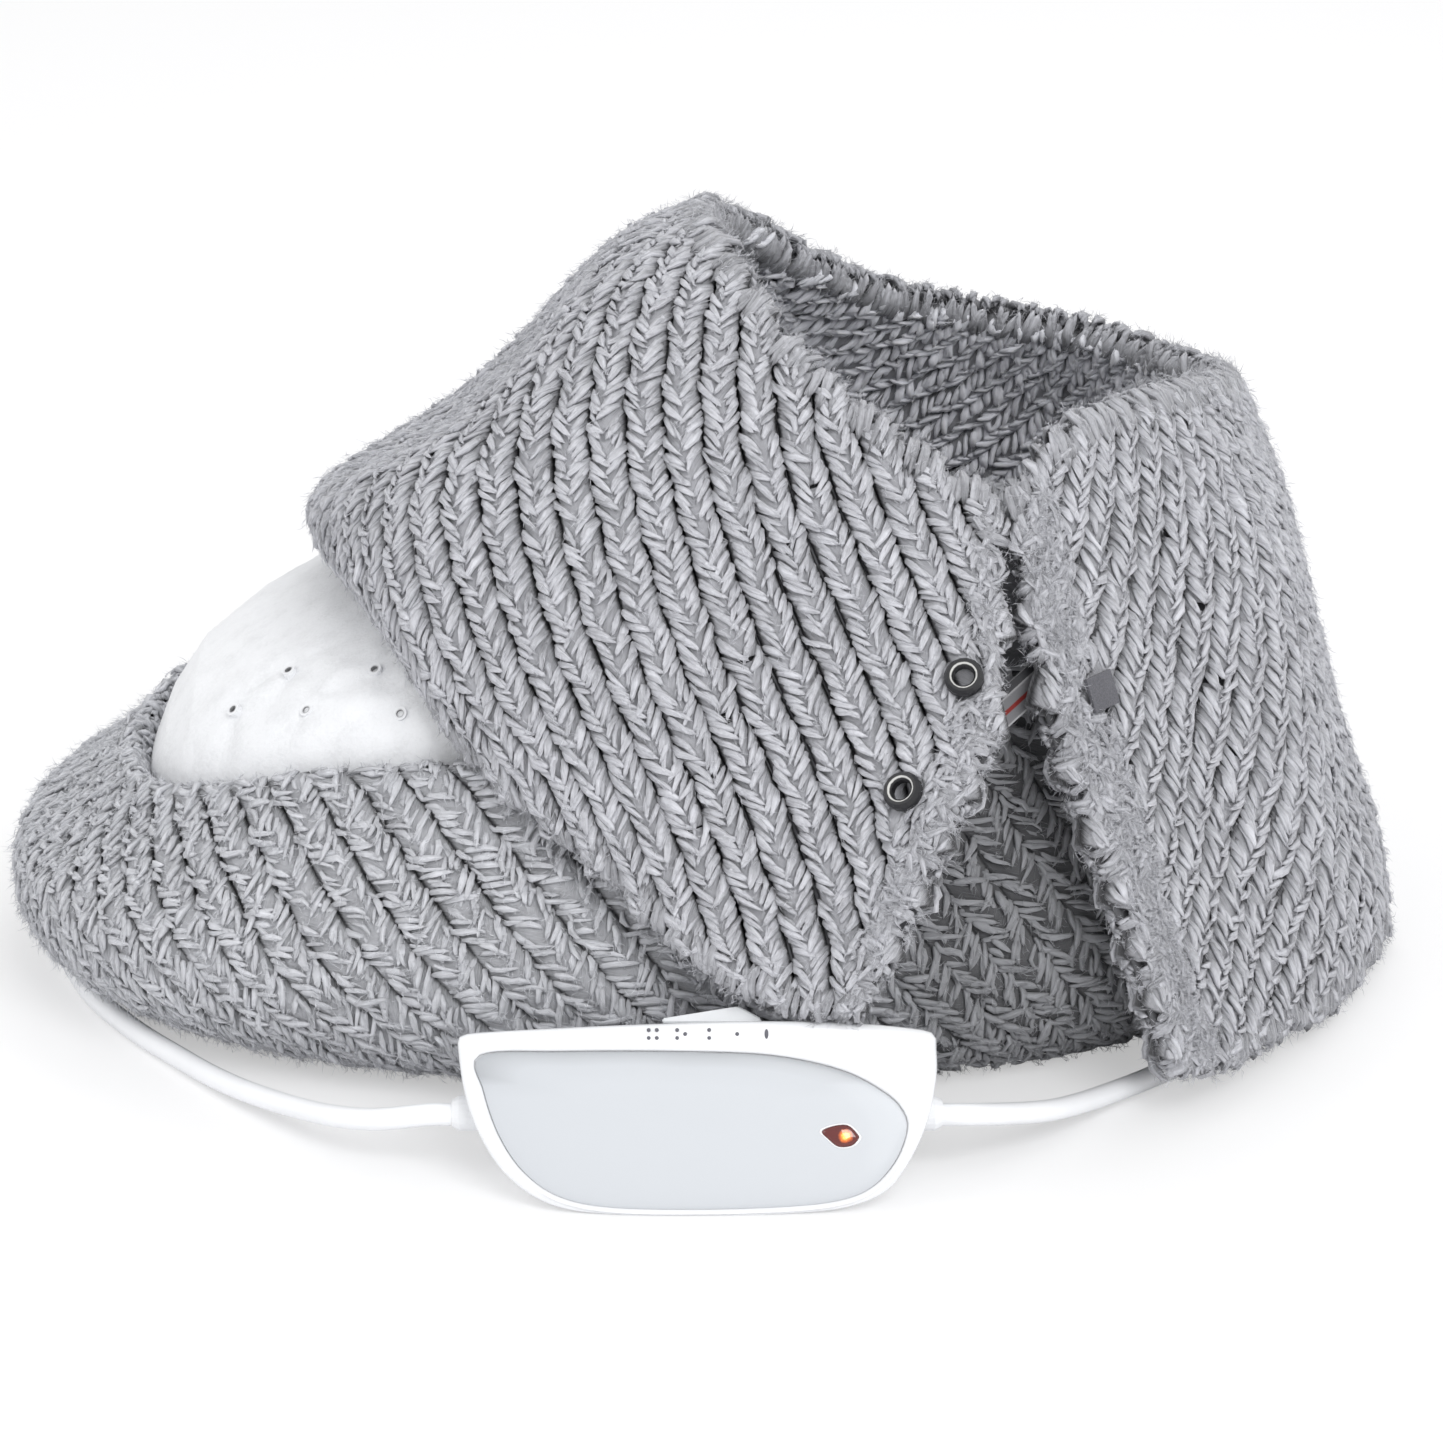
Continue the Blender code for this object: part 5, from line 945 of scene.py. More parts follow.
def free_tufts(root, middle, tip, out, radius, tone, place, lift):
    """Tufts through three points each."""
    t = TUFT_STEPS[None, :, None]
    path = root[:, None] * (1 - t) ** 2 + 2 * middle[:, None] * t * (1 - t) + tip[:, None] * t**2
    # Painted shade, darker towards the root
    lifts = np.full(path.shape[:2], lift) * (0.55 + 0.45 * TUFT_STEPS)
    return Tufts(path, np.repeat(out[:, None], len(TUFT_STEPS), 1), radius, lifts, tone, place)


def build_tufts(name, tufts, random, material):
    """One piece that holds all these tufts."""
    way = unit(np.gradient(tufts.path, axis=1))
    side = unit(np.cross(tufts.out, way))
    up = np.cross(way, side)
    turn = 2 * math.pi * (np.arange(TUFT_SIDES) + 0.5) / TUFT_SIDES
    count, rings = len(tufts), slice(1, -1)
    uneven = random.uniform(0.85, 1.15, (count, len(TUFT_RADIUS_SHARES)))
    thick = tufts.radius[:, None] * TUFT_RADIUS_SHARES * uneven
    wide, high = np.cos(turn)[:, None], (np.sin(turn) * TUFT_FLATNESS_SHARE)[:, None]
    across = side[:, rings, None] * wide + up[:, rings, None] * high
    wall = tufts.path[:, rings, None] + across * thick[..., None, None]
    points = np.concatenate([tufts.path[:, :1], wall.reshape(count, -1, 3), tufts.path[:, -1:]], axis=1)
    size = points.shape[1]
    points = points.reshape(-1, 3)
    points[:, 2] = np.maximum(points[:, 2], YARN_FLOOR)
    kinds = tuft_faces()
    offsets = (np.arange(count) * size)[:, None, None]
    fours, threes = ((offsets + faces).reshape(-1, faces.shape[1]) for faces, _ in kinds)
    corners = np.concatenate([np.tile(places.reshape(-1, 2), (count, 1)) for _, places in kinds])
    made = fast_mesh(name, points, fours, threes, corners, material)
    # Painted shade: the underside of a tuft is darker than its top, its root end darker still
    lift = tufts.lift[:, rings, None] * (0.72 + 0.28 * np.sin(turn))
    ends = (tufts.lift[:, :1] * 0.6, lift.reshape(count, -1), tufts.lift[:, -1:])
    paint(made, "lift", np.concatenate(ends, axis=1).ravel())
    paint(made, "tone", np.repeat(np.clip(tufts.tone, 0, 1), size))
    return made


def build_fuzz(name, tufts, random, count, length, material, spread=0.36, lean=0.22):
    """Fine curved fibres combed along the tufts and standing off them a little."""
    chosen = random.integers(0, len(tufts), count)
    along = random.uniform(0.12, 0.97, count)
    step = np.searchsorted(TUFT_STEPS, along) - 1
    share = ((along - TUFT_STEPS[step]) / (TUFT_STEPS[step + 1] - TUFT_STEPS[step]))[:, None]
    here, there = tufts.path[chosen, step], tufts.path[chosen, step + 1]
    out, way = tufts.out[chosen, step], unit(there - here)
    turn = random.uniform(-1.1, 1.1, (count, 1))
    away = unit(out * np.cos(turn) + np.cross(out, way) * np.sin(turn))
    root = here + (there - here) * share + away * tufts.radius[chosen, None] * 0.6
    reach = length * random.uniform(0.4, 1.3, (count, 1))
    stray = away * random.uniform(0.05, 2 * lean, (count, 1))
    start = unit(way + stray + random.normal(0, spread * 0.7, (count, 3)))
    end = unit(start + random.normal(0, spread, (count, 3)) - away * 0.2)
    middle = root + start * reach / 2
    around = unit(np.cross(start, away + 0.01))
    other = np.cross(start, around)
    thick = FIBRE_THICKNESS / 2 * random.uniform(0.7, 1.4, (count, 1))
    turns = 2 * math.pi * np.arange(3) / 3
    ring = [middle + (around * math.cos(angle) + other * math.sin(angle)) * thick for angle in turns]
    points = np.stack([root, *ring, middle + end * reach / 2], axis=1).reshape(-1, 3)
    points[:, 2] = np.maximum(points[:, 2], YARN_FLOOR)
    faces = ((2, 1, 0), (3, 2, 0), (1, 3, 0), (1, 2, 4), (2, 3, 4), (3, 1, 4))
    triangles = (np.arange(count)[:, None, None] * 5 + np.array(faces)).reshape(-1, 3)
    made = fast_mesh(name, points, np.zeros((0, 4), int), triangles, None, material)
    paint(made, "tone", np.repeat(np.clip(random.normal(0.5, 0.20, count), 0, 1), 5))
    # Painted shade, darker at each fibre's root
    paint(made, "lift", (tufts.lift[chosen, step, None] * np.array((0.7, 0.9, 0.9, 0.9, 1.0))).ravel())
    return made


# Knit of the collar


def collar_ribs(skin, field, gap, inside, seed, weave):
    """Tufts of all ribs of one face of the collar, each with its place on the collar."""
    random = np.random.default_rng(seed)
    surface = skin.moved(SKIN_SINK - COLLAR_THICKNESS if inside else -SKIN_SINK)
    made, cores = [], []
    for level in np.arange(math.ceil(field.min()) - 1, math.floor(field.max()) + 1):
        for line in level_lines(field, level + 0.5):
            if len(line) < 4:
                continue
            a = np.interp(line[:, 0], np.arange(len(skin.first)), skin.first)
            b = np.interp(line[:, 1], np.arange(len(skin.second)), skin.second)
            points, normals = skin.at(surface, a, b), skin.at(skin.normals, a, b) * (-1 if inside else 1)
            keep = np.concatenate([[True], np.linalg.norm(np.diff(points, axis=0), axis=1) > 1e-5])
            place, wide = np.stack([a, b], axis=1)[keep], skin.at(gap, a, b)[keep]
            points, normals = points[keep], normals[keep]
            made.append(rib_tufts(points, normals, wide, place, random, weave))
            for low, high in zip(PART_STATIONS, PART_STATIONS[1:]):
                held = np.flatnonzero((place[:, 0] >= low) & (place[:, 0] < high))
                for stretch in np.split(held, np.flatnonzero(np.diff(held) > 1) + 1):
                    if len(stretch) > 3:
                        cores.append((low, rib_core(points[stretch], normals[stretch], wide[stretch], weave)))
    return Tufts.join(made), [(low, rings) for low, rings in cores if rings is not None]


def edge_tufts(skin, field, a, b, out_field, sign, random, spacing, mess=1.0, lip_share=1.0):
    """Tufts that close one edge of the collar, from its outside and its inside up to its lip."""
    outer, normals = skin.at(skin.points, a, b), skin.at(skin.normals, a, b)
    out, phase = skin.at(out_field, a, b) * sign, skin.at(field, a, b)
    run = run_of(outer)
    at = np.arange(spacing / 2, run[-1], spacing)
    at = np.clip(at + random.normal(0, spacing * 0.3, len(at)), 0, run[-1])
    spot, normal, lip = sample(run, outer, at), unit(sample(run, normals, at)), unit(sample(run, out, at))
    lip = unit(lip - normal * (lip * normal).sum(-1, keepdims=True))
    along = np.cross(lip, normal)
    place = np.stack([np.interp(at, run, a), np.interp(at, run, b)], axis=1)
    share = 2 * (np.interp(at, run, phase) % 1.0) - 1
    crest = np.sqrt(np.clip(1 - share**2, 0, 1))[:, None]
    count, half = len(at), COLLAR_THICKNESS / 2
    middle = spot - normal * half
    made = []
    for side in (normal, -normal):
        slant = along * random.normal(0, 0.0016 * mess, (count, 1))
        root = middle + side * (half * (0.55 + 0.35 * crest))
        root = root - lip * random.uniform(0.0045, 0.0075, (count, 1))
        bend = middle + side * (half * (0.80 + 0.35 * crest))
        bend = bend + lip * (0.0030 * crest - 0.0006) * lip_share + slant * 0.5
        tip = middle - side * random.uniform(-0.0005, 0.0014, (count, 1))
        tip = tip + lip * (0.0034 * crest - 0.0010) * lip_share + slant
        tip = tip + random.normal(0, 0.0005 * mess, (count, 3))
        tone = 0.52 + random.normal(0, 0.18, count)
        radius = EDGE_RADIUS * np.clip(random.normal(1, 0.15, count), 0.6, 1.4)
        made.append(free_tufts(root, bend, tip, unit(side + lip), radius, tone, place, 0.85))
    return Tufts.join(made)


def loose_tufts(skin, low, high, count, random):
    """Loops that have worked free and curl every way, on a strip of the collar's outside."""
    a, b = random.uniform(low, high, count), random.uniform(0.0, 0.98, count)
    spot, normal = skin.at(skin.points, a, b), unit(skin.at(skin.normals, a, b))
    up, turn = unit(skin.at(skin.across, a, b)), random.uniform(0, 2 * math.pi, (count, 1))
    way = unit(np.cos(turn) * up + np.sin(turn) * np.cross(normal, up) * 0.6 - 0.35 * up)
    curl = np.cross(normal, way) * random.normal(0, 0.0028, (count, 1))
    reach = random.uniform(0.0055, 0.0110, (count, 1))
    root = spot - way * reach * 0.5 - normal * 0.0022
    middle = spot + curl + normal * random.uniform(0.0, 0.0022, (count, 1))
    tip = spot + way * reach * 0.5 - normal * random.uniform(0.0002, 0.0016, (count, 1))
    radius = LOOSE_RADIUS * np.clip(random.normal(1, 0.18, count), 0.6, 1.5)
    tone = 0.6 + random.normal(0, 0.18, count)
    return free_tufts(root, middle, tip, normal, radius, tone, np.stack([a, b], axis=1), 0.95)


def collar_edges(skin, field, seed):
    """Tufts of the hem, the mouth and both edges of the slit, with the loose loops beside the slit."""
    random = np.random.default_rng(seed)
    fine_a, fine_b = np.linspace(0, LAST_STATION, 900), np.linspace(0, 1, 140)
    up, ahead = unit(skin.across), unit(skin.ahead)
    found = []
    for level, sign, lobes in ((0.0, -1, 1.0), (1.0, 1, 1.9)):
        edge = np.full_like(fine_a, level)
        found.append(edge_tufts(skin, field, fine_a, edge, up, sign, random, HEM_SPACING, lip_share=lobes))
    for station, sign in ((0.0, -1), (float(LAST_STATION), 1)):
        edge = np.full_like(fine_b, station)
        step = SLIT_SPACING
        tufts = edge_tufts(skin, field, edge, fine_b, ahead, sign, random, step, mess=1.3, lip_share=0.1)
        found.append(tufts)
    for low, high, count in LOOSE_STRIPS:
        found.append(loose_tufts(skin, low, high, count, random))
    return Tufts.join(found)


def clear_of_spots(tufts, spots, radius):
    """Leaves out tufts that come nearer than that to any of the spots."""
    keep = np.ones(len(tufts), bool)
    for spot in spots:
        keep &= np.linalg.norm(tufts.path - spot, axis=-1).min(axis=1) > radius
    return tufts.pick(keep)


def clear_of_label(tufts):
    """Leaves out tufts that would hang over the care label."""
    middle = np.mean(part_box("care_label"), axis=0) - BOOT_PLACE
    spots = []
    # Places along the label, each with steps out of the slit
    for along in (-0.5, -0.1, 0.3):
        for ahead in (0.0, 0.004, 0.008, 0.011):
            spots.append(middle + LABEL_WAY * LABEL_LENGTH * along + np.array((0, -ahead, ahead * 0.3)))
    return clear_of_spots(tufts, spots, LABEL_CLEARANCE)


def clear_of_knob(tufts):
    """Leaves out tufts in the way of the slider's knob, wherever it stands."""
    room = np.array((KNOB_TRAVEL, 0.0, 0.0)) + KNOB_CLEARANCE
    low, high = (np.array(corner) - BOOT_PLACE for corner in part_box("slider_knob"))
    held = (tufts.path > low - room) & (tufts.path < high + room)
    return tufts.pick(~held.all(axis=-1).any(axis=1))


def clear_of_seats(tufts, skin, seats, inside):
    """Leaves out tufts over the press studs and the patch."""
    for (a, b), radius in seats:
        spot = skin.at(skin.moved(-COLLAR_THICKNESS if inside else 0.0), np.array([a]), np.array([b]))
        tufts = clear_of_spots(tufts, spot, radius)
    return tufts


def seat_on_body(piece, body, skin):
    """Rides on the boot; for a flap, its hinge line is worked out but not used, and the piece's place is
    baked into its points.
    """
    if body == "boot":
        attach(piece, "boot")
        return
    station, sign = (FRONT_HINGE, -1) if body == "front_panel" else (REAR_HINGE, 1)
    a = np.array([station - 0.2, station, station + 0.2])
    low, mid, high = skin.at(skin.points, a, np.full(3, 0.5))
    hem, mouth = skin.at(skin.points, np.full(2, float(station)), np.array([0.0, 1.0]))
    line = unit(mouth - hem)
    way = (high - low) * sign
    way = unit(way - line * (way @ line)) * HINGE_HALF_BEND
    spot = mid - skin.at(skin.normals, a[1:2], np.array([0.5]))[0] * COLLAR_THICKNESS / 2 + BOOT_PLACE
    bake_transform(piece)


def make_collar_cloth(skin, name, low, high, material):
    """The cloth between the two faces of the knit, with its width and length along its outside."""
    high = min(high, LAST_STATION)
    a, b = np.linspace(low, high, int((high - low) * 10) + 2), np.linspace(0.008, 0.992, 44)
    places = np.meshgrid(a, b, indexing="ij")
    outer = skin.at(skin.moved(-CLOTH_DEPTH), *places)
    inner = skin.at(skin.moved(CLOTH_DEPTH - COLLAR_THICKNESS), *places)
    width = float(run_of(outer[:, len(b) // 2])[-1])
    length = float(np.mean([run_of(column)[-1] for column in outer]))
    return slab(name + "_cloth", outer, inner, material), (round(width, 3), round(length, 3))


class FOOTWARMER_OT_collar(bpy.types.Operator):
    """Knit the collar and its two flaps"""

    bl_idname = "foot_warmer.collar"
    bl_label = "Collar"

    def execute(self, context):
        knit = context.scene.foot_warmer_knit
        skin = collar_skin()
        field, gap = rib_field(skin, knit.rib_pitch)
        outer, outer_cores = collar_ribs(skin, field, gap, False, 21, weave_of(knit, mess=0.22))
        sparse = weave_of(knit, spacing=1.4, width=1.15, mess=0.4)
        inner, inner_cores = collar_ribs(skin, field, gap, True, 22, sparse)
        edges = collar_edges(skin, field, 23)
        outer = clear_of_knob(clear_of_seats(outer, skin, (*SOCKET_SEATS, PATCH_SEAT), False))
        edges = clear_of_knob(clear_of_seats(edges, skin, (*SOCKET_SEATS, PATCH_SEAT), False))
        inner = clear_of_knob(clear_of_seats(inner, skin, POST_SEATS, True))
        fixed = (inner.place[:, 0] > PART_STATIONS[1]) & (inner.place[:, 0] < PART_STATIONS[3])
        inner = clear_of_label(inner.pick(~fixed | (inner.place[:, 1] > HIDDEN_HEM_SHARE)))
        edges = clear_of_label(edges)
        colour = tuple(knit.collar_colour)
        plain = knit_finish("collar_yarn", colour), fuzz_finish("collar_fuzz", colour)
        # The inside of the fixed collar is only seen from above; its yarn is painted paler, with less painted
        # groove shade, as painted light in the dim cavity
        pale = shade(colour, 1.75)
        painted_light_inside = knit_finish("collar_yarn_inside", pale, depth=0.35), fuzz_finish("collar_fuzz_inside", pale)
        # The backing cloth is painted dark, as painted shade deep between the ribs
        shade_dark_backing = cloth_finish("collar_cloth_finish", shade(colour, 0.25))
        solid = core_finish("collar_core_finish", colour, knit.tuft_length)
        kinds = (
            ("outside", outer, 1.0, {}),
            ("inside", inner, 0.5, {}),
            ("edge", edges, 3.4, {"spread": 0.85, "lean": 0.3}),
        )
        for number, (name, low, high, body) in enumerate(COLLAR_PARTS):
            random = np.random.default_rng(30 + number)
            cloth, flat = make_collar_cloth(skin, name, low, high, shade_dark_backing)
            cores = [rings for low_station, rings in outer_cores + inner_cores if low_station == low]
            made = [build_cores(f"{name}_knit_core", cores, solid)]
            for side, tufts, share, manner in kinds:
                chosen = tufts.pick((tufts.place[:, 0] >= low) & (tufts.place[:, 0] < high))
                count = int(len(chosen) * knit.fuzz_per_tuft * share)
                yarn, hair = painted_light_inside if side == "inside" and body == "boot" else plain
                manner = {"spread": 0.36, "lean": 0.13, **manner}
                made.append(build_tufts(f"{name}_knit_{side}", chosen, random, yarn))
                fuzz = f"{name}_fuzz_{side}"
                made.append(build_fuzz(fuzz, chosen, random, count, knit.fuzz_length, hair, **manner))
            for piece in (*made, cloth):
                seat_on_body(piece, body, skin)
            if name != "collar_heel":
                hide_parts("collar" if body == "boot" else name)
        return {"FINISHED"}


# Knit round the sole


def foot_points(angle, reach):
    """Points round the foot's outline, that far outside it."""
    power, steep = 2 / FOOT_SQUARENESS, FOOT_SQUARENESS - 1
    c, s = np.cos(angle), np.sin(angle)
    unit_x, unit_y = np.sign(c) * np.abs(c) ** power, np.sign(s) * np.abs(s) ** power
    nx = np.sign(c) * np.abs(unit_x) ** steep / FOOT_HALF_LENGTH
    ny = np.sign(s) * np.abs(unit_y) ** steep / FOOT_HALF_WIDTH
    size = np.hypot(nx, ny)
    x, y = unit_x * FOOT_HALF_LENGTH + nx / size * reach, unit_y * FOOT_HALF_WIDTH + ny / size * reach
    return np.stack([x, y], axis=-1)


def share_at(angles):
    """Places along the boot, from -1 at the toe to 1 at the heel."""
    return foot_points(angles, 0)[:, 0] / FOOT_HALF_LENGTH


def rim_at(share):
    """How far outside the foot the rim reaches, and how high."""
    rise = np.interp(share, *zip(*RIM_RISE_SHARES))
    reach = TOE_RIM_REACH * np.interp(share, *zip(*RIM_REACH_SHARES))
    return reach, TOE_RIM_HEIGHT + (HEEL_RIM_HEIGHT - TOE_RIM_HEIGHT) * rise


def even_angles(count):
    """Angles round the foot that stand at even distances along the roll."""
    fine = np.linspace(0, 2 * math.pi, 2401)
    run = run_of(foot_points(fine, np.interp(share_at(fine), (-1, 0, 1), ROLL_REACH)))
    return np.interp(np.arange(count) * run[-1] / count, run, fine), float(run[-1])


def base_skin():
    """The boot's wall from under the roll, over its outside and rim, down to the pocket."""
    angles, girth = even_angles(360)
    share = share_at(angles)
    reach, height = (np.interp(share, (-1, 0, 1), values) for values in (ROLL_REACH, ROLL_HEIGHT))
    rim_reach, rim_height = rim_at(share)
    half = WALL_THICKNESS / 2
    stops = [(WALL_FLAT_SHARE * reach, np.zeros_like(reach))]
    for turn in map(math.radians, ROLL_DEGREES):
        stops.append((reach * math.cos(turn), height * (1 + math.sin(turn))))
    rim_outer = (rim_reach, rim_height - half)
    stops += [((stops[-1][0] + rim_outer[0]) / 2, (stops[-1][1] + rim_outer[1]) / 2), rim_outer]
    stops += [(rim_reach - half, rim_height)]
    stops += [(rim_reach - WALL_THICKNESS, rim_height - drop) for drop in (half, WALL_THICKNESS)]
    line = np.array(stops)  # stops, (reach, height), angles
    second = np.linspace(0, 1, 61)
    runs = run_of(line.mean(-1))
    whole = curve_at(line, np.interp(second * runs[-1], runs, np.arange(len(runs))))
    grid = np.zeros((len(angles), len(second), 3))
    for j in range(len(second)):
        grid[:, j, :2] = foot_points(angles, whole[j, 0])
        grid[:, j, 2] = whole[j, 1]
    return Skin(grid, np.arange(len(angles)) / len(angles), second, turn=-1.0, wraps=True), girth


def base_lean(turn):
    """Lean of the boot's ribs, from the heel at turn 0 round by the toe."""
    share = 0.5 - 0.5 * np.cos(2 * math.pi * turn)
    return BASE_RIB_LEAN_HEEL + (BASE_RIB_LEAN_TOE - BASE_RIB_LEAN_HEEL) * share


def base_ribs(skin, girth, knit, seed, weave):
    """Ribs lean one way round the whole wall; each runs from the floor over the rim."""
    random = np.random.default_rng(seed)
    count = round(girth / knit.rib_pitch * math.cos((BASE_RIB_LEAN_HEEL + BASE_RIB_LEAN_TOE) / 2))
    second = np.linspace(0.02, 1, 110)
    surface = skin.moved(-SKIN_SINK)
    heights = run_of(skin.points[len(skin.first) * 5 // 8])
    rise = np.interp(second, skin.second, heights)
    leans = base_lean(np.arange(count) / count)
    shift = count * heights * np.tan(base_lean(skin.first))[:, None] / girth
    grown = [np.gradient(shift, places, axis=axis) for axis, places in enumerate((skin.first, skin.second))]
    slope = skin.slope(count + grown[0], grown[1])
    pace = gap_of(slope, knit.rib_pitch)
    made, cores = [], []
    for rib in range(count):
        first = (rib / count - rise * math.tan(leans[rib]) / girth) % 1.0
        points, normals = skin.at(surface, first, second), skin.at(skin.normals, first, second)
        place = np.stack([np.unwrap(first, period=1.0), second], axis=1)
        wide = skin.at(pace, first, second) * BASE_RIB_OVERLAP
        made.append(rib_tufts(points, normals, wide, place, random, weave))
        cores.append(rib_core(points, normals, wide, weave))
    tufts = Tufts.join(made)
    tufts.place[:, 0] %= 1.0
    return tufts, cores


def slit_painted_shade(spots):
    """How much of its lift the boot's yarn keeps, with painted shade behind the slit."""
    starts, full, fades, ends = SLIT_PAINTED_SHADE
    behind = np.clip((spots[..., 0] - starts) / (full - starts), 0, 1)
    beyond = np.clip((ends - spots[..., 0]) / (ends - fades), 0, 1)
    return 1 - SLIT_DARKNESS * behind * beyond * (spots[..., 1] < 0)


def under_collar(tufts):
    """Which tufts lie against the inside of the part of the collar that never folds away."""
    skin = collar_skin()
    columns = (skin.first > PART_STATIONS[1] + 0.6) & (skin.first < PART_STATIONS[3] - 0.6)
    levels = (skin.second > 0.16) & (skin.second < 0.95)
    cover = skin.moved(-COLLAR_THICKNESS)[columns][:, levels][::3, ::3].reshape(-1, 3)
    tree = KDTree(len(cover))
    for number, spot in enumerate(cover):
        tree.insert(spot, number)
    tree.balance()
    return np.array([tree.find(path[2])[2] < COVERED_REACH for path in tufts.path])


class FOOTWARMER_OT_base(bpy.types.Operator):
    """Knit the wall round the sole"""

    bl_idname = "foot_warmer.base"
    bl_label = "Boot wall"

    def execute(self, context):
        knit = context.scene.foot_warmer_knit
        colour = tuple(knit.base_colour)
        skin, girth = base_skin()
        weave = weave_of(knit, spacing=0.9, width=0.9, mess=0.7, depth=0.58)
        tufts, cores = base_ribs(skin, girth, knit, 11, weave)
        tufts = tufts.pick(~under_collar(tufts))
        # Painted shade on the yarn behind the slit, which the flaps keep out of the light
        tufts.lift = tufts.lift * slit_painted_shade(tufts.path)
        outer, inner = (skin.moved(-depth)[::2, 2::2].copy() for depth in BASE_CLOTH_DEPTHS)
        for layer, lowest in ((outer, YARN_FLOOR), (inner, YARN_FLOOR + 0.001)):
            layer[..., 2] = np.maximum(layer[..., 2], lowest)
        # The backing cloth is painted dark, as painted shade deep between the ribs
        shade_dark_backing = cloth_finish("base_cloth_finish", shade(colour, 0.3))
        cloth = dress(slab("base_cloth", outer, inner, shade_dark_backing, wraps=True), "base_knit", "base_wall")
        solid = core_finish("base_core_finish", colour, knit.tuft_length)
        # The cores behind the slit get the same painted shade
        dress(build_cores("base_knit_core", cores, solid, light=slit_painted_shade), "base_knit")
        yarn, loose = knit_finish("base_yarn", colour, depth=0.6), fuzz_finish("base_fuzz", colour)
        quarter = (tufts.place[:, 0] * 4).astype(int) % 4
        for number, (name, share) in enumerate(BASE_QUARTERS):
            chosen = tufts.pick(quarter == number)
            random = np.random.default_rng(12 + number)
            dress(build_tufts(f"base_knit_{name}", chosen, random, yarn), "base_knit")
            count = int(len(chosen) * knit.fuzz_per_tuft * share)
            length = knit.fuzz_length * 1.1
            fuzz = build_fuzz(f"base_fuzz_{name}", chosen, random, count, length, loose, spread=0.6)
            dress(fuzz, "base_knit")
        return {"FINISHED"}


# Fleece top and insole


def pocket_grid(count_along=120, count_across=88):
    """The outer skin of the pocket from toe to crest, near side to far side."""
    angles = math.pi - np.linspace(0.0, 1.0, count_along) * math.pi / 2
    rim_reach, rim_height = rim_at(share_at(angles))
    edge = foot_points(angles, rim_reach - WALL_THICKNESS - SEAT_GAP)
    base = rim_height - WALL_THICKNESS / 2
    rise = CREST_HEIGHT * np.interp(edge[:, 0] / FOOT_HALF_LENGTH, *zip(*CREST_SHARES)) - base
    turn = math.pi * (np.linspace(0, 1, count_across) - 0.5)
    power = 2 / POCKET_ROUNDNESS
    y = edge[:, 1, None] * np.sign(np.sin(turn)) * np.abs(np.sin(turn)) ** power
    z = base[:, None] + rise[:, None] * np.maximum(0, np.cos(turn)) ** power
    return np.stack([np.repeat(edge[:, 0, None], count_across, 1), y, z], axis=-1)


def fleece_lift(grid):
    """Dimples round the eyelets, soft random folds and nap."""
    random = np.random.default_rng(41)
    rows, columns = grid.shape[:2]
    lift = np.zeros((rows, columns))
    for number, node in enumerate(EYELETS, 1):
        low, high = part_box(node)
        spot = np.array((low + high) / 2) - BOOT_PLACE
        far = np.linalg.norm(grid - spot, axis=-1)
        way = np.arctan2(grid[..., 1] - spot[1], grid[..., 0] - spot[0])
        lift -= DIMPLE_DEPTH * np.exp(-((far / DIMPLE_RADIUS) ** 2))
        pucker = np.exp(-(((far - PUCKER_RADIUS) / PUCKER_WIDTH) ** 2))
        lift += PUCKER_HEIGHT * pucker * np.cos(way * 5 + number)
    for _ in range(FOLD_COUNT):
        spot = grid[random.integers(8, rows - 4), random.integers(8, columns - 8)]
        way = random.uniform(-0.5, 0.5)
        across = (grid[..., 0] - spot[0]) * -math.sin(way) + (grid[..., 1] - spot[1]) * math.cos(way)
        along = (grid[..., 0] - spot[0]) * math.cos(way) + (grid[..., 1] - spot[1]) * math.sin(way)
        fold = np.exp(-((across / FOLD_WIDTH) ** 2) - (along / FOLD_LENGTH) ** 2)
        lift += random.normal(0, FOLD_HEIGHT) * fold
    return lift + random.normal(0, 0.00006, lift.shape)


class FOOTWARMER_OT_fleece(bpy.types.Operator):
    """Make the white fleece top, its dimples and the insole"""

    bl_idname = "foot_warmer.fleece"
    bl_label = "Fleece"

    def execute(self, context):
        colour = tuple(context.scene.foot_warmer_trim.fleece_colour)
        grid = pocket_grid()
        normals = unit(np.cross(np.gradient(grid, axis=0), np.gradient(grid, axis=1)))
        normals[normals[..., 2] < 0] *= -1
        outer = grid + normals * fleece_lift(grid)[..., None]
        inner = grid - normals * POCKET_THICKNESS * POCKET_INSIDE_SHARE
        pocket = slab("pocket_fleece", outer, inner, fleece_finish("fleece_finish", colour))
        turn_outwards(pocket, merge=True)
        dress(pocket, "white_fleece", "pocket_top")
        insole = copy_of_node("insole", "insole_pad", fleece_finish("insole_finish", shade(colour, 0.97)))
        rounding = insole.modifiers.new("Subsurf", "SUBSURF")
        rounding.levels = rounding.render_levels = 1
        context.view_layer.objects.active = insole
        bpy.ops.object.modifier_apply(modifier=rounding.name)
        dress(insole, "white_fleece", "insole")
        return {"FINISHED"}


class FOOTWARMER_OT_sole(bpy.types.Operator):
    """Dress the sole cloth, foam and heater"""

    bl_idname = "foot_warmer.sole"
    bl_label = "Sole and heater"

    def execute(self, context):
        for node, name, slot, colour in (
            ("outer_sole", "sole_cloth", "sole_cloth", (0.20, 0.20, 0.21)),
            ("sole_foam", "foam_pad", "foam", (0.75, 0.75, 0.72)),
            ("heater_carrier", "carrier_felt", "carrier_cloth", (0.80, 0.78, 0.72)),
        ):
            piece = copy_of_node(node, name, cloth_finish(name + "_finish", colour))
            piece.data.set_sharp_from_angle(angle=math.radians(40))
            dress(piece, slot, node)
        return {"FINISHED"}


# Hand control


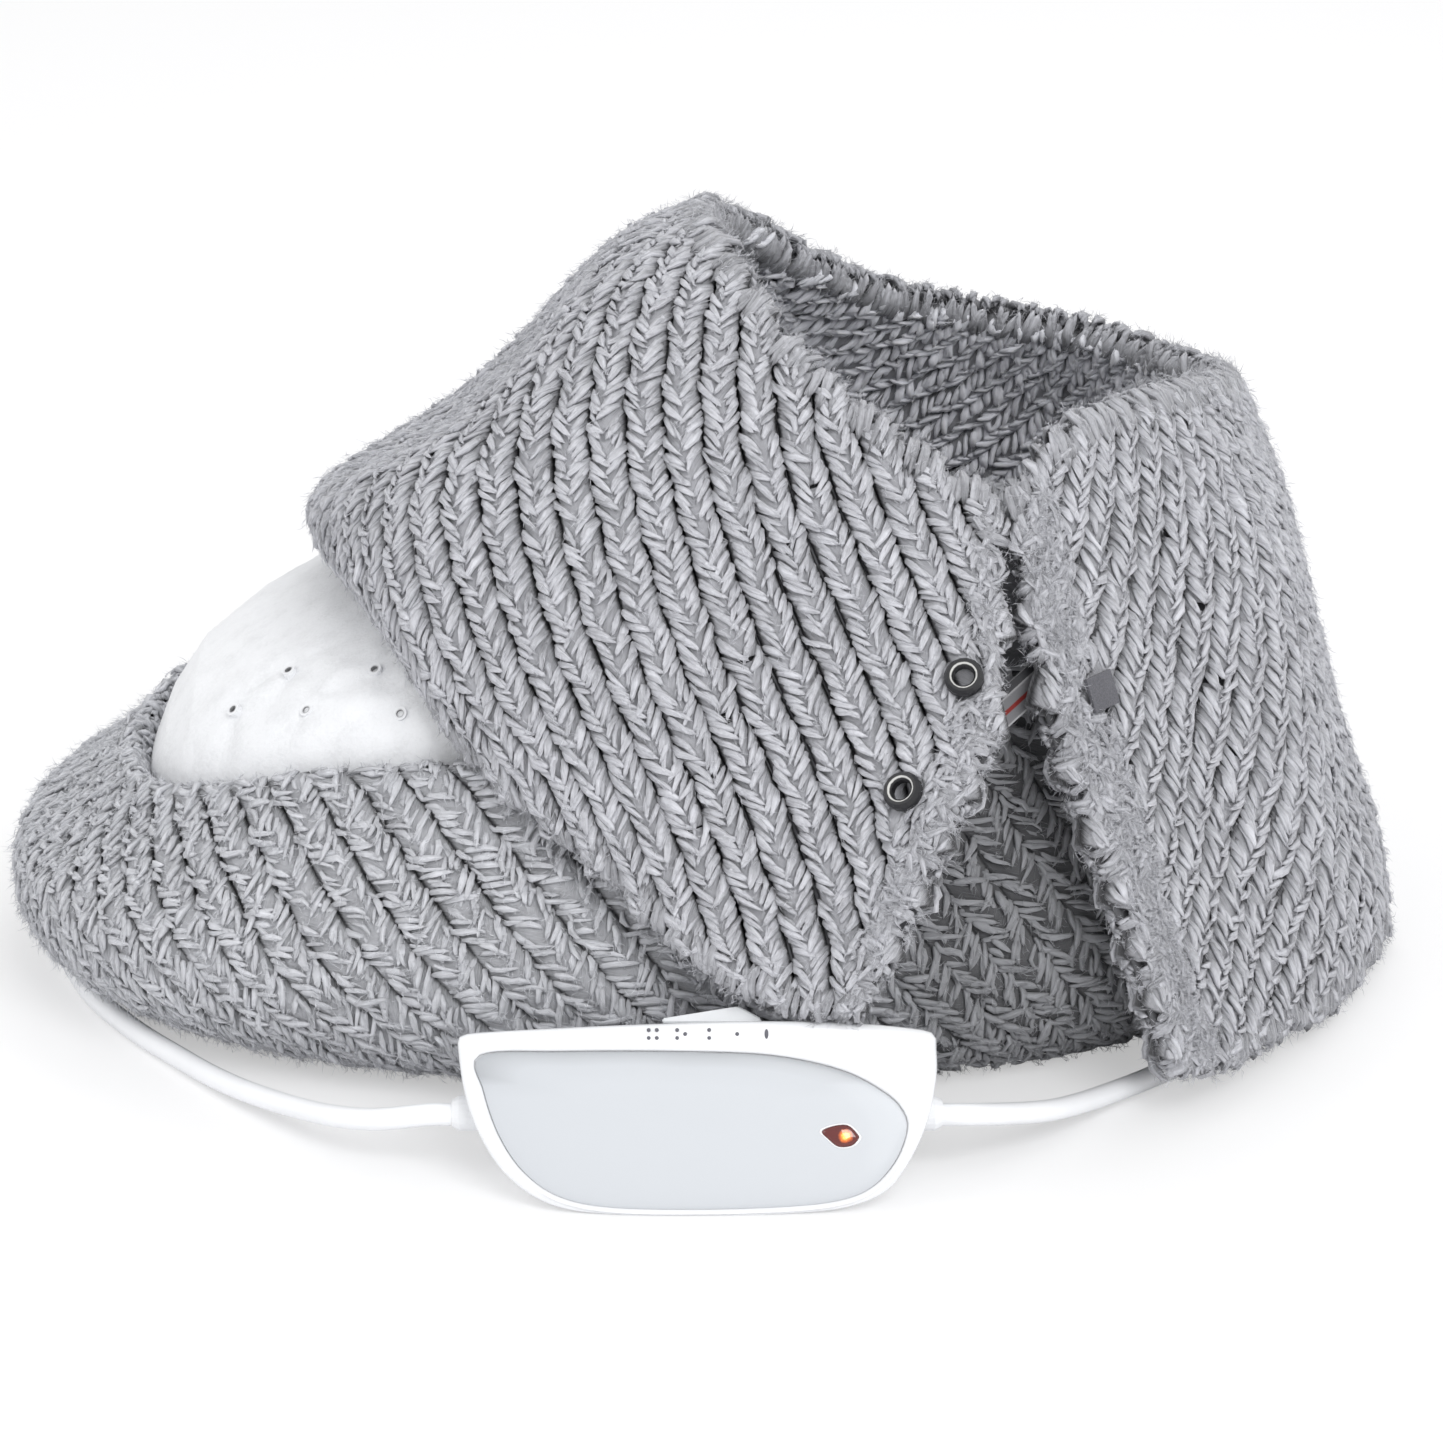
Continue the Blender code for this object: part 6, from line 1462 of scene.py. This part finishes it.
def outline_of(shares, count=144):
    """An outline of the control's face as that many even points."""
    line = smooth_curve(np.array(shares) * CONTROL_SIZE, 12, closed=True)
    line = np.vstack([line, line[:1]])
    run = run_of(line)
    return sample(run, line, np.arange(count) * run[-1] / count)


def inset(outline, distance):
    along = unit(np.roll(outline, -1, axis=0) - np.roll(outline, 1, axis=0))
    return outline + distance * np.stack([along[:, 1], -along[:, 0]], axis=1)


def ring(outline, z, inwards=0.0):
    """An outline at a height; below the face, the control's top edge is cut back upright."""
    cut_back = -z / math.tan(CONTROL_LEAN) / CONTROL_HEIGHT
    flat = inset(outline, inwards) if inwards else outline
    y = CONTROL_HEIGHT - (CONTROL_HEIGHT - flat[:, 1]) * (1 - max(cut_back, 0))
    return np.stack([flat[:, 0], y, np.full(len(flat), z)], axis=1)


def stack(centre, outline, levels):
    """Rings of one outline about a centre, one for each (size share, height)."""
    return [np.column_stack([centre + outline * share, np.full(len(outline), z)]) for share, z in levels]


def control_place():
    """Where the control's face stands."""
    middle = Vector(CONTROL_PLACE) + Vector(BOOT_PLACE)
    return Matrix.Translation(middle) @ Matrix.Rotation(CONTROL_LEAN, 4, "X")


def loft(name, rings, material, closed=False):
    """A skin through rings on the control's face, with end caps or closed on itself."""
    turn = np.array(control_place())
    points = np.vstack(rings) @ turn[:3, :3].T + turn[:3, 3]
    points[:, 2] = np.maximum(points[:, 2], 0)
    index = np.arange(len(points)).reshape(len(rings), -1)
    caps = [] if closed else [index[0, ::-1].tolist(), index[-1].tolist()]
    if closed:
        index = np.vstack([index, index[:1]])
    faces = grid_faces(np.hstack([index, index[:, :1]])).tolist() + caps
    made = mesh_piece(name, points, faces, material, shift=0.0)
    # The faces that close a ring stay flat
    for face in made.data.polygons[-len(rings[0]):] if closed else ():
        face.use_smooth = False
    return made


def lens_finish(centre):
    """Amber lens, glowing round the lamp behind it."""
    made = Finish("lens_amber", (0.25, 0.03, 0.01), 0.08, coat_weight=0.6, coat_roughness=0.03)
    spot = control_place() @ Vector((centre[0] + 0.0012, centre[1], 0.001))
    far = made.vector("LENGTH", made.vector("SUBTRACT", made.place(), tuple(spot)), output="Value")
    flecks = made.noise(1400.0, 2.0)
    level = far * 330.0 + (flecks - 0.5) * 0.35
    amber = (0.15, (1.0, 0.62, 0.10)), (0.40, (0.55, 0.12, 0.02)), (0.60, (0.10, 0.008, 0.006))
    glow = (0.1, (1.0, 0.66, 0.16)), (0.40, (0.55, 0.11, 0.01)), (0.62, (0.02, 0.0, 0.0))
    made.feed("Base Color", made.ramp(level, *amber))
    made.feed("Emission Color", made.ramp(level, *glow))
    made.shader.inputs["Emission Strength"].default_value = 0.6
    return made.material


def make_lens():
    centre = np.array(LENS_SHARES) * CONTROL_SIZE
    outline = smooth_curve(np.array(LENS_OUTLINE_SHARES) * np.array(LENS_SIZE), 5, closed=True)
    top = LENS_LIFT
    dome = (
        (1.0, -0.0008), (1.0, top), (0.94, top + 0.0003),
        (0.8, top + 0.0005), (0.5, top + 0.0007), (0.2, top + 0.00075),
    )
    rim = (
        (1.14, -0.0004), (1.14, top - 0.0001), (1.08, top + 0.0002), (1.01, top + 0.0001), (1.01, -0.0004),
    )
    amber = lens_finish(centre)
    dress(loft("lens_dome", stack(centre, outline, dome), amber), "amber_lens", "indicator_lens")
    white = moulded_finish("lens_rim_finish", (0.86, 0.86, 0.87), 0.25)
    dress(loft("lens_rim", stack(centre, outline, rim), white, closed=True), "gloss_white")


def make_marks(radius):
    """Plain dots and a bar that mark the heat steps."""
    half = DOT_PITCH / 2
    spots = [(x + a * half, MARK_HEIGHT + b * half, 1.0) for x, dots in MARKS for a, b in dots]
    spots.append((OFF_BAR_X, MARK_HEIGHT, OFF_BAR_STRETCH))
    dark = moulded_finish("mark_ink", (0.10, 0.10, 0.12), 0.5)
    turn = np.linspace(0, 2 * math.pi, 17)[:-1]
    levels = ((1.0, -0.0003), (1.0, 0.00038), (0.8, 0.00048), (0.4, 0.00052))
    for number, (x, y, stretch) in enumerate(spots, 1):
        outline = np.column_stack([radius * np.cos(turn), radius * stretch * np.sin(turn)])
        dress(loft(f"heat_mark_{number:02d}", stack((x, y), outline, levels), dark), "black_plastic")


class FOOTWARMER_OT_control(bpy.types.Operator):
    """Mould the hand control: case, face panel, dots and lens"""

    bl_idname = "foot_warmer.control"
    bl_label = "Hand control"

    def execute(self, context):
        trim = context.scene.foot_warmer_trim
        body, panel = outline_of(CONTROL_OUTLINE_SHARES), outline_of(PANEL_OUTLINE_SHARES)
        white = tuple(trim.case_colour)
        gloss = moulded_finish("case_gloss", white, 0.22, coat_weight=0.3, coat_roughness=0.08)
        middle = (inset(body, 0.0024) + inset(panel, -0.0016)) / 2
        rings = [ring(body, *step) for step in CASE_EDGE] + [ring(middle, 0.0003)]
        rings += [ring(panel, *step) for step in PANEL_LIP]
        front = dress(loft("case_front", rings, gloss), "gloss_white", "control_front_housing")
        centre = np.mean(panel, axis=0)
        levels = [(share * 0.998, -0.0003 + 0.0008 * (1 - share**6) ** 0.5) for share in PANEL_RING_SHARES]
        satin = panel_finish(tuple(trim.panel_colour))
        plate = loft("face_plate", stack(centre, panel - centre, levels), satin)
        dress(plate, "panel_grey", "control_face_panel")
        # Painted shade under the panel's upper edge, strongest at its outer rings
        top = np.clip((panel[:, 1] - centre[1]) / (0.25 * CONTROL_HEIGHT), 0, 1)
        paint(plate, "rim", np.concatenate([top * share for share in PANEL_RING_SHARES]))
        for piece in (front, plate):
            piece.data.set_sharp_from_angle(angle=math.radians(55))
        make_lens()
        make_marks(trim.dot_diameter / 2)
        return {"FINISHED"}


# Carried-over parts


class FOOTWARMER_OT_fittings(bpy.types.Operator):
    """Give the studs, eyelets, plug, board and other rigid parts their finishes"""

    bl_idname = "foot_warmer.fittings"
    bl_label = "Fittings"

    def execute(self, context):
        trim = context.scene.foot_warmer_trim
        white, fleece = tuple(trim.case_colour), tuple(trim.fleece_colour)
        relief = moulded_finish("relief_rubber", white, 0.45)
        black = moulded_finish("black_moulding", (0.035, 0.035, 0.04), 0.45)
        steel = metal_finish("gunmetal", (0.12, 0.12, 0.13), 0.3)
        bright = metal_finish("nickel", (0.72, 0.70, 0.66), 0.25)
        finishes = {
            "control_rear_housing": moulded_finish("case_white", white, 0.26, coat_weight=0.2),
            "slider_knob": moulded_finish("knob_frost", (0.84, 0.86, 0.88), 0.35, transmission_weight=0.15),
            "circuit_board": moulded_finish("board_green", (0.06, 0.24, 0.11), 0.4),
            "terminal_block": moulded_finish("block_grey", (0.55, 0.58, 0.62), 0.5),
            "heating_wire": moulded_finish("wire_silicone", (0.50, 0.10, 0.08), 0.5),
            "side_patch": cloth_finish("tape_satin", (0.13, 0.13, 0.145), 2400.0),
            "care_label": label_finish(),
            "indicator_led": moulded_finish("led_amber", (0.8, 0.35, 0.05), 0.2),
        }
        for material, nodes in (
            (relief, "control_relief_left control_relief_right lead_gland plug_relief plug_body"),
            (black, "slide_switch power_triac coil_tie thermal_cutout_front thermal_cutout_rear"),
            (steel, "post_upper post_lower"),
            (bright, "board_screw_left board_screw_right line_fuse slider_contact plug_pin_1 plug_pin_2"),
        ):
            finishes.update(dict.fromkeys(nodes.split(), material))
        finishes.update({node: socket_finish(node) for node in ("socket_upper", "socket_lower")})
        finishes.update({node: eyelet_finish(node, fleece) for node in EYELETS})
        for node, material in finishes.items():
            give(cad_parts[node], material)
        return {"FINISHED"}


# Cords


def evenly(points, pitch, lowest):
    """A smooth route at even steps, nowhere below the lowest height; its ends stay."""
    fine = 16
    line = smooth_curve(points, fine)[fine:-fine]
    line[:, 2] = np.maximum(line[:, 2], lowest)
    run = run_of(line)
    middle = sample(run, line, np.linspace(0, run[-1], max(3, round(run[-1] / pitch))))
    return np.vstack([points[:1], middle, points[-1:]])


def route_between(start, start_way, middle, end, end_way):
    """A route that leaves both its ends straight, for one diameter."""
    leave, arrive = np.array(start_way) * CORD_DIAMETER, np.array(end_way) * CORD_DIAMETER
    return [tuple(start), tuple(np.array(start) + leave), *middle, tuple(np.array(end) + arrive), tuple(end)]


def coil_points():
    """A flat coil in two layers that rests on its tie, with a straight end each way."""
    outer = COIL_MIDDLE_RADIUS + COIL_PITCH * COIL_TURNS / 4
    points = []
    for step in range(round(COIL_TURNS * COIL_TURN_STEPS) + 1):
        turn = step / COIL_TURN_STEPS
        radius = outer - COIL_PITCH * min(turn, COIL_TURNS - turn)
        climb = min(max((turn - COIL_TURNS / 2) * 2 + 0.5, 0), 1)
        angle = 2 * math.pi * turn - math.pi / 2
        across = radius * math.cos(angle)
        floor = CORD_DIAMETER / 2 + SEAT_GAP / 2
        floor += (TIE_THICKNESS + SEAT_GAP) * (across + outer) / (2 * outer)
        height = floor + COIL_PITCH * climb * climb * (3 - 2 * climb)
        points.append((COIL_MIDDLE[0] + across, COIL_MIDDLE[1] + radius * math.sin(angle), height))
    reach = np.array((CORD_DIAMETER, 0, 0))
    return [tuple(points[0] - reach), *points, tuple(points[-1] + reach)]


def cord_piece(name, points, material, *nodes, **facts):
    """A round cord along points of the boot's frame, as a curve of one open spline."""
    curve = bpy.data.curves.new(name, "CURVE")
    curve.dimensions = "3D"
    curve.bevel_depth = CORD_DIAMETER / 2
    curve.bevel_resolution = 3
    curve.use_fill_caps = True
    placed = np.asarray(points) + BOOT_PLACE
    run = curve.splines.new("POLY").points
    run.add(len(placed) - 1)
    run.foreach_set("co", np.column_stack([placed, np.ones(len(placed))]).ravel())
    curve.materials.append(material)
    made = dress(link(name, curve), "cord_jacket", *nodes)


def tip_of(points, way, slack):
    """The middle of a node's end in that direction, from its points in the boot's frame."""
    reach = points @ way
    return points[reach > reach.max() - slack].mean(axis=0) + way * SEAT_GAP


class FOOTWARMER_OT_cords(bpy.types.Operator):
    """Lay the warmer's lead and the mains lead, with its coil and plug"""

    bl_idname = "foot_warmer.cords"
    bl_label = "Cords"

    def execute(self, context):
        jacket = moulded_finish("cord_pvc", tuple(context.scene.foot_warmer_trim.cord_colour), 0.38)
        pitch, lowest = CORD_POINT_DIAMETERS * CORD_DIAMETER, (CORD_DIAMETER + SEAT_GAP) / 2
        right, left = np.array((1.0, 0, 0)), np.array((-1.0, 0, 0))
        gland, right_relief, left_relief, plug_relief = (
            node_points(node) - BOOT_PLACE
            for node in ("lead_gland", "control_relief_right", "control_relief_left", "plug_relief")
        )
        away = main_axes(gland)[0]
        away = away * np.sign(away @ (gland.mean(axis=0) * (1, 1, 0)))
        start, end = tip_of(gland, away, 5e-5), tip_of(right_relief, right, 1e-4)
        warmer = evenly(route_between(start, away, WARMER_ROUTE, end, right), pitch, lowest)
        facts = {"length": 0.521, "far_end": "object", "lay": "loose"}
        cord_piece("warmer_cord", smooth_curve(warmer, 3), jacket, "warmer_lead", **facts)
        coil = coil_points()
        start = tip_of(left_relief, left, 1e-4)
        mains = evenly(route_between(start, left, MAINS_ROUTE, coil[0], left), pitch, lowest)
        tail = np.linspace(coil[-1], tip_of(plug_relief, left, 1e-4), 5)[1:]
        whole = np.vstack([smooth_curve(mains, 3)[:-1], smooth_curve(coil, 2), tail])
        ends = ("coil_tie", "plug_relief", "plug_body", "plug_pin_1", "plug_pin_2")
        fittings = [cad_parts[node] for node in ends]
        facts = {"length": 1.729, "far_end": "plug", "lay": "coiled", "with_pieces": fittings}
        cord_piece("mains_cord", whole, jacket, "mains_lead", "mains_coil", "plug_lead", **facts)
        return {"FINISHED"}


# Stage


def make_floor():
    bpy.ops.mesh.primitive_plane_add(size=8, location=(0, 0, 0))
    floor = bpy.context.active_object
    floor.name = "floor"
    white = Finish("floor_white", (0.93, 0.93, 0.94), 0.7, specular_ior_level=0.1)
    seen = white.node("ShaderNodeLightPath", output="Is Camera Ray")
    shine = white.node("ShaderNodeEmission", None, {"Color": (1, 1, 1, 1), "Strength": 1.0})
    plain = Value(white, white.shader.outputs[0])
    mixed = white.node("ShaderNodeMixShader", None, {0: seen * 0.45, 1: plain, 2: shine})
    white.tree.links.new(mixed.socket, white.tree.nodes["Material Output"].inputs["Surface"])
    give(floor, white.material)


def make_world(scene):
    """White where it is seen, mirrored or looked through, and a little weaker as a light."""
    scene.world = bpy.data.worlds.new("studio")
    scene.world.use_nodes = True
    nodes = Nodes(scene.world.node_tree)
    paths = nodes.node("ShaderNodeLightPath").socket.node.outputs
    kinds = ("Camera", "Glossy", "Transmission")
    seen, mirrored, through = (Value(nodes, paths[f"Is {kind} Ray"]) for kind in kinds)
    either = nodes.node("ShaderNodeMath", {"operation": "MAXIMUM"}, {0: seen, 1: mirrored})
    either = nodes.node("ShaderNodeMath", {"operation": "MAXIMUM"}, {0: either, 1: through})
    strength = nodes.node("ShaderNodeMapRange", None, {"Value": either, "To Min": 0.80, "To Max": 1.0})
    background = nodes.tree.nodes["Background"]
    background.inputs["Color"].default_value = (1, 1, 1, 1)
    nodes.tree.links.new(strength.socket, background.inputs["Strength"])


class FOOTWARMER_OT_stage(bpy.types.Operator):
    """Set the floor, the lamps, the world and the camera"""

    bl_idname = "foot_warmer.stage"
    bl_label = "Stage"

    def execute(self, context):
        scene = context.scene
        scene.view_settings.view_transform = "Standard"
        make_floor()
        make_world(scene)
        for name, place, size, power in LAMPS:
            lamp = link(name, bpy.data.lights.new(name, "AREA"))
            lamp.data.size, lamp.data.energy = size, power
            lamp.location = place
            lamp.rotation_euler = (LAMP_TARGET - Vector(place)).to_track_quat("-Z", "Y").to_euler()
        camera = link("photo_camera", bpy.data.cameras.new("photo_camera"))
        camera.data.sensor_width = SENSOR_WIDTH
        camera.data.lens = SENSOR_WIDTH * CAMERA_FOCAL_PIXELS / PHOTO_SIDE
        camera.data.clip_start, camera.data.clip_end = 0.05, 20
        back = Vector((0, -math.cos(CAMERA_ELEVATION), math.sin(CAMERA_ELEVATION)))
        camera.location = CAMERA_TARGET + Vector(BOOT_PLACE) + back * CAMERA_DISTANCE
        camera.rotation_euler = (-back).to_track_quat("-Z", "Y").to_euler()
        scene.camera = camera
        return {"FINISHED"}


OPERATORS = (
    FOOTWARMER_OT_stage,
    FOOTWARMER_OT_cords,
    FOOTWARMER_OT_fittings,
    FOOTWARMER_OT_control,
    FOOTWARMER_OT_sole,
    FOOTWARMER_OT_fleece,
    FOOTWARMER_OT_base,
    FOOTWARMER_OT_collar,
)


class FOOTWARMER_PT_panel(bpy.types.Panel):
    """Sizes, colours and pieces of the foot warmer"""

    bl_idname = "FOOTWARMER_PT_panel"
    bl_label = "Foot warmer"
    bl_space_type = "VIEW_3D"
    bl_region_type = "UI"
    bl_category = "Foot warmer"

    def draw(self, context):
        for group in (context.scene.foot_warmer_knit, context.scene.foot_warmer_trim):
            box = self.layout.box()
            for name in group.__annotations__:
                box.prop(group, name)
        for operator in OPERATORS:
            self.layout.operator(operator.bl_idname)


CLASSES = (FootWarmerKnit, FootWarmerTrim, *OPERATORS, FOOTWARMER_PT_panel)


def register():
    for item in CLASSES:
        bpy.utils.register_class(item)
    bpy.types.Scene.foot_warmer_knit = bpy.props.PointerProperty(type=FootWarmerKnit)
    bpy.types.Scene.foot_warmer_trim = bpy.props.PointerProperty(type=FootWarmerTrim)


def unregister():
    del bpy.types.Scene.foot_warmer_trim
    del bpy.types.Scene.foot_warmer_knit
    for item in reversed(CLASSES):
        bpy.utils.unregister_class(item)


def main():
    register()
    bpy.ops.object.select_all(action="DESELECT")
    for operator in OPERATORS:
        group, name = operator.bl_idname.split(".")
        getattr(getattr(bpy.ops, group), name)()


if __name__ == "__main__":
    main()
